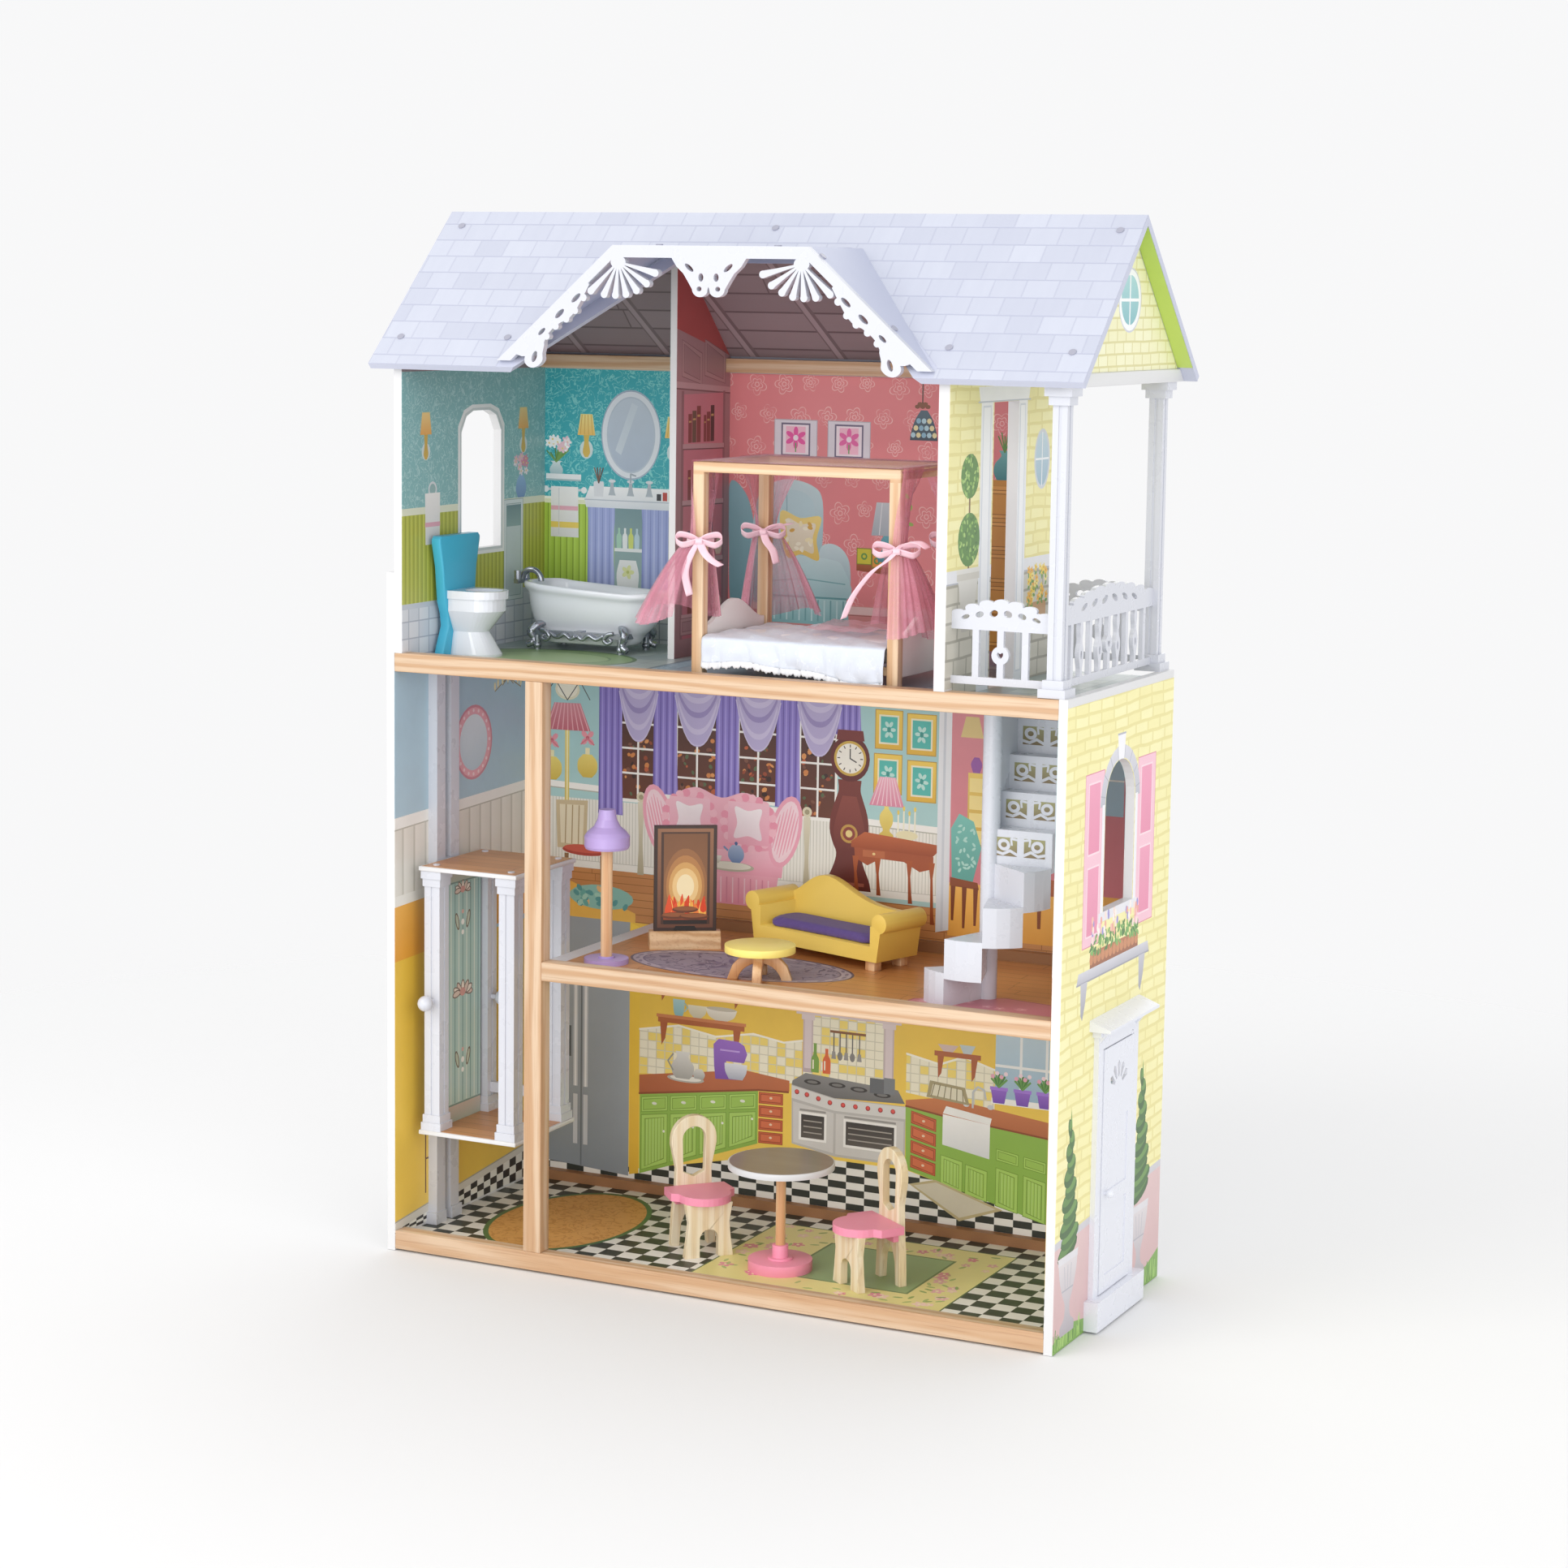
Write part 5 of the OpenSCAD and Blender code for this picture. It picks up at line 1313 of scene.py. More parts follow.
def bedroom_dresser(p, rnd):
    """Shelf, blocks, table lamp, plant and dresser."""
    p.poly([(24, 788), (84, 782), (84, 774), (24, 779)], ("a4502a", "7a3818"))
    for a, b, z0, z1, ink in ((24, 43, 786, 805, "c9c22c"), (43, 56, 783, 799, "e08a2c")):
        p.rect(a, z0, b, z1, "6f7a1e")
        p.rect(a + 1, z0 + 1, b - 1, z1 - 1, ink)
        p.ell((a + b) / 2, (z0 + z1) / 2, 4, 4, "4f8a3a", 12)
        p.ell((a + b) / 2, (z0 + z1) / 2, 2, 2, ink, 10)
    p.turned(62, [(11, 790), (12, 797), (5, 806), (8, 814), (3, 822)], ("57a6b4", "2f7f90"))
    p.poly([(42, 820), (82, 820), (76, 858), (48, 858)], ("c3ced4", "9fb0b9"))
    p.line([(52, 821), (55, 857)], 1.2, "dfe6ea")
    for _ in range(14):
        p.ell(rnd.uniform(72, 92), rnd.uniform(822, 872), 4, 2.2,
              rnd.choice(["4f8a3a", "8ab04c", "d9889a"]), 8, rnd.uniform(0, 180))
    p.rect(160, 696, 244, 884, ("e0a044", "b8761f"))
    p.rect(156, 882, 248, 889, "c9882e")
    for i in range(5):
        p.door([(165, 702 + i * 36), (239, 702 + i * 36), (239, 734 + i * 36), (165, 734 + i * 36)],
               "e3a64c", "8a5212", "d6953a", 4)
        for x in (188, 220):
            p.ell(x, 718 + i * 36, 2.8, 2.8, "5a3410", 10)
    p.turned(204, [(9, 889), (13, 898), (11, 908), (4, 916), (7, 922)], ("5fb0ae", "2f7f86"))
    for k in range(5):
        p.line([(204, 920), (196 + k * 4, 938 + (k % 2) * 4)], 1.6, "4f8a3a")


def bedroom_back():
    """Bedroom wall of the back board."""
    x0, x1 = -140.8, 258.8
    p = Panel("bedroom_print_back", "upper_print", (0, BACK, 0), X, Z,
              [(x0, 679.2), (x1, 679.2), (x1, 1000), (x0, 1000)], "M:coral")
    p.rect(x0, 679, x1, 712, ("b98a94", "8f7a86"))
    p.rect(x0, 712, x1, 738, ("d98a86", "c97a78"))
    p.rect(x0, 728, x1, 737, "e9c4c0")
    p.line([(x0, 727), (x1, 727)], 1.2, "a8625f")
    rnd = random.Random(6)
    bedroom_pictures(p)
    bedroom_hanging_lamp(p)
    bedroom_chair(p, rnd)
    bedroom_dresser(p, rnd)
    p.build()


# ---------------------------------------------------------------- the side walls
def left_lower():
    """Inside of the left wall over the two lower storeys."""
    p = Panel("left_print_lower", "living_print", (-398.0, 0, 0), Y, Z,
              [(WALL_FRONT, 17), (WALL_BACK, 17), (WALL_BACK, CEILING_2), (WALL_FRONT, CEILING_2)],
              ("a5c5d6", "aecbd8"))
    p.poly([(-161, 17), (155, 17), (155, 338), (-161, 338)], ("edbb36", "f5cb4e"))
    p.poly([(-161, 17), (155, 17), (155, 52), (-161, 22)], "efede4")
    for row in range(3):
        for k in range(22):
            if (row + k) % 2:
                corners = [(-161 + 15 * (k + a),
                        17 + (5 + 30 * (15 * (k + a)) / 316) * (row + b) / 3) for a,
                        b in ((0, 0), (1, 0), (1, 1), (0, 1))]
                p.poly([(min(y, 155), z) for y, z in corners], "23211f")
    p.poly([(-161, 22), (155, 52), (155, 60), (-161, 32)], "d9d6cc")
    p.line([(-161, 32), (155, 60)], 1.6, "a5a296")
    p.poly([(-161, 335), (155, 345), (155, 408), (-161, 398)], ("f2ad48", "e9992c"))
    p.poly([(-161, 398), (155, 408), (155, 420), (-161, 412)], "f1eee4")
    p.poly([(-161, 410), (155, 418), (155, 498), (-161, 488)], "M:ivory_y")
    p.poly([(-161, 486), (155, 496), (155, 508), (-161, 500)], "f7f5ee")
    p.line([(-161, 486), (155, 496)], 1.6, "b9b5a6")
    p.rings(9, 567, 30, (42, 44, "cf7f8c"), (39, 41, "eba3ae"), (31, 33, ("dfe9ef", "bcd0dc")))
    for k in range(20):
        a = 2 * math.pi * k / 20
        p.ell(9 + 35.5 * math.cos(a), 567 + 37.5 * math.sin(a), 2.2, 2.2, "f9d6da", 8)
    p.line([(87, 668), (87, 640)], 1.6, "6f6450")
    for k in range(7):
        a = -1.2 + 0.4 * k
        p.line([(87, 636), (87 + 32 * math.sin(a), 618 + 10 * math.cos(a))], 1.4, "8a7a52")
        p.ell(87 + 32 * math.sin(a), 624 + 10 * math.cos(a), 2.2, 5, "f4e6a8", 9)
    for k, (y, z) in enumerate(((-96, 140), (-62, 140))):
        p.line([(y, z), (y, 52 + k * 4)], 2.4, "5a2f1e")
    p.line([(-96, 140), (-62, 140)], 2.4, "5a2f1e")
    p.line([(-96, 92), (-62, 95)], 2.0, "5a2f1e")
    p.build()


def left_upper():
    """Inside of the bathroom's left wall, round its arched window."""
    ys = (WALL_FRONT, WALL_BACK)
    p = Panel("left_print_upper", "upper_print", (-388.0, 0, 0), Y, Z,
              [(ys[0], 689.5), (-141, 689.5), (-141, 679.2), (ys[1], 679.2), (ys[1], under(ys[1]) - 0.5),
               (0, under(0) - 0.5),
               (ys[0], under(ys[0]) - 0.5)], "M:teal_y")
    p.rect(-161, 740, 155, 842, "M:bead_y")
    p.rect(-161, 679, 155, 740, "M:tile_y")
    p.rect(-161, 736, 155, 742, "c4cad4")
    p.rect(-161, 841, 155, 849, "e3e6cc")
    p.poly([(-161, 1001), (155, 1001), (155, 1200), (-161, 1200)], ("a08a8e", "8d7a7e"))
    for y in (-111, 104):
        p.ell(y, 911, 9, 10, "cfdcdc", 14)
        p.turned(y, [(2, 902), (5, 908), (3, 918), (4, 930)], "cfa544")
        p.poly([(y - 12, 930), (y + 12, 930), (y + 8, 955), (y - 8, 955)], ("f6d080", "eda24c"))
    p.ell(-97, 868, 9, 9, "d9dde0", 18)
    p.ell(-97, 868, 6.4, 6.4, "8fb0b0", 16)
    p.poly([(-113, 864), (-81, 864), (-82, 806), (-112, 806)], ("f4f1ee", "dcdad8"))
    p.rect(-113, 826, -81, 831, "e3a3b4")
    p.door([(60, 729), (104, 729), (104, 848), (60, 848)], "d9e3e4", "8fa5a8", "c6d4d6", 5)
    p.rect(66, 816, 99, 841, ("5f8288", "86a6a8"))
    p.turned(99, [(7, 849), (12, 858), (10, 868), (4, 876)], ("8fb4dc", "5f86bc"))
    rnd = random.Random(12)
    for _ in range(14):
        p.flower(99 + rnd.uniform(-13, 13), 888 + rnd.uniform(-10, 10), 5,
                 rnd.choice(["f2b6c6", "f7e3ea", "e37f9c"]), "f0d37a")
    # architrave round the window, and the window itself
    mid, half, z0, z1 = 9, 44, 795, 954
    ring = [(-half, z0), (half, z0), (half, z1 - 24), (half * 0.75, z1 - 6), (half * 0.4, z1),
            (-half * 0.4, z1), (-half * 0.75, z1 - 6),
            (-half, z1 - 24)]
    p.poly([(mid + a * 1.17, z0 - 7 if z < z0 + 1 else z + 7) for a, z in ring], "f3f4f2")
    p.poly([(mid + a * 1.08, z0 - 3 if z < z0 + 1 else z + 3) for a, z in ring], "d3dada")
    p.poly([(mid + a, z) for a, z in ring], None)
    p.build()


def divider():
    """Bookcase print on the bedroom side, teal on the bathroom side."""
    edge = [(22.2, 679.2), (154.8, 679.2), (154.8, under(154.8) - 0.6), (22.2, under(22.2) - 0.6)]
    p = Panel("divider_print_bedroom", "divider_print", (-141, 0, 0), Y, Z, edge, ("b64c4a", "ad4a48"))
    p.poly([(22, 679), (155, 679), (155, 1020), (22, 1052)], ("a98286", "9d777b"))
    for a, b in ((34, 84), (90, 142)):
        p.door([(a, 998), (b, 988), (b, 1024), (a, 1040)], "b08b8e", "7a575b", "a17c80", 5)
    p.poly([(22, 986), (155, 978), (155, 984), (22, 993)], "c3a0a3")
    p.line([(22, 985), (155, 977)], 1.6, "6f5054")
    p.rect(34, 700, 142, 978, ("cf7f8b", "b96674"))
    p.rect(34, 700, 40, 982, "8a6468")
    p.rect(137, 700, 142, 980, "8a6468")
    for z in (916, 852, 786, 722):
        p.poly([(38, z), (140, z - 2), (140, z + 4), (38, z + 6)], "c09a9e")
        p.line([(38, z), (140, z - 2)], 1.4, "6a4a4e")
    rnd = random.Random(21)
    for z in (923, 858, 792, 728):
        y = 44
        while y < 118:
            w = rnd.uniform(6, 12)
            if rnd.random() < 0.66:
                h = rnd.uniform(30, 42)
                p.rect(y, z, y + w - 1, z + h,
                       rnd.choice(["3d2a26", "5a4a34", "4f5a3c", "7a3a34", "6b5a6a"]))
                p.rect(y + 1.4, z + h * 0.7, y + w - 2.4, z + h * 0.76, "c9a860")
            y += w
    for z in (792, 728):
        p.turned(128, [(5, z), (9, z + 9), (3, z + 18)], "e3ccb2")
    p.rect(22, 679, 155, 698, ("9d777b", "8a666a"))
    for a, b in ((36, 84), (90, 140)):
        p.door([(a, 704), (b, 704), (b, 724), (a, 724)], "b08b8e", "7a575b", "a17c80", 4)
    p.build()
    q = Panel("divider_print_bath", "upper_print", (-149, 0, 0), (0, -1, 0), Z,
              [(-154.8, 679.2), (-22.2, 679.2), (-22.2, under(22.2) - 0.6), (-154.8, under(154.8) - 0.6)],
              "M:teal_y")
    q.rect(-155, 740, -22, 841, "M:bead_y")
    q.rect(-155, 679, -22, 740, "M:tile_y")
    q.rect(-155, 736, -22, 742, "c4cad4")
    q.rect(-155, 840, -22, 848, "e3e6cc")
    q.build()


def balcony():
    """Outside of the bedroom wall, seen from the balcony, and its pink inside."""
    ys = (WALL_FRONT, WALL_BACK)
    top = lambda y: under(y) - 0.6
    out = [(ys[0], 690), (-141, 690), (-141, 679.2), (ys[1], 679.2), (ys[1], top(ys[1])), (0, top(0)),
           (ys[0], top(ys[0]))]
    p = Panel("balcony_print_outer", "brick_print", (271, 0, 0), Y, Z, out, "M:brick_y")
    p.rect(-161, 679, 155, 806, "M:stone_y")
    p.rect(-161, 798, 155, 812, "e6e6ea")
    p.line([(-161, 798), (155, 798)], 1.6, "a9abb5")
    for y0, y1 in ((-77, -45), (26, 52)):
        p.rect(y0, 679, y1, 994, ("f1f2f6", "e0e3ea"))
        p.rect(y0 + 5, 690, y1 - 5, 980, "d3d8e2")
        p.rect(y0 + 7, 692, y1 - 7, 978, "f6f7fa")
    p.poly([(-80, 984), (55, 984), (60, 1000), (-85, 1000)], "f4f5f8")
    p.line([(-85, 984), (60, 984)], 1.6, "b9becb")
    y = -104
    p.line([(y, 806), (y, 900)], 4, "7a5a3a")
    for z, r in ((842, 29), (908, 24)):
        p.ell(y, z, r, r * 0.97, "4f7d35", 24)
        rnd = random.Random(int(z))
        for _ in range(60):
            a, d = rnd.uniform(0, 6.28), r * math.sqrt(rnd.random()) * 0.92
            p.ell(y + d * math.cos(a), z + d * math.sin(a), 3, 1.7,
                  rnd.choice(["6f9f45", "8ab656", "3f6a2c", "a3c76a"]), 6,
                  rnd.uniform(0, 180))
    p.turned(y, [(15, 746), (17, 752), (22, 786), (30, 806), (32, 812)], ("e6e3dc", "b8b3a8"))
    p.rect(y - 30, 800, y + 30, 807, "d0cbc0")
    p.rings(98, 918, 28, (23, 33, "c9ced8"), (19, 29, ("bcd3df", "8fb0c4")))
    p.line([(98, 889), (98, 947)], 2.2, "eef1f5")
    p.line([(79, 918), (117, 918)], 2.2, "eef1f5")
    rnd = random.Random(31)
    p.rect(66, 742, 118, 762, "b98a5a")
    for _ in range(34):
        y, z = rnd.uniform(64, 119), rnd.uniform(762, 800)
        p.ell(y, z - 6, 4, 2, "5f8f3c", 6, rnd.uniform(0, 180))
        p.flower(y, z, 4.6, rnd.choice(["f4cf3c", "f7e07a", "f0b030"]), "c9702c")
    p.poly([(-42, 670), (28, 670), (28, 983), (-42, 983)], None)
    p.build()
    q = Panel("balcony_print_inner", "upper_print", (259, 0, 0), (0, -1, 0), Z,
              [(-ys[1], 679.2), (141, 679.2), (141, 690), (160.8, 690), (160.8, top(160.8)), (0, top(0)),
               (-ys[1], top(ys[1]))],
              ("d3696b", "cf6264"))
    for k in range(60):
        rnd = random.Random(200 + k)
        y, z = rnd.uniform(-150, 155), rnd.uniform(750, 1010)
        q.flower(y, z, rnd.uniform(4, 8), "e59a98", "d9807e", 6, rnd.random())
    q.rect(-155, 679, 161, 720, ("b98a94", "94808c"))
    q.rect(-155, 720, 161, 730, "e9c4c0")
    q.poly([(-36, 670), (50, 670), (50, 990), (-36, 990)], "f1f1ef")
    q.poly([(-28, 670), (42, 670), (42, 983), (-28, 983)], None)
    q.build()


def right_outside():
    """Outside and inside faces of the right wall."""
    p = Panel("right_print_outer", "brick_print", (408, 0, 0), Y, Z,
              [(-161, 0.3), (161, 0.3), (161, 679.6), (-161, 679.6)], "M:brick_y")
    p.poly([(-161, 0), (161, 0), (161, 128), (-161, 112)], ("dcb9b8", "cfa5a6"))
    p.poly([(-161, 112), (161, 128), (161, 136), (-161, 120)], "c9c6cc")
    p.poly([(-161, 0), (161, 0), (161, 34), (120, 22), (70, 30), (-70, 16), (-120, 24), (-161, 12)],
           "6f9f3f")
    rnd = random.Random(3)
    for _ in range(60):
        y = rnd.choice([rnd.uniform(-158, -80), rnd.uniform(80, 158)])
        p.line([(y, 3), (y + rnd.uniform(-4, 4), rnd.uniform(12, 26))], 1.8,
               rnd.choice(["8fbf50", "4f7f2c", "a6cf66"]))
    for y0, y1 in ((-105, -49), (53, 109)):
        p.rect(y0, 420, y1, 604, "d9708f")
        p.rect(y0 + 1, 421, y1 - 1, 603, "f5bccd")
        for z0, z1 in ((430, 505), (517, 594)):
            p.rect(y0 + 10, z0, y1 - 10, z1, "f9d5df")
            p.rect(y0 + 12, z0 + 2, y1 - 12, z1 - 2, ("ec8fae", "e57fa1"))
    def arch_of(r):
        return [(r * math.cos(math.pi * i / 16), 564 + r * math.sin(math.pi * i / 16)) for i in range(17)]
    arch, inner = arch_of(60), arch_of(46)
    window = [(45, 451), (45, 564)] + arch_of(45)[1:] + [(-45, 451)]
    p.poly(arch + [(x, z) for x, z in reversed(inner)], ("d6d5de", "b4b4c0"))
    for i in range(1, 16, 2):
        a = math.pi * i / 16
        p.line([(46 * math.cos(a), 564 + 46 * math.sin(a)), (60 * math.cos(a), 564 + 60 * math.sin(a))],
               1.3, "a2a3b0")
    p.poly([(-8, 606), (8, 606), (12, 636), (-12, 636)], "f3f2f6")
    p.line([(-12, 636), (12, 636)], 2, "a9aab6")
    for s in (-1, 1):
        p.poly([(s * 46, 451), (s * 54, 451), (s * 54, 566), (s * 46, 566)], "f0eff3")
    p.rect(-58, 441, 58, 451, "e3e2e8")
    # stone ledge with brackets, and its trough of flowers
    p.poly([(-118, 384), (102, 384), (98, 396), (-113, 396)], ("cfced6", "aeadb9"))
    p.line([(-118, 384), (102, 384)], 1.8, "8f909e")
    for y in (-96, 80):
        p.poly([(y - 10, 384), (y + 10, 384), (y + 5, 362), (y - 3, 344), (y - 8, 350)],
               ("bdbcc6", "93939f"))
    p.rect(-80, 396, 66, 413, ("b0653c", "8a4a28"))
    for i in range(13):
        p.ell(-76 + i * 11.4, 405, 5.4, 6, "c47a4c", 10)
    for _ in range(120):
        y, z = rnd.uniform(-80, 66), rnd.uniform(410, 430)
        p.ell(y, z, 4.6, 2.1, rnd.choice(["4f8a3a", "6fa84c", "3a6c2c"]), 6, rnd.uniform(20, 160))
    for _ in range(44):
        y, z = rnd.uniform(-78, 64), rnd.uniform(424, 448)
        p.ell(y, z, 3.0, 4.6, rnd.choice(["f4b9a6", "f7dcd0", "8f86c9", "ea9a8a", "f9efe6"]), 8)
    # clipped spirals in urns on each side of the door
    for y, z0, z1, k in ((-122, 98, 241, 0.92), (95, 108, 250, 1.0)):
        n = 11
        for i in range(n):
            t0 = i / n
            zz, r = z0 + (z1 - z0) * t0, 28 * k * (1 - t0) + 3
            p.ell(y + (3 if i % 2 else -3), zz + 7, r, 11, ("2f5424", "37602a")[i % 2], 14, 14)
            p.ell(y + (3 if i % 2 else -3), zz + 10, r * 0.86, 6, ("4f7a34", "5d8a3d")[i % 2], 14, 14)
        p.poly([(y - 3, z1 - 6), (y + 3, z1 - 6), (y, z1 + 14)], "5f8f3c")
        p.turned(y, [(20, 14), (20, 24), (9, 32), (7, 46), (16, 60), (24, 78), (28, 96), (30, 100)],
                 ("ded6d8", "a9a0a8"))
        p.rect(y - 28, 92, y + 28, 99, "dcd9de")
        p.line([(y - 16, 62), (y + 16, 62)], 1.8, "a9a6b0")
        for j in (-10, 0, 10):
            p.line([(y + j * 0.7, 64), (y + j, 88)], 1.6, "b6b3bc")
    p.poly(window, None)
    p.poly([(-61, 0), (61, 0), (61, 34), (-61, 34)], "d9d9de")
    p.poly([(-44, 36), (44, 36), (44, 302), (-44, 302)], None)
    p.build()
    q = Panel("right_print_inner", "living_print", (398, 0, 0), (0, -1, 0), Z,
              [(-154.8, 17), (160.8, 17), (160.8, CEILING_2), (-154.8, CEILING_2)], ("9ccaca", "a9d0cd"))
    q.rect(-155, 17, 161, 338, ("edbb36", "f5cb4e"))
    q.rect(-155, 17, 161, 62, "M:check_wall")
    q.rect(-155, 60, 161, 70, "e9e6dc")
    q.rect(-155, 338, 161, 400, "M:planks_x")
    q.rect(-155, 400, 161, 412, "f1eee4")
    q.rect(-155, 412, 161, 494, "M:ivory_y")
    q.rect(-155, 494, 161, 504, "f7f5ee")
    q.poly(window, None)
    q.poly([(-44, 36), (44, 36), (44, 302), (-44, 302)], None)
    q.build()


# ---------------------------------------------------------------- floors
def floors():
    """Prints on the floors, with their rugs."""
    p = Panel("ground_print", "checker_print", (0, 0, GROUND), X, Y,
              [(-397.8, -140.8), (397.8, -140.8), (397.8, 142.8), (-397.8, 142.8)],
              "M:check")
    p.rings(-259, -5, 48, (87, 128, "38602f"), (81, 121, "M:tan_rug"))
    p.poly([(-40, -119), (262, -119), (262, 106), (-40, 106)], "3f5a2c")
    p.poly([(-38, -117), (260, -117), (260, 104), (-38, 104)], ("e9dd92", "e0d27e"))
    p.poly([(50, -78), (206, -78), (206, 60), (50, 60)], "54713f")
    p.poly([(53, -75), (203, -75), (203, 57), (53, 57)], ("8ca870", "7d9a62"))
    rnd = random.Random(9)
    for _ in range(150):
        x, y = rnd.uniform(-30, 252), rnd.uniform(-110, 98)
        if 44 < x < 212 and -84 < y < 66:
            continue
        if rnd.random() < 0.5:
            p.flower(x, y, rnd.uniform(5, 9), rnd.choice(["e3a0a8", "d9788c", "efc6b8"]), "f2e6b0", 5,
                     rnd.random() * 3)
        else:
            p.ell(x, y, 6, 2.2, rnd.choice(["9aae5c", "7f9a4c"]), 8, rnd.uniform(0, 180))
    p.build()
    p = Panel("second_print", "parquet_print", (0, 0, SECOND), X, Y,
              [(-206.8, -140.8), (397.8, -140.8), (397.8, 142.8), (-206.8, 142.8)],
              "M:planks")
    p.rings(-24, -32, 56, (136, 68, "4a4258"), (133, 65, "a79bab"), (121, 57, "54496a"),
            (119, 55.5, "M:plum_rug"))
    for k in range(26):
        a = 2 * math.pi * k / 26
        p.ell(-24 + 127 * math.cos(a), -32 + 61 * math.sin(a), 6, 2.2, "6f6480", 8, math.degrees(a) + 90)
    for k in range(9):
        a = 2 * math.pi * k / 9
        p.ell(-24 + 40 * math.cos(a), -32 + 19 * math.sin(a), 15, 3.4, "5a5070", 12, math.degrees(a))
    p.poly([(208, -140.8), (397.8, -140.8), (397.8, -60), (300, -44), (214, -92)], ("c9707e", "bb5f70"))
    p.line([(208, -138), (214, -92), (300, -44), (397, -60)], 2.4, "9c4658")
    for _ in range(26):
        p.flower(rnd.uniform(222, 390), rnd.uniform(-134, -72), 6, "d98a96", "e9b9bc", 5, rnd.random())
    p.build()
    p = Panel("third_print", "tile_print", (0, 0, THIRD), X, Y,
              [(-387.8, -140.8), (258.8, -140.8), (258.8, 154.8), (-140.8, 154.8), (-140.8, 21.8),
               (-149.2, 21.8), (-149.2, 154.8), (-387.8, 154.8)], "M:slate")
    p.rings(-272, -38, 44, (108, 78, "47663a"), (103, 73, ("86a66c", "75985c")), (78, 52, "5c7f48"),
            (75, 49, "93b078"))
    p.poly([(-124, -132), (240, -132), (240, 128), (-124, 128)], "566b78")
    p.poly([(-119, -127), (235, -127), (235, 123), (-119, 123)], "M:blue_rug")
    p.poly([(-96, -104), (212, -104), (212, 100), (-96, 100)], "6b8494")
    p.poly([(-93, -101), (209, -101), (209, 97), (-93, 97)], ("9fb2bd", "8fa5b2"))
    p.build()
    p = Panel("balcony_floor_print", "tile_print", (0, 0, THIRD), X, Y,
              [(271.4, -140.8), (398, -140.8), (398, 160.8), (271.4, 160.8)], "M:slate")
    p.build()


# ---------------------------------------------------------------- roof: shingles outside, rafters inside
def up_slope(z, foot):
    """Distance up the roof's slope from the height foot to the height z."""
    return (z - foot) * math.sqrt(1 + SLOPE * SLOPE) / SLOPE


def roof_sheets():
    """Shingles over the roof, boards and rafters under it."""
    s = math.sqrt(1 + SLOPE * SLOPE)
    run = 176
    for name, sign in (("roof_shingles_front", -1), ("roof_shingles_back", 1)):
        up = Vector((0, -sign / s, SLOPE / s))
        across = Vector((1, 0, 0)) if sign < 0 else Vector((-1, 0, 0))
        origin = (0, sign * run, RIDGE - SLOPE * run)
        length = run * s
        outline = [(-421.8, 0.3), (421.8, 0.3), (421.8, length - 0.3), (-421.8, length - 0.3)]
        p = Panel(name, "roof_print", origin, across, up, outline,
                  "M:" + ("roof_front" if sign < 0 else "roof_back"))
        if sign < 0:
            low, high = up_slope(1021, origin[2]), up_slope(1142.5, origin[2])
            p.poly([(-258, -5), (258, -5), (258, low), (101.5, high), (-101.5, high), (-258, low)], None)
        p.build()
    # inside faces
    for name, sign in (("under_roof_back", 1), ("under_roof_front", -1)):
        up = Vector((0, -sign / s, SLOPE / s))
        across = Vector((1, 0, 0)) if sign > 0 else Vector((-1, 0, 0))
        origin = Vector((0, sign * 154.5, under(154.5)))
        length = 154 * s
        for part, x0, x1, look in (("left", -387.6, -149.4, "rafters"), ("right", -140.6, 258.6, "rafters"),
                                   ("balcony", 271.6, 397.6, "rafters_back"),
                                   ("verge", 404.4, 421.6, "lime")):
            if sign > 0:
                outline = [(x0, 0.3), (x1, 0.3), (x1, length - 1), (x0, length - 1)]
            else:
                outline = [(-x1, 0.3), (-x0, 0.3), (-x0, length - 1), (-x1, length - 1)]
            q = Panel(name + "_" + part, "roof_print", origin, across, up, outline,
                      ("a9c94c", "b9d45c") if look == "lime" else "M:" + look)
            if sign < 0:
                low, high = up_slope(1003, origin[2]), up_slope(1126, origin[2])
                q.poly([(-249, -50), (249, -50), (249, low), (101, high), (-101, high), (-249, low)], None)
            dark, light = "6a585c", "9b868b"
            if look == "rafters":
                for x in range(-340, 260, 112):
                    if x0 + 12 < x < x1 - 50 and sign > 0:
                        q.poly([(x, 0.4), (x + 14, 0.4), (x - 40, length - 2), (x - 54, length - 2)], dark)
                        q.poly([(x + 2, 0.4), (x + 9, 0.4), (x - 45, length - 2), (x - 52, length - 2)],
                               light)
            q.build()


def shingle_plane(name):
    """The roof's shingles, laid by the distance up the slope."""
    t = Tree(name)
    p = t.parts()
    s = math.sqrt(1 + SLOPE * SLOPE)
    along = t.mul(p[2], s / SLOPE)
    colour, height = shingle_maker(("c0c4d3", "c5c9d7", "cacedb"), "aaaec2", 0.036, 0.0262)(t,
            t.vec(p[0], along, 0.0))
    t.bump(height, 0.35, 0.0009)
    return t.set(Base=colour, Roughness=t.mad(t.noise(scale=40, detail=4), 0.12, 0.42))


PATTERNS["roof_front"] = shingle_plane("roof_shingles_f")
PATTERNS["roof_back"] = shingle_plane("roof_shingles_b")


def gable():
    """Both faces of the right gable, with its oval light."""
    reach = (UNDER_RIDGE - 1018) / SLOPE
    edge = [(-reach + 2, 1018.4), (reach - 2, 1018.4), (0, 1166.4)]
    for name, x, u in (("gable_print_right", 404, Y), ("gable_print_inner", 398, (0, -1, 0))):
        p = Panel(name, "brick_print", (x, 0, 0), u, Z, edge, "M:gable_y")
        p.rings(0, 1092, 36, (34, 34, "c9cbd6"), (32, 32, "f7f8fa"), (26, 26, ("9fd0d4", "6fb0ba")))
        p.rect(-1.6, 1066, 1.6, 1118, "f7f8fa")
        p.rect(-26, 1090.4, 26, 1093.6, "f7f8fa")
        p.build()


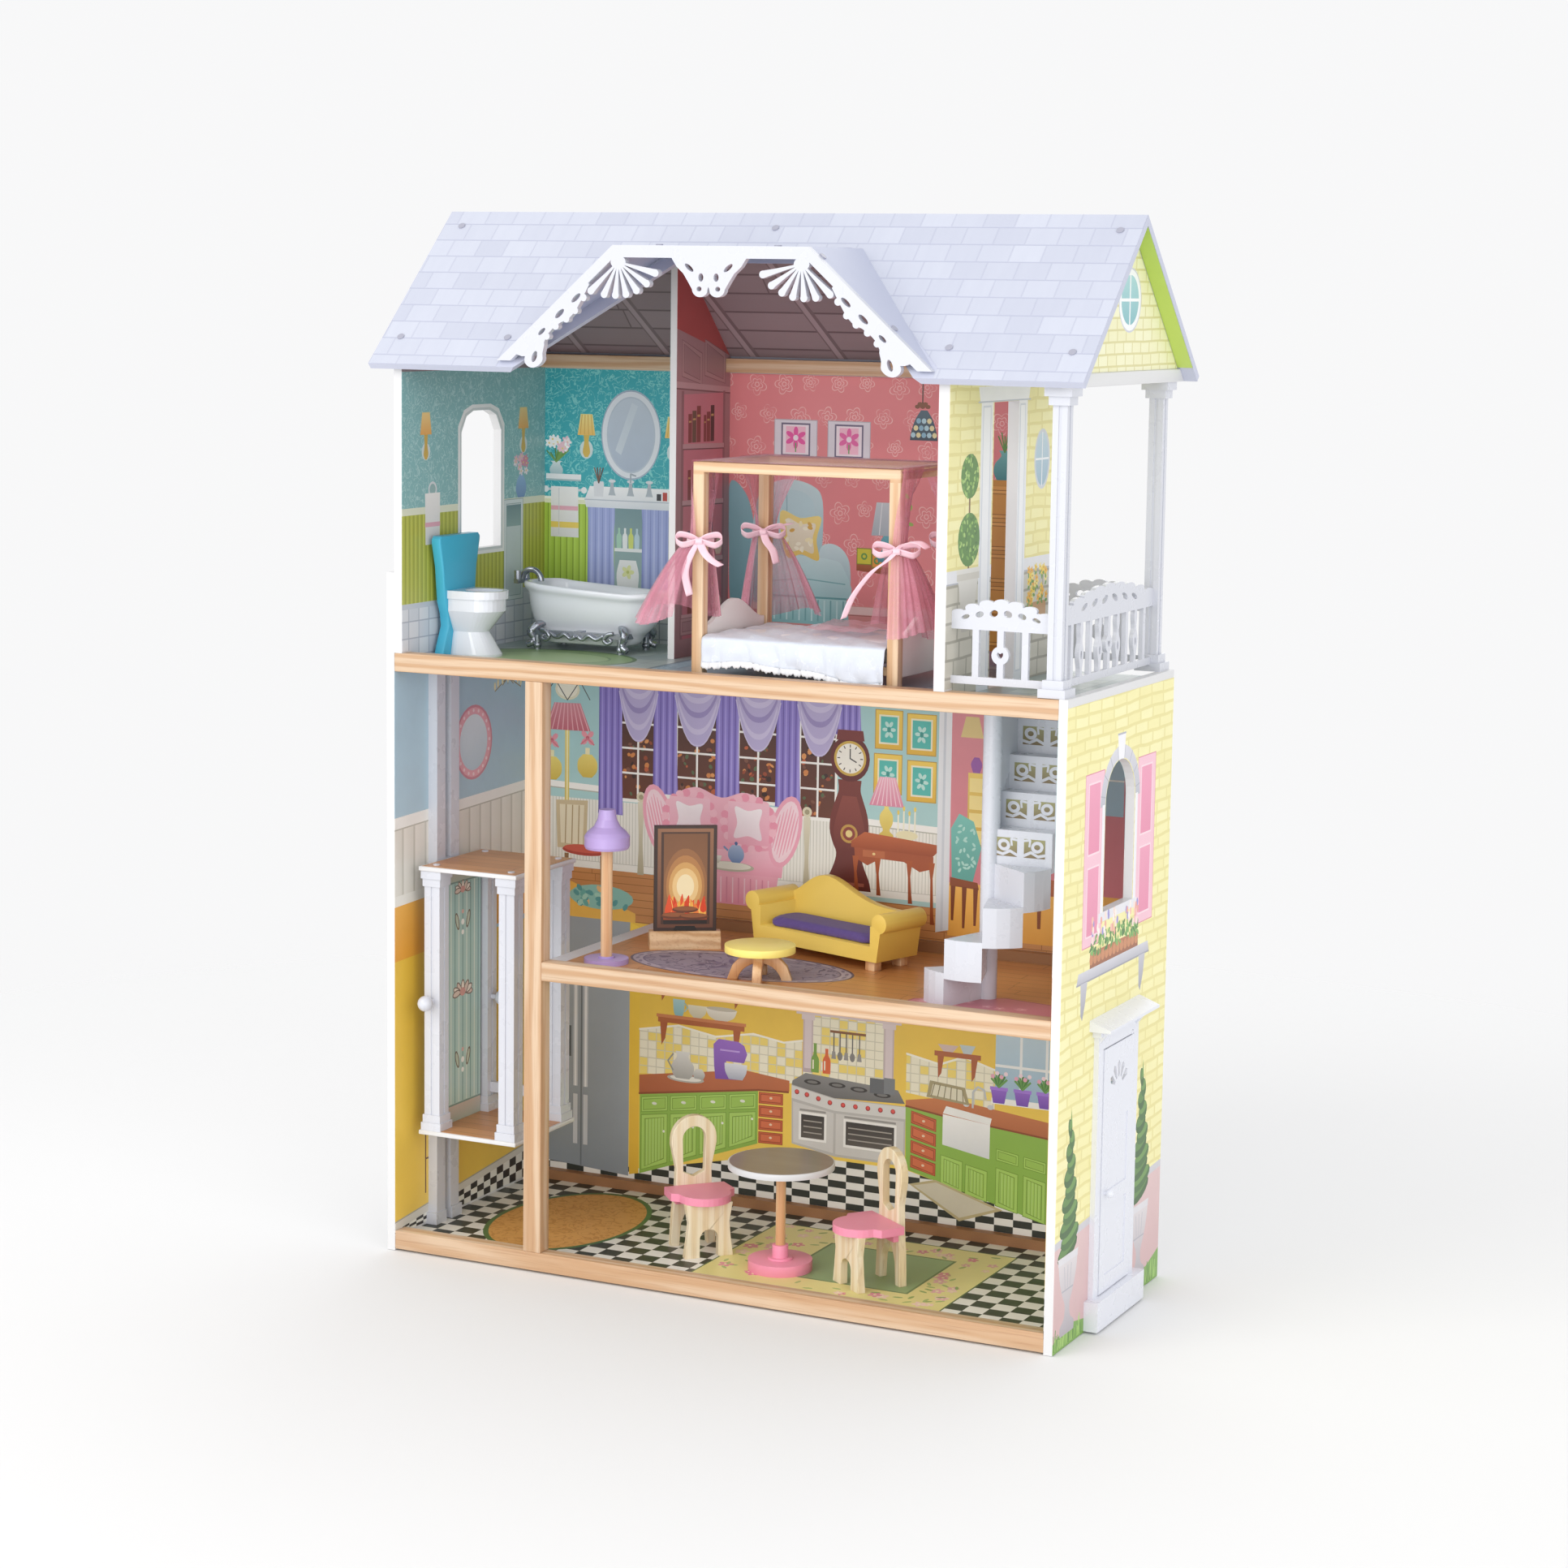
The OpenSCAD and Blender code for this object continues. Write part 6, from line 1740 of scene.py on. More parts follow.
def lift_panel():
    """Lift panel with bars, leaves and a rose."""
    for name, x, u in (("car_print_outer", -366.5, Y), ("car_print_inner", -370.5, (0, -1, 0))):
        sgn = 1 if x > -368 else -1
        lo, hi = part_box("elevator_side_panel")
        y0, y1 = lo[1] / MM, hi[1] / MM
        z0, z1 = lo[2] / MM + 0.5, hi[2] / MM - 0.5
        a, b = sorted((sgn * y0, sgn * y1))
        p = Panel(name, "car_panel", ((hi[0] if sgn > 0 else lo[0]) / MM, 0, 0), u, Z,
                  [(a + 0.3, z0), (b - 0.3, z0), (b - 0.3, z1), (a + 0.3, z1)],
                  ("9fc2bb", "b2cec4"), body="elevator_car")
        m, w, h = (a + b) / 2, b - a, z1 - z0
        for k in range(9):
            x_ = a + 6 + (w - 12) * k / 8
            p.line([(x_, z0 + 22), (x_, z1 - 22)], 2.0, ("6f9a94", "d9e6d8")[k % 2])
        p.rect(a, z0, b, z0 + 20, ("c9b4a6", "a9b7a6"))
        p.rect(a, z1 - 20, b, z1, ("c9b4a6", "a9b7a6"))
        for z in (z0 + 20, z1 - 20):
            p.line([(a, z), (b, z)], 2, "6f8a80")
        for zc, r in ((z0 + h * 0.5, 15), (z0 + h * 0.9, 12)):
            for k in range(7):
                ang = math.radians(-10 + k * 33)
                p.ell(m + r * 0.9 * math.cos(ang), zc + r * 0.35 * math.sin(ang), r * 0.62, r * 0.3,
                      "6f5a50", 12, math.degrees(ang))
                p.ell(m + r * 0.9 * math.cos(ang), zc + r * 0.35 * math.sin(ang), r * 0.5, r * 0.2,
                      ("d9c2b4", "ece0d2")[k % 2], 12,
                      math.degrees(ang))
            p.ell(m, zc, r * 0.4, r * 0.34, "cf8f86", 12)
        for zc in (z0 + h * 0.22, z0 + h * 0.76):
            for s in (-1, 1):
                p.ell(m + s * 12, zc + 6, 4, 11, "6a5a4c", 12, s * -16)
                p.ell(m + s * 12, zc + 6, 2.4, 8.6, "b9c4ae", 12, s * -16)
            p.ell(m, zc - 8, 3, 3, "f4f2ea", 10)
            p.ell(m, zc + 4, 3.6, 3.6, "f4f2ea", 10)
            p.ell(m, zc + 16, 2.6, 2.6, "dba79c", 10)
        p.build()


def lift_boards():
    """Brown tops of the lift's boards."""
    for node in ("elevator_floor", "elevator_roof"):
        lo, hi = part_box(node)
        x0, y0, x1, y1 = lo[0] / MM, lo[1] / MM, hi[0] / MM, hi[1] / MM
        p = Panel(node + "_print", "car_board", (0, 0, hi[2] / MM), X, Y,
                  [(x0 + 3, y0 + 3), (x1 - 3, y0 + 3), (x1 - 3, y1 - 3), (x0 + 3, y1 - 3)],
                  "M:planks", body="elevator_car")
        p.build()


def table_print():
    """Grey top of the dining table."""
    t = Tree("grey_table")
    grain = t.noise(t.scaled(t.where, 6, 60, 1), 1.0, 5)
    t.bump(grain, 0.08, 0.0003)
    PATTERNS["table_grey"] = t.set(Base=t.ramp(grain, [(0.25, "7f746a"), (0.75, "8a7f75")]), Roughness=0.3,
                                   Coat=0.25, CoatR=0.15)
    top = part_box("dining_table_top")[1][2] / MM
    outline = [(42 + 58 * math.cos(a), -58 + 58 * math.sin(a)) for a in angles(64)[:-1]]
    p = Panel("dining_top_print", "dining_top", (0, 0, top), X, Y, outline, "M:table_grey",
              body="dining_table")
    p.build()


def fire_picture():
    """A fire in its hearth, on the turned panel."""
    c, s = math.cos(math.radians(32)), math.sin(math.radians(32))
    u = Vector((c, s, 0))
    front = Vector((-128, 30, 0)) + Vector((s, -c, 0)) * 3.0
    outline = [(-35.6, 366.6), (35.6, 366.6), (35.6, 487.8), (-35.6, 487.8)]
    p = Panel("fireplace_print", "fire_print", front, u, Z, outline, "2c1c16", body="fireplace")
    p.rect(-32, 370, 32, 485, ("8a5a3c", "5a3222"))
    p.rect(-28, 374, 28, 481, "3a2218")
    p.rect(-25, 376, 25, 479, ("6f4326", "8a5a36"))
    for half_width, rise, ink in ((25, 44, "8f5a32"), (22, 36, "b0733c"), (19, 28, "d39a52"),
                                  (15, 21, "edc27c"), (10, 14, "f9e3b0")):
        p.ell(0, 418, half_width, rise, ink, 26)
    p.rect(-25, 376, 25, 388, ("a4471f", "7a2f18"))
    rnd = random.Random(14)
    for _ in range(34):
        x, h = rnd.uniform(-21, 21), rnd.uniform(8, 22)
        z = 384 + rnd.uniform(0, 8)
        p.blob([(x - 3.6, z), (x, z - 3), (x + 3.6, z), (x + 2.4, z + h * 0.5),
                (x + rnd.uniform(-3, 3), z + h), (x - 2.6, z + h * 0.5)],
               rnd.choice(["e8451c", "f2742a", "f7a83c", "fbd46a", "d9340f"]))
    for x, z, w in ((-12, 384, 16), (10, 383, 17), (0, 391, 15)):
        p.ell(x, z, w, 4, "5a2c18", 14)
        p.ell(x, z + 1, w * 0.9, 2.4, "8a4a26", 14)
    p.rect(-25, 374, 25, 379, "1e1512")
    p.poly([(-14, 366.6), (14, 366.6), (11, 372), (-11, 372)], "16110e")
    p.build()


def risers():
    """Scroll cut-outs on the straight steps: dark sheets of painted shade, darker at the foot, stand in for
    the openings round a white scroll.
    """
    for i, y in enumerate((-54, -28, -6, 16)):
        z0 = 346 + 37 * (i + 4) + 2
        p = Panel("riser_scroll_shade_%d" % (i + 1), "white_plastic", (0, y, 0), X, Z,
                  [(285, z0 - 2), (349, z0 - 2), (349, z0 + 34), (285, z0 + 34)], None)
        for s, cx in ((-1, 301), (1, 333)):
            m = z0 + 17
            # painted shade: a dark sheet where a cut-out shows shadow behind the riser; the white riser shows
            # through its holes as the scroll
            p.rect(cx - 12, m - 10, cx + 12, m + 10, ("8c8a5a", "6d5a3c"))
            p.ell(cx + s * 3, m + 2, 7.4, 6.4, None, 18, 20 * s)
            p.ell(cx + s * 3, m + 2, 3.4, 2.8, ("7a7450", "6d5a3c"), 14)
            p.line([(cx - s * 12, m - 8), (cx - s * 4, m - 4), (cx + s * 4, m - 8), (cx + s * 12, m - 6)],
                   3.2, None)
            p.line([(cx - s * 12, m + 8), (cx - s * 5, m + 9), (cx - s * 6, m + 2)], 2.6, None)
        p.build()


def cutout(name, slot, origin, u, v, box, thick, replaced):
    """A fretwork board: only what is drawn on it is left."""
    x0, y0, x1, y1 = box
    p = Panel(name, slot, origin, u, v, [(x0, y0), (x1, y0), (x1, y1), (x0, y1)], None)
    p.LIFT, p.GAP = thick, 0.0
    p.replaced = replaced
    return p


def finish_cutout(p, width):
    """Builds the board and rounds its edges."""
    obj = p.build()
    weld = obj.modifiers.new("weld", "WELD")
    weld.merge_threshold = 0.00002
    m = obj.modifiers.new("soft_edges", "BEVEL")
    m.width = width * MM
    m.segments = 2
    m.limit_method = "ANGLE"
    m.angle_limit = math.radians(50)
    if p.replaced:
        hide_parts(p.replaced)
    return obj


PATTERNS["trim"] = WHITE_TRIM


def gable_lace():
    """The dormer's fretwork: a band, a fan in each upper corner, a swag to a drop, and a scrolled pendant."""
    lo, hi = (tuple(c / MM for c in corner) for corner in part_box("gable_trim"))
    front = lo[1]
    p = cutout("gable_fretwork", "white_plastic", (0, hi[1], 0), X, Z, (-262, 1000, 262, 1146),
               hi[1] - front, "gable_trim")
    w = "M:trim"
    top, foot, high, low, band, verge = 115, 257, 1142, 1017, 13, 11
    slant = math.atan2(high - low, foot - top)
    side = verge / math.sin(slant)
    corner = top + band / math.tan(slant) - side
    p.poly([(-top, high), (-foot, low), (-foot + side, low), (-corner, high - band), (corner, high - band),
            (foot - side, low), (foot, low), (top, high)], w)
    for s in (-1, 1):
        cx, cz = s * 108, 1124
        for ang, length, wide in ((-14, 46, 8.5), (-33, 41, 8.0), (-53, 37, 8.0), (-74, 35, 8.0),
                                  (-95, 35, 8.0), (-116, 38, 8.2), (-137, 45, 8.4)):
            a = math.radians(ang if s < 0 else 180 - ang)
            d, n = (math.cos(a), math.sin(a)), (-math.sin(a), math.cos(a))
            side_a, side_b = [], []
            for i in range(13):
                t = i / 12
                r = 1.1 + (wide / 2 - 1.4) * t ** 1.6
                x, z = cx + d[0] * length * t, cz + d[1] * length * t
                side_a.append((x + n[0] * r, z + n[1] * r))
                side_b.append((x - n[0] * r, z - n[1] * r))
            p.poly(side_b + side_a[::-1], w)
            p.ell(cx + d[0] * length, cz + d[1] * length, 4.1, 4.1, w, 14)
        p.ell(cx, cz, 9, 7, w, 18)
        swag = [(-143, 1100), (-152, 1084), (-160, 1071), (-168, 1063), (-178, 1059), (-187, 1053),
                (-194, 1046), (-198, 1038), (-202, 1030)]
        outer = [(-150, 1108), (-170, 1092), (-190, 1074), (-208, 1058), (-222, 1044), (-232, 1034),
                 (-238, 1026), (-226, 1022), (-210, 1022)]
        loop = [(x * -s, z) for x, z in swag] + [(x * -s, z) for x, z in outer[::-1]]
        p.poly(loop, w)
        for x, z, long, wide in ((-159, 1085.5, 7, 2.6), (-179, 1068.5, 7, 2.8), (-201, 1049, 5.5, 2.2)):
            p.ell(s * -x, z, long, wide, None, 14, -41 * s)
        for x, z, r in ((-150, 1086, 4.0), (-160, 1072, 3.8), (-171, 1063, 4.0), (-184, 1055, 4.0),
                        (-195, 1044, 3.8)):
            p.ell(-s * x, z, r, r, w, 12)
        drop = [(-198, 1038), (-200, 1026), (-200, 1018), (-206, 1012), (-214, 1010), (-221, 1014),
                (-222, 1021), (-216, 1028), (-210, 1034), (-208, 1042)]
        p.blob([(x * -s, z) for x, z in drop], w, 3)
        p.ell(-s * -210, 1022, 3.0, 6.4, None, 14, s * 20)
        # half of the pendant: a scroll that turns in at its foot
        arm = [(0, 1132), (46, 1132), (38, 1120), (30, 1113), (24, 1104), (19, 1096), (12, 1091), (5, 1092),
               (0, 1099)]
        p.poly([(x * s, z) for x, z in arm], w)
        p.ell(s * 10, 1097, 9.4, 8.6, w, 20)
        p.ell(s * 23, 1119, 6.4, 2.4, None, 14, s * 38)
        p.ell(s * 9, 1109, 3.0, 4.4, None, 12)
        p.ell(s * 11, 1097, 3.0, 2.6, None, 12)
    p.poly([(-2.4, 1090), (2.4, 1090), (1.0, 1097), (-1.0, 1097)], None)
    finish_cutout(p, 1.1)


def fence(name, replaced, origin, u, v, length, height, bars, scroll, thick):
    """A railing: foot and hand rails, balusters with a boss or a turned shape, and a scrolled crest."""
    p = cutout(name, "white_plastic", origin, u, v, (-1, -1, length + 1, height + 12), thick, replaced)
    w, deck, foot = "M:trim", height * 0.72, 8
    p.rect(0, 0, length, foot, w)
    p.rect(0, deck - 8, length, deck, w)
    for i in range(1, bars + 1):
        x = length * i / (bars + 1)
        mid = i == (bars + 1) // 2
        if scroll and not mid and i % 2 == 0:
            p.turned(x, [(3, foot - 1), (3, foot + 8), (6.4, foot + 18), (6.8, foot + 26), (3.2, foot + 34),
                         (2.6, foot + 40), (4.4, foot + 48), (3, deck - 7)], w)
            p.ell(x, foot + 22, 2.2, 4.6, None, 12)
        else:
            p.rect(x - 3.6, foot - 1, x + 3.6, deck - 7, w)
        if mid:
            z = foot + (deck - 8 - foot) * 0.48
            p.ell(x, z, 9.6, 9.6, w, 24)
            p.blob([(x, z - 3.6), (x + 3.4, z + 0.6), (x + 2.4, z + 3.2), (x, z + 1.8), (x - 2.4, z + 3.2),
                    (x - 3.4, z + 0.6)], None, 3)
    crown = height - deck
    n = 9 if scroll else 7
    arch = [(length * i / 24,
             deck - 2 + crown * (0.3 + 0.62 * math.sin(math.pi * i / 24))) for i in range(25)]
    p.poly([(0, deck - 6), (length, deck - 6)] + arch[::-1], w)
    for i in range(n):
        x = length * (i + 0.5) / n
        z = deck - 3 + crown * (0.3 + 0.62 * math.sin(math.pi * (i + 0.5) / n))
        p.ell(x, z, length / n * 0.54, 4.6, w, 18)
    for i in range(n - 1):
        x = length * (i + 1) / n
        k = math.sin(math.pi * (i + 1) / n)
        if k > 0.4:
            p.ell(x, deck + 1 + crown * k * 0.36, length / n * 0.3, 1.2 + 2.4 * k, None, 14,
                  18 * (1 if x < length / 2 else -1))
    return finish_cutout(p, 0.8)


def railings():
    """The balcony's three railings."""
    ends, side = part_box("balcony_end_railings"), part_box("balcony_side_railing")
    x0, x1, z0 = ends[0][0] / MM, ends[1][0] / MM, ends[0][2] / MM
    front = fence("railing_front", None, (x0, -140.5, z0), X, Z, x1 - x0, 90, 3, False, 5)
    fence("railing_back", None, (x0, 145.5, z0), X, Z, x1 - x0, 90, 3, False, 5)
    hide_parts("balcony_end_railings")
    y0, y1 = side[0][1] / MM, side[1][1] / MM
    fence("railing_side", "balcony_side_railing", (385.5, y0, side[0][2] / MM), Y, Z, y1 - y0, 100, 9, True,
          5)


for make in (risers, gable_lace, railings, kitchen_back, living_back, bath_back, bedroom_back, left_lower,
             left_upper, divider, balcony, right_outside, floors,
             roof_sheets, gable, lift_panel, lift_boards, table_print, fire_picture):
    make()


# ---------------------------------------------------------------- fabric
def tulle_material():
    """Sheer net with a slow change of tint."""
    t = Tree("tulle")
    cells = t.node("TexVoronoi", {"feature": "DISTANCE_TO_EDGE"}, i0=t.where, Scale=1150.0).outputs[0]
    thread = t.sub(1.0, t.step(cells, 0.05, 0.2))
    slow = t.noise(scale=38, detail=3)
    alpha = t.mad(thread, 0.28, t.mad(slow, 0.3, 0.18))
    t.bump(thread, 0.2, 0.0002)
    base = t.mix(slow, "d9829a", "ebabbd")
    return t.set(Base=base, Alpha=alpha, Roughness=0.72, Sheen=0.4, SheenR=0.4)


def satin_material(name, light, dark):
    """Shiny ribbed ribbon."""
    t = Tree(name)
    rib = t.noise(t.scaled(t.where, 1, 1, 1), 1900.0, 2)
    soft = t.noise(scale=70, detail=3)
    t.bump(t.add(rib, t.mul(soft, 2.0)), 0.1, 0.0004)
    return t.set(Base=t.mix(soft, light, dark), Roughness=t.mad(rib, 0.12, 0.26), Sheen=0.3, Coat=0.15,
                 CoatR=0.25)


def quilt_material():
    """White satin with woven sprigs."""
    t = Tree("spread_satin")
    p = t.parts()
    weave = t.mul(t.math("SINE", t.mul(p[0], 5200.0)), t.math("SINE", t.mul(p[1], 5200.0)))
    sprig = t.step(t.noise(t.plane("xy"), 130, 3, 0.6, 1.4), 0.56, 0.66)
    base = t.mix(t.mul(sprig, 0.5), "d3dae6", "e6ebf2")
    t.bump(t.mad(weave, 0.3, t.mul(sprig, 0.9)), 0.2, 0.0005)
    return t.set(Base=base, Roughness=t.mad(sprig, -0.14, 0.46), Sheen=0.35)


def felt_material(name, light, dark):
    """Brushed cloth: short fibres and a faint nap."""
    t = Tree(name)
    fibre = t.noise(t.scaled(t.where, 1, 1, 1), 1300, 5, 0.75, 0.8)
    nap = t.noise(scale=55, detail=4)
    base = t.mix(t.mad(fibre, 0.6, t.mul(nap, 0.4)), dark, light)
    t.bump(fibre, 0.5, 0.0007)
    return t.set(Base=base, Roughness=0.88, Sheen=0.12, SheenR=0.5)


TULLE = tulle_material()
SATIN = satin_material("ribbon_satin", "f9dbe4", "f0bccb")
QUILT = quilt_material()
LACE = satin_material("lace_thread", "eceef2", "dde0e6")
FELT = felt_material("cushion_felt", "66508f", "4f3c78")


def mesh_piece(name, verts, faces, mat, body):
    """A smooth-shaded object from points in mm."""
    mesh = bpy.data.meshes.new(name)
    mesh.from_pydata([tuple(Vector(p) * MM) for p in verts], [], faces)
    mesh.materials.append(mat)
    for p in mesh.polygons:
        p.use_smooth = True
    obj = bpy.data.objects.new(name, mesh)
    bpy.context.scene.collection.objects.link(obj)
    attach(obj, body)
    return obj


def grid_faces(rows, first=0):
    """Four-sided faces between rows of points, the first of which has the number first."""
    n = len(rows[0])
    corners = [first + r * n + c for r in range(len(rows) - 1) for c in range(n - 1)]
    return [(k, k + 1, k + n + 1, k + n) for k in corners]


def thicken(obj, name, thick):
    """Gives a surface some thickness."""
    m = obj.modifiers.new(name, "SOLIDIFY")
    m.thickness = thick * MM
    m.offset = 0


def grid_piece(name, rows, mat, body, thick=0.0):
    """A surface through rows of points in mm."""
    obj = mesh_piece(name, [p for row in rows for p in row], grid_faces(rows), mat, body)
    if thick:
        thicken(obj, "cloth", thick)
    return obj


def cloth_size(rows):
    """Area and mean length down the rows of a grid, in metres."""
    area, lengths = 0.0, []
    for upper, lower in zip(rows, rows[1:]):
        for corners in zip(upper, upper[1:], lower, lower[1:]):
            a, b, d, e = (Vector(corner) for corner in corners)
            area += ((b - a).cross(d - a).length + (b - e).cross(d - e).length) / 2
    for line in zip(*rows):
        lengths.append(sum((Vector(b) - Vector(a)).length for a, b in zip(line, line[1:])))
    return area * 1e-6, sum(lengths) / len(lengths) * MM


def waver(x, y, z):
    """Smooth noise at a point, about -1 to 1."""
    return noise.noise(Vector((x, y, z)))


def soft_step(x):
    """0 below 0, 1 above 1, and an even curve between."""
    x = max(0.0, min(1.0, x))
    return x * x * (3 - 2 * x)


BED_TOP, TIE_Z, MATTRESS_Z = 913.2, 829.0, 729.2  # mm
WRAP = 2.2  # half the angle that a curtain goes round its post
TIE_R, POST_CLEAR, RAIL_OFF = 11.0, 10.4, 8.4  # mm from the post's middle
RIBBON = 8.5  # width in mm
CLOTH_STEPS = 20
# middle of each bed post in mm, and the side of the bed that it's on in x and y
POSTS = {"front_left": (-33, -124, -1, -1), "front_right": (198, -124, 1, -1),
         "back_left": (-33, 34, -1, 1), "back_right": (198, 34, 1, 1)}


def drape(name, low, lean, reach, bunch, seed):
    """Tulle from the frame's edge round a post, gathered at the tie and flaring below it.

    low is the hem's height, lean the way the flare swings, reach its radius, and bunch how far
    the top spreads along x and y."""
    cx, cy, sx, sy = POSTS[name]
    n, rows = 64, []
    off = RAIL_OFF
    levels = [BED_TOP + 1.6 - (BED_TOP + 1.6 - TIE_Z) * i / 18 for i in range(19)]
    levels += [TIE_Z - (TIE_Z - low) * i / 16 for i in range(1, 17)]
    wander = [waver(seed, i * 0.21, 0.3) for i in range(n + 1)]
    front = sy < 0
    # at the front the tulle hangs from the side rail and goes round the outside of the post,
    # which stays bare in front
    start = math.atan2(0.75 if front else sy, sx)
    for z in levels:
        row = []
        for i in range(n + 1):
            s = -1 + 2 * i / n
            ang = start - s * WRAP * sx * sy
            tie = Vector((cx + TIE_R * math.cos(ang), cy + TIE_R * math.sin(ang), z))
            if front:
                top = Vector((cx + sx * off, cy - 5 + (bunch[1] + 5) * (s + 1) / 2, z))
            elif s < 0:
                top = Vector((cx + sx * bunch[0] * s, cy + sy * off, z))
            else:
                top = Vector((cx + sx * off, cy - sy * bunch[1] * s, z))
            corner = 0.0 if front else max(0.0, 1 - abs(s) * 9)
            if s < 0:
                top.x += sx * off * corner
            else:
                top.y += sy * off * corner
            pleat = math.sin(i * 1.9 + wander[i] * 4)
            out = Vector((math.cos(ang), math.sin(ang), 0))
            if z >= TIE_Z:
                w = soft_step((BED_TOP - z) / (BED_TOP - TIE_Z)) ** 0.8
                p = top.lerp(tie, w)
                p += out * (1.5 * pleat * (0.3 + 0.7 * w) * (1 - w * 0.6))
                d = Vector((p.x - cx, p.y - cy, 0))
                if d.length < POST_CLEAR:
                    p += d.normalized() * (POST_CLEAR - d.length)
            else:
                u = (TIE_Z - z) / (TIE_Z - low)
                flare = reach * (u ** 0.72)
                deep = 4.2 * pleat * u + 1.2 * pleat
                # the cloth swings towards lean, and keeps clear of the post on the other side
                facing = 0.5 + 0.5 * math.cos(ang - lean)
                p = tie + out * (flare * (0.25 + 0.75 * facing) + deep * (0.4 + 0.6 * facing) + 0.6)
                p += Vector((math.cos(lean), math.sin(lean), 0)) * (flare * 0.35 * facing)
                p.z += 7 * u * math.sin(s * 5 + seed) * (0.4 + facing)
            row.append(tuple(p))
        rows.append(row)
    return rows


def strip(points, width, side, twist=0.0):
    """Rows for a flat ribbon along points; side is the ribbon's width direction."""
    rows = []
    for i, p in enumerate(points):
        k = i / (len(points) - 1)
        s = Matrix.Rotation(twist * k, 3, "Z") @ Vector(side).normalized()
        w = width * (1.0 if 0.04 < k < 0.96 else 0.92) / 2
        rows.append([tuple(Vector(p) + s * (w * t)) for t in (-1, -0.5, 0, 0.5, 1)])
    return rows


def bow(name, at, facing, tails):
    """A satin bow: a band round the gathered tulle, two loops, a knot, and curved tails."""
    at = Vector(at)
    f = Vector((math.cos(facing), math.sin(facing), 0))
    r = Vector((-f.y, f.x, 0))
    up = Vector((0, 0, 1))
    parts = []
    ring = [at - f * 14.5 + 14.6 * (math.cos(a) * f + math.sin(a) * r) for a in angles(30)]
    parts.append(strip(ring, RIBBON, up))
    for s in (-1, 1):
        loop = [at, at + r * s * 9 + up * 5 + f * 3, at + r * s * 21 + up * 7 + f * 4,
                at + r * s * 25 + up * 1 + f * 2.5, at + r * s * 18 - up * 4 + f * 5,
                at + r * s * 8 - up * 2 + f * 3.5, at + f * 1.5]
        parts.append(strip(through(loop, 8), RIBBON, up * 0.75 + f * 0.55))
    knot = [at + f * 1.0 + 4.0 * (math.cos(a) * up + math.sin(a) * f) for a in angles(14)]
    parts.append(strip(knot, 8.0, r))
    for path in tails:
        parts.append(strip(through([at + f * 2] + [at + r * a + up * b + f * c for a, b, c in path], 8),
                           RIBBON, r + up * 0.3, 0.5))
    verts, faces = [], []
    for rows in parts:
        faces += grid_faces(rows, len(verts))
        verts += [p for row in rows for p in row]
    obj = mesh_piece(name, verts, faces, SATIN, "canopy_bed")
    thicken(obj, "ribbon", 0.35)
    return obj


def canopy():
    """The bed's four gathered curtains with their bows."""
    for name, low, lean, reach, bunch, seed, facing, tails in (
        ("front_left", 748, math.radians(208), 40, (30, 62), 1.7, math.radians(-68),
         [[(-8, -14, 4), (-14, -34, 7), (-9, -58, 8)], [(6, -12, 5), (14, -20, 7), (24, -26, 6)]]),
        ("back_left", 735, math.radians(-20), 42, (40, 48), 5.2, math.radians(-72),
         [[(8, 4, 6), (20, 9, 9), (32, 10, 8)], [(4, -10, 6), (12, -20, 9), (16, -34, 9)]]),
        ("front_right", 740, math.radians(80), 40, (58, 50), 9.4, math.radians(-66),
         [[(-10, -10, 7), (-26, -22, 12), (-44, -46, 14), (-54, -70, 14)],
          [(7, 8, 5), (22, 10, 6), (33, 4, 6)]]),
        ("back_right", 736, math.radians(100), 24, (44, 46), 13.1, math.radians(-80),
         [[(-6, -12, 5), (-10, -28, 7), (-7, -44, 7)], [(6, -10, 5), (11, -24, 7), (9, -38, 7)]]),
    ):
        cx, cy = POSTS[name][:2]
        rows = drape(name, low, lean, reach, bunch, seed)
        area, length = cloth_size(rows)
        piece = grid_piece("tulle_" + name, rows, TULLE, "canopy_bed")
        b = bow("bow_" + name, (cx + 15.2 * math.cos(facing), cy + 15.2 * math.sin(facing), TIE_Z), facing,
                tails)


def tulle_sheet():
    """Sheet over the top of the frame, falling a little at its edges."""
    rows = []
    x0, x1, y0, y1 = -41.5, 206.5, -129.6, 42.5
    for j in range(41):
        v = j / 40
        row = []
        for i in range(57):
            u = i / 56
            x, y = x0 + (x1 - x0) * u, y0 + (y1 - y0) * v
            edge = min(x - x0, x1 - x, y - y0 + 3, y1 - y)
            fall = 5.5 * max(0.0, 1 - edge / 2.4) ** 1.3
            inside = soft_step((edge - 14) / 30)
            sag = 5.0 * inside + 1.1 * waver(x * 0.03, y * 0.05, 1.0) * inside
            ripple = 0.7 * math.sin(x * 0.33 + 2 * waver(x * 0.02, y * 0.02, 4)) * (1 if edge < 3 else 0.25)
            row.append((x, y + (ripple if edge < 3 else 0), BED_TOP + 1.2 - fall - sag + abs(ripple) * 0.3))
        rows.append(row)
    area, length = cloth_size(rows)
    top = grid_piece("tulle_top", rows, TULLE, "canopy_bed")
    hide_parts("bed_curtains")


def tulle_end():
    """Loose end of tulle lying on the spread at the right."""
    rows = []
    for j in range(25):
        v = j / 24
        row = []
        for i in range(37):
            u = i / 36
            x = 62 + 122 * u + 16 * (1 - v) * (1 - u)
            y = -96 + 118 * v
            z = MATTRESS_Z + 7.5 + 1.8 * waver(x * 0.04, y * 0.06, 2.0) + 1.0 * math.sin(x * 0.22 + y * 0.1)
            z += 9 * u ** 6
            row.append((x, y + 3 * math.sin(x * 0.09), z))
        rows.append(row)
    area, length = cloth_size(rows)
    throw = grid_piece("tulle_throw", rows, TULLE, "canopy_bed")


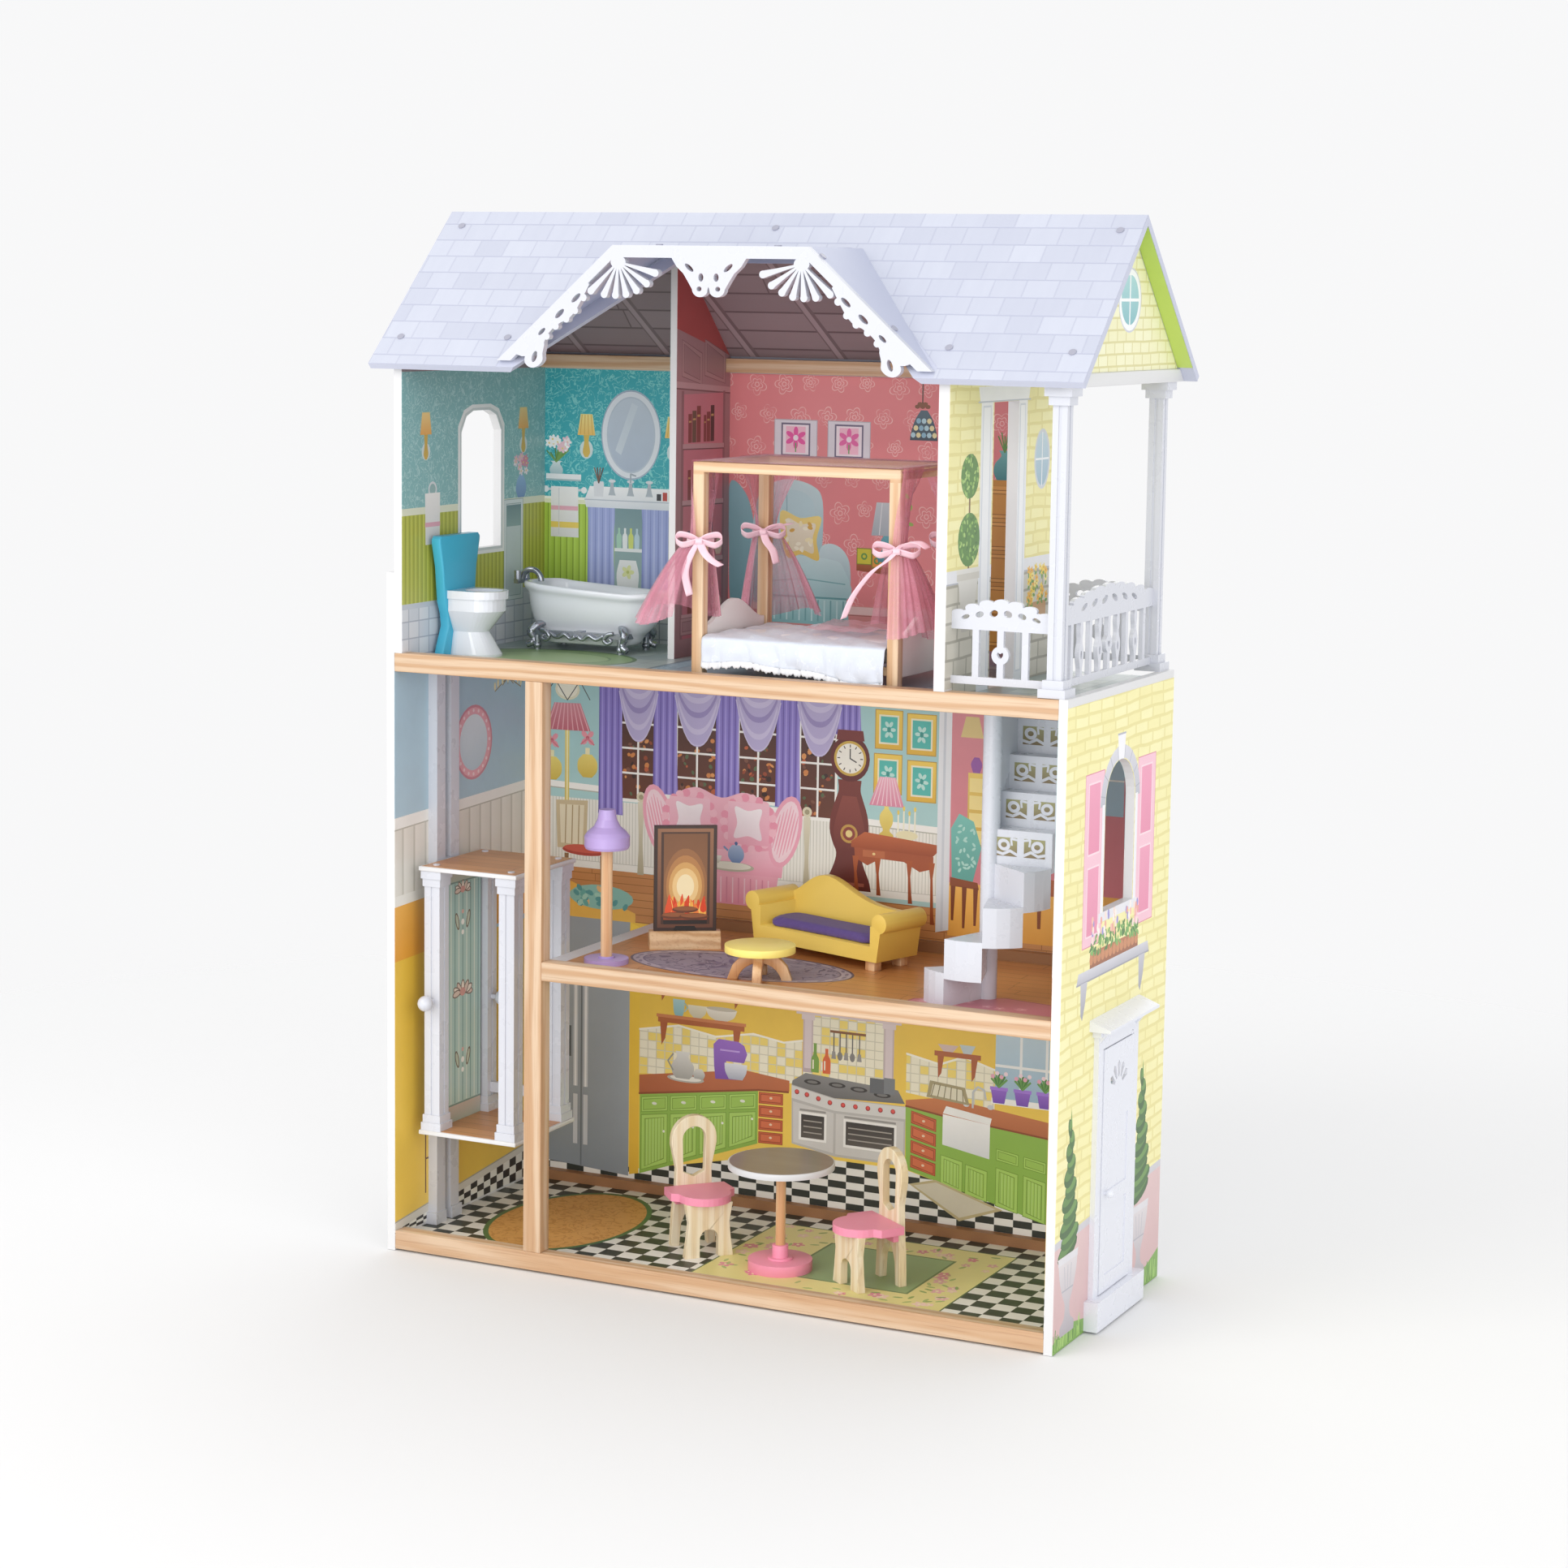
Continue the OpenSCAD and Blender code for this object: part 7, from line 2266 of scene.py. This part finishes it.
def blown(name, outline, z0, z1, mat, body, cap, voxel):
    """A stuffed pad: a block cut to outline, remeshed, then blown up a little by a cloth simulation."""
    verts, faces = [], []
    n = len(outline)
    for z in (z0, z1):
        verts += [(x * MM, y * MM, z * MM) for x, y in outline]
    faces.append(list(range(n))[::-1])
    faces.append(list(range(n, 2 * n)))
    faces += [(i, (i + 1) % n, n + (i + 1) % n, n + i) for i in range(n)]
    mesh = bpy.data.meshes.new(name)
    mesh.from_pydata(verts, [], faces)
    obj = bpy.data.objects.new(name, mesh)
    bpy.context.scene.collection.objects.link(obj)
    bpy.context.view_layer.objects.active = obj
    m = obj.modifiers.new("remesh", "REMESH")
    m.mode = "VOXEL"
    m.voxel_size = voxel * MM
    deps = bpy.context.evaluated_depsgraph_get()
    done = bpy.data.meshes.new_from_object(obj.evaluated_get(deps))
    obj.modifiers.clear()
    obj.data = done
    before = np.empty(len(done.vertices) * 3)
    done.vertices.foreach_get("co", before)
    before = before.reshape(-1, 3)
    cloth = obj.modifiers.new("cloth", "CLOTH")
    s = cloth.settings
    s.quality = 6
    s.mass = 0.1
    s.tension_stiffness = s.compression_stiffness = 12
    s.bending_stiffness = 0.4
    s.use_pressure = True
    s.uniform_pressure_force = 3.0
    s.effector_weights.gravity = 0
    cloth.collision_settings.use_collision = False
    sc = bpy.context.scene
    for f in range(1, CLOTH_STEPS + 1):
        sc.frame_set(f)
    deps = bpy.context.evaluated_depsgraph_get()
    after = bpy.data.meshes.new_from_object(obj.evaluated_get(deps))
    now = np.empty(len(after.vertices) * 3)
    after.vertices.foreach_get("co", now)
    now = now.reshape(-1, 3)
    obj.modifiers.clear()
    sc.frame_set(1)
    move = now - before
    far = np.linalg.norm(move, axis=1, keepdims=True)
    move *= np.minimum(1.0, cap * MM / np.maximum(far, 1e-9))
    now = before + move
    now[:, 2] = np.maximum(now[:, 2], z0 * MM)
    done.vertices.foreach_set("co", now.ravel())
    bpy.data.meshes.remove(after)
    done.materials.clear()
    done.materials.append(mat)
    for p in done.polygons:
        p.use_smooth = True
    sub = obj.modifiers.new("smooth", "SUBSURF")
    sub.levels = sub.render_levels = 1
    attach(obj, body)
    return obj


def rounded(x0, y0, x1, y1, r):
    """A rectangle's outline with round corners."""
    out, n = [], 5
    for cx, cy, a in ((x1 - r, y0 + r, -90), (x1 - r, y1 - r, 0), (x0 + r, y1 - r, 90),
                      (x0 + r, y0 + r, 180)):
        out += [(cx + r * math.cos(math.radians(a + 90 * i / n)),
                 cy + r * math.sin(math.radians(a + 90 * i / n))) for i in range(n + 1)]
    return out


def bedding():
    """Mattress pad, spread and its lace edge."""
    # mattress, blown up between the posts
    pad = blown("mattress_pad", rounded(-22, -114, 187, 24, 8), 706, 724,
                satin_material("mattress_cloth", "f4f4f6", "e8e9ee"), "canopy_bed",
                5.0, 5.0)
    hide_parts("bed_mattress")
    # spread: over the pad, down the front and a little down the back
    def hem(x):
        return 699 - 12 * soft_step((x - 50) / 120) + 1.8 * math.sin(x * 0.07)
    rows, nx = [], 96
    for j in range(45):
        row = []
        for i in range(nx + 1):
            x = -25.4 + 216 * i / nx
            k = j / 44
            wave = waver(x * 0.05, k * 2.2, 0.7)
            if k < 0.7:
                y = 26 - (26 + 128) * k / 0.7
                along = math.sin(math.pi * min(1.0, k / 0.7 * 0.92 + 0.08)) ** 0.5
                crown = 4.5 * math.sin(math.pi * min(1, max(0, (x + 25) / 216))) ** 0.4 * along
                z = MATTRESS_Z - 3.6 + crown + 2.6 * wave + 0.9 * math.sin(x * 0.1 + y * 0.13 + 3 * wave)
                z += 0.9 * waver(x * 0.18, y * 0.14, 2)
            else:
                d = (k - 0.7) / 0.3
                turn = min(1.0, d / 0.22)
                top = MATTRESS_Z - 3.2
                if d < 0.22:
                    z = top - 4 * (1 - math.cos(turn * math.pi / 2))
                else:
                    z = top - 4 - (top - 4 - hem(x)) * (d - 0.22) / 0.78
                fold = waver(x * 0.035 + k * 1.6, k * 5.0, 3.1)
                swell = (2.6 * math.sin(x * 0.11 + 3.2 * wave) + 3.4 * fold) * min(1.0, d * 1.6)
                y = -128 - 4.6 * math.sin(turn * math.pi / 2) - abs(swell)
                y -= 1.2 * d * soft_step((x - 100) / 80)
            row.append((x, y, z))
        rows.append(row)
    area, length = cloth_size(rows)
    spread = grid_piece("bed_spread", rows, QUILT, "canopy_bed", thick=0.5)
    # lace: a scalloped strip under the hem
    p_rows = []
    n = 216
    for t in (0, 0.33, 0.66, 1.0):
        row = []
        for i in range(n + 1):
            x = -25.4 + 216 * i / n
            k = min(nx, int(i / n * nx))
            base = rows[-1][k]
            scallop = 5.2 + 2.6 * abs(math.sin(x * math.pi / 12.0)) + 0.8 * math.sin(x * math.pi / 2.4)
            row.append((x, base[1] - 0.5 - t * 0.9 - 0.5 * math.sin(x * 0.8),
                        max(680.0, base[2] + 1.2 - scallop * t)))
        p_rows.append(row)
    lace = grid_piece("spread_lace", p_rows, LACE, "canopy_bed", thick=0.35)


def sofa_pad():
    """The sofa's stuffed seat, cut to the CAD cushion's outline."""
    o = nodes["sofa_cushion"]
    pts = np.array([tuple(v.co) for v in o.data.vertices]) / MM
    z0, z1 = pts[:, 2].min(), pts[:, 2].max()
    ring = pts[np.abs(pts[:, 2] - z1) < 0.3][:, :2]
    c = ring.mean(axis=0)
    order = np.argsort(np.arctan2(ring[:, 1] - c[1], ring[:, 0] - c[0]))
    outline, last = [], None
    for p in ring[order]:
        if last is None or np.hypot(*(p - last)) > 1.0:
            q = c + (p - c) * (1 - 2.2 / max(1.0, np.hypot(*(p - c))))
            outline.append((float(q[0]), float(q[1])))
            last = p
    pad = blown("sofa_seat_pad", outline, z0 + 0.2, z1 - 1.4, FELT, "sofa", 3.2, 3.0)
    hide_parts("sofa_cushion")


for make in (canopy, tulle_sheet, tulle_end, bedding, sofa_pad):
    make()


# ---------------------------------------------------------------- bathtub
TUB_AT = (-269, 60, 679.2)


def tub_shell():
    """The tub's rolled rim and tapering body, as rings from its foot over the rim to the inside bottom.

    A ring is its height, the x of its two end centres, its half width, and how far it follows
    the raised ends."""
    rings = [(7, -36, 36, 22, 0), (9, -37, 37, 24, 0), (15, -40, 40, 25.5, 0), (19, -42, 44, 22, 0),
             (24, -48, 54, 20, 0), (30, -48, 55, 24.5, 0),
             (38, -47, 57, 28.5, 0.1), (46, -46.5, 58.5, 31.3, 0.3), (54, -46, 60, 33, 0.6),
             (58, -46, 61, 34.2, 0.85), (60, -47, 63, 37, 1),
             (62.5, -47.5, 63.5, 38, 1), (65.5, -47.5, 63.5, 38, 1), (67.6, -47, 63, 36.6, 1),
             (67.8, -46.5, 62, 34.4, 1), (65, -46, 60.5, 31.8, 1),
             (58, -46, 59, 29.5, 0.75), (48, -46, 56, 26, 0.4), (38, -46, 54, 21, 0.1),
             (31, -46, 53, 14, 0), (29.5, -46, 52, 7, 0), (29.3, -44, 50, 1, 0)]
    side, verts, faces = 22, [], []
    for z, xa, xb, r, follow in rings:
        for cx, first in ((xb, -90), (xa, 90)):
            for i in range(side):
                a = math.radians(first + 180 * i / (side - 1))
                x, y = cx + r * math.cos(a), r * math.sin(a)
                raised = 10 * soft_step((-8 - x) / 56) + 4 * soft_step((x - 30) / 60)
                verts.append(Vector((x, y, z + raised * follow)) + Vector(TUB_AT))
    n = side * 2
    for k in range(len(rings) - 1):
        faces += [(k * n + i, k * n + (i + 1) % n, (k + 1) * n + (i + 1) % n,
                   (k + 1) * n + i) for i in range(n)]
    faces.append(tuple(range(n))[::-1])
    faces.append(tuple(range((len(rings) - 1) * n, len(rings) * n)))
    shell = mesh_piece("tub_shell", verts, faces, CERAMIC, "bathtub")
    sub = shell.modifiers.new("smooth", "SUBSURF")
    sub.levels = sub.render_levels = 1
    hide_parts("bathtub_shell")


def tube(bm, points, radii):
    """A closed tapering rod along points, added to bm."""
    loops, lift, sides = [], Vector((0.31, 0.17, 0.93)), 10
    for i, p in enumerate(points):
        ahead = (points[min(i + 1, len(points) - 1)] - points[max(i - 1, 0)]).normalized()
        a = ahead.cross(lift).normalized()
        b = a.cross(ahead)
        k = i / (len(points) - 1) * (len(radii) - 1)
        j = min(int(k), len(radii) - 2)
        r = radii[j] + (radii[j + 1] - radii[j]) * (k - j)
        around = [p + (a * math.cos(t) + b * math.sin(t)) * r for t in angles(sides)[:-1]]
        loops.append([bm.verts.new(q * MM) for q in around])
    for one, two in zip(loops, loops[1:]):
        for q in range(sides):
            bm.faces.new((one[q], one[(q + 1) % sides], two[(q + 1) % sides], two[q]))
    bm.faces.new(loops[0][::-1])
    bm.faces.new(loops[-1])


def tub_scrolls():
    """Silver scrollwork: a claw at each corner and waves between them."""
    bm = bmesh.new()
    o = Vector(TUB_AT)
    for sx in (-1, 1):
        for sy in (-1, 1):
            claw = [(50, 22, 30), (57, 29, 27), (62, 34, 20), (59, 33, 13), (60, 34, 8), (66, 36, 5)]
            tube(bm, through([o + Vector((sx * x, sy * y, z)) for x, y, z in claw], 5),
                 [3.2, 5.4, 5.0, 3.6, 4.4, 3.6])
            curl = [(48, 36, 24), (40, 36.5, 22), (36, 36.5, 16), (41, 36.5, 12), (46, 36.5, 15),
                    (43, 36.5, 18)]
            tube(bm, through([o + Vector((sx * x, sy * y, z)) for x, y, z in curl], 5),
                 [2.4, 2.6, 2.2, 1.4])
            wave = [(36, 36, 21), (26, 36.4, 16), (16, 36.4, 20), (8, 36.4, 15), (2, 36, 18)]
            tube(bm, through([o + Vector((sx * x, sy * y, z)) for x, y, z in wave], 5),
                 [2.0, 2.6, 2.2, 2.6])
    mesh = bpy.data.meshes.new("tub_scrolls")
    bmesh.ops.recalc_face_normals(bm, faces=bm.faces)
    bm.to_mesh(mesh)
    bm.free()
    mesh.materials.append(SILVER)
    for p in mesh.polygons:
        p.use_smooth = True
    obj = bpy.data.objects.new("tub_scrolls", mesh)
    bpy.context.scene.collection.objects.link(obj)
    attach(obj, "bathtub")


tub_shell()
tub_scrolls()
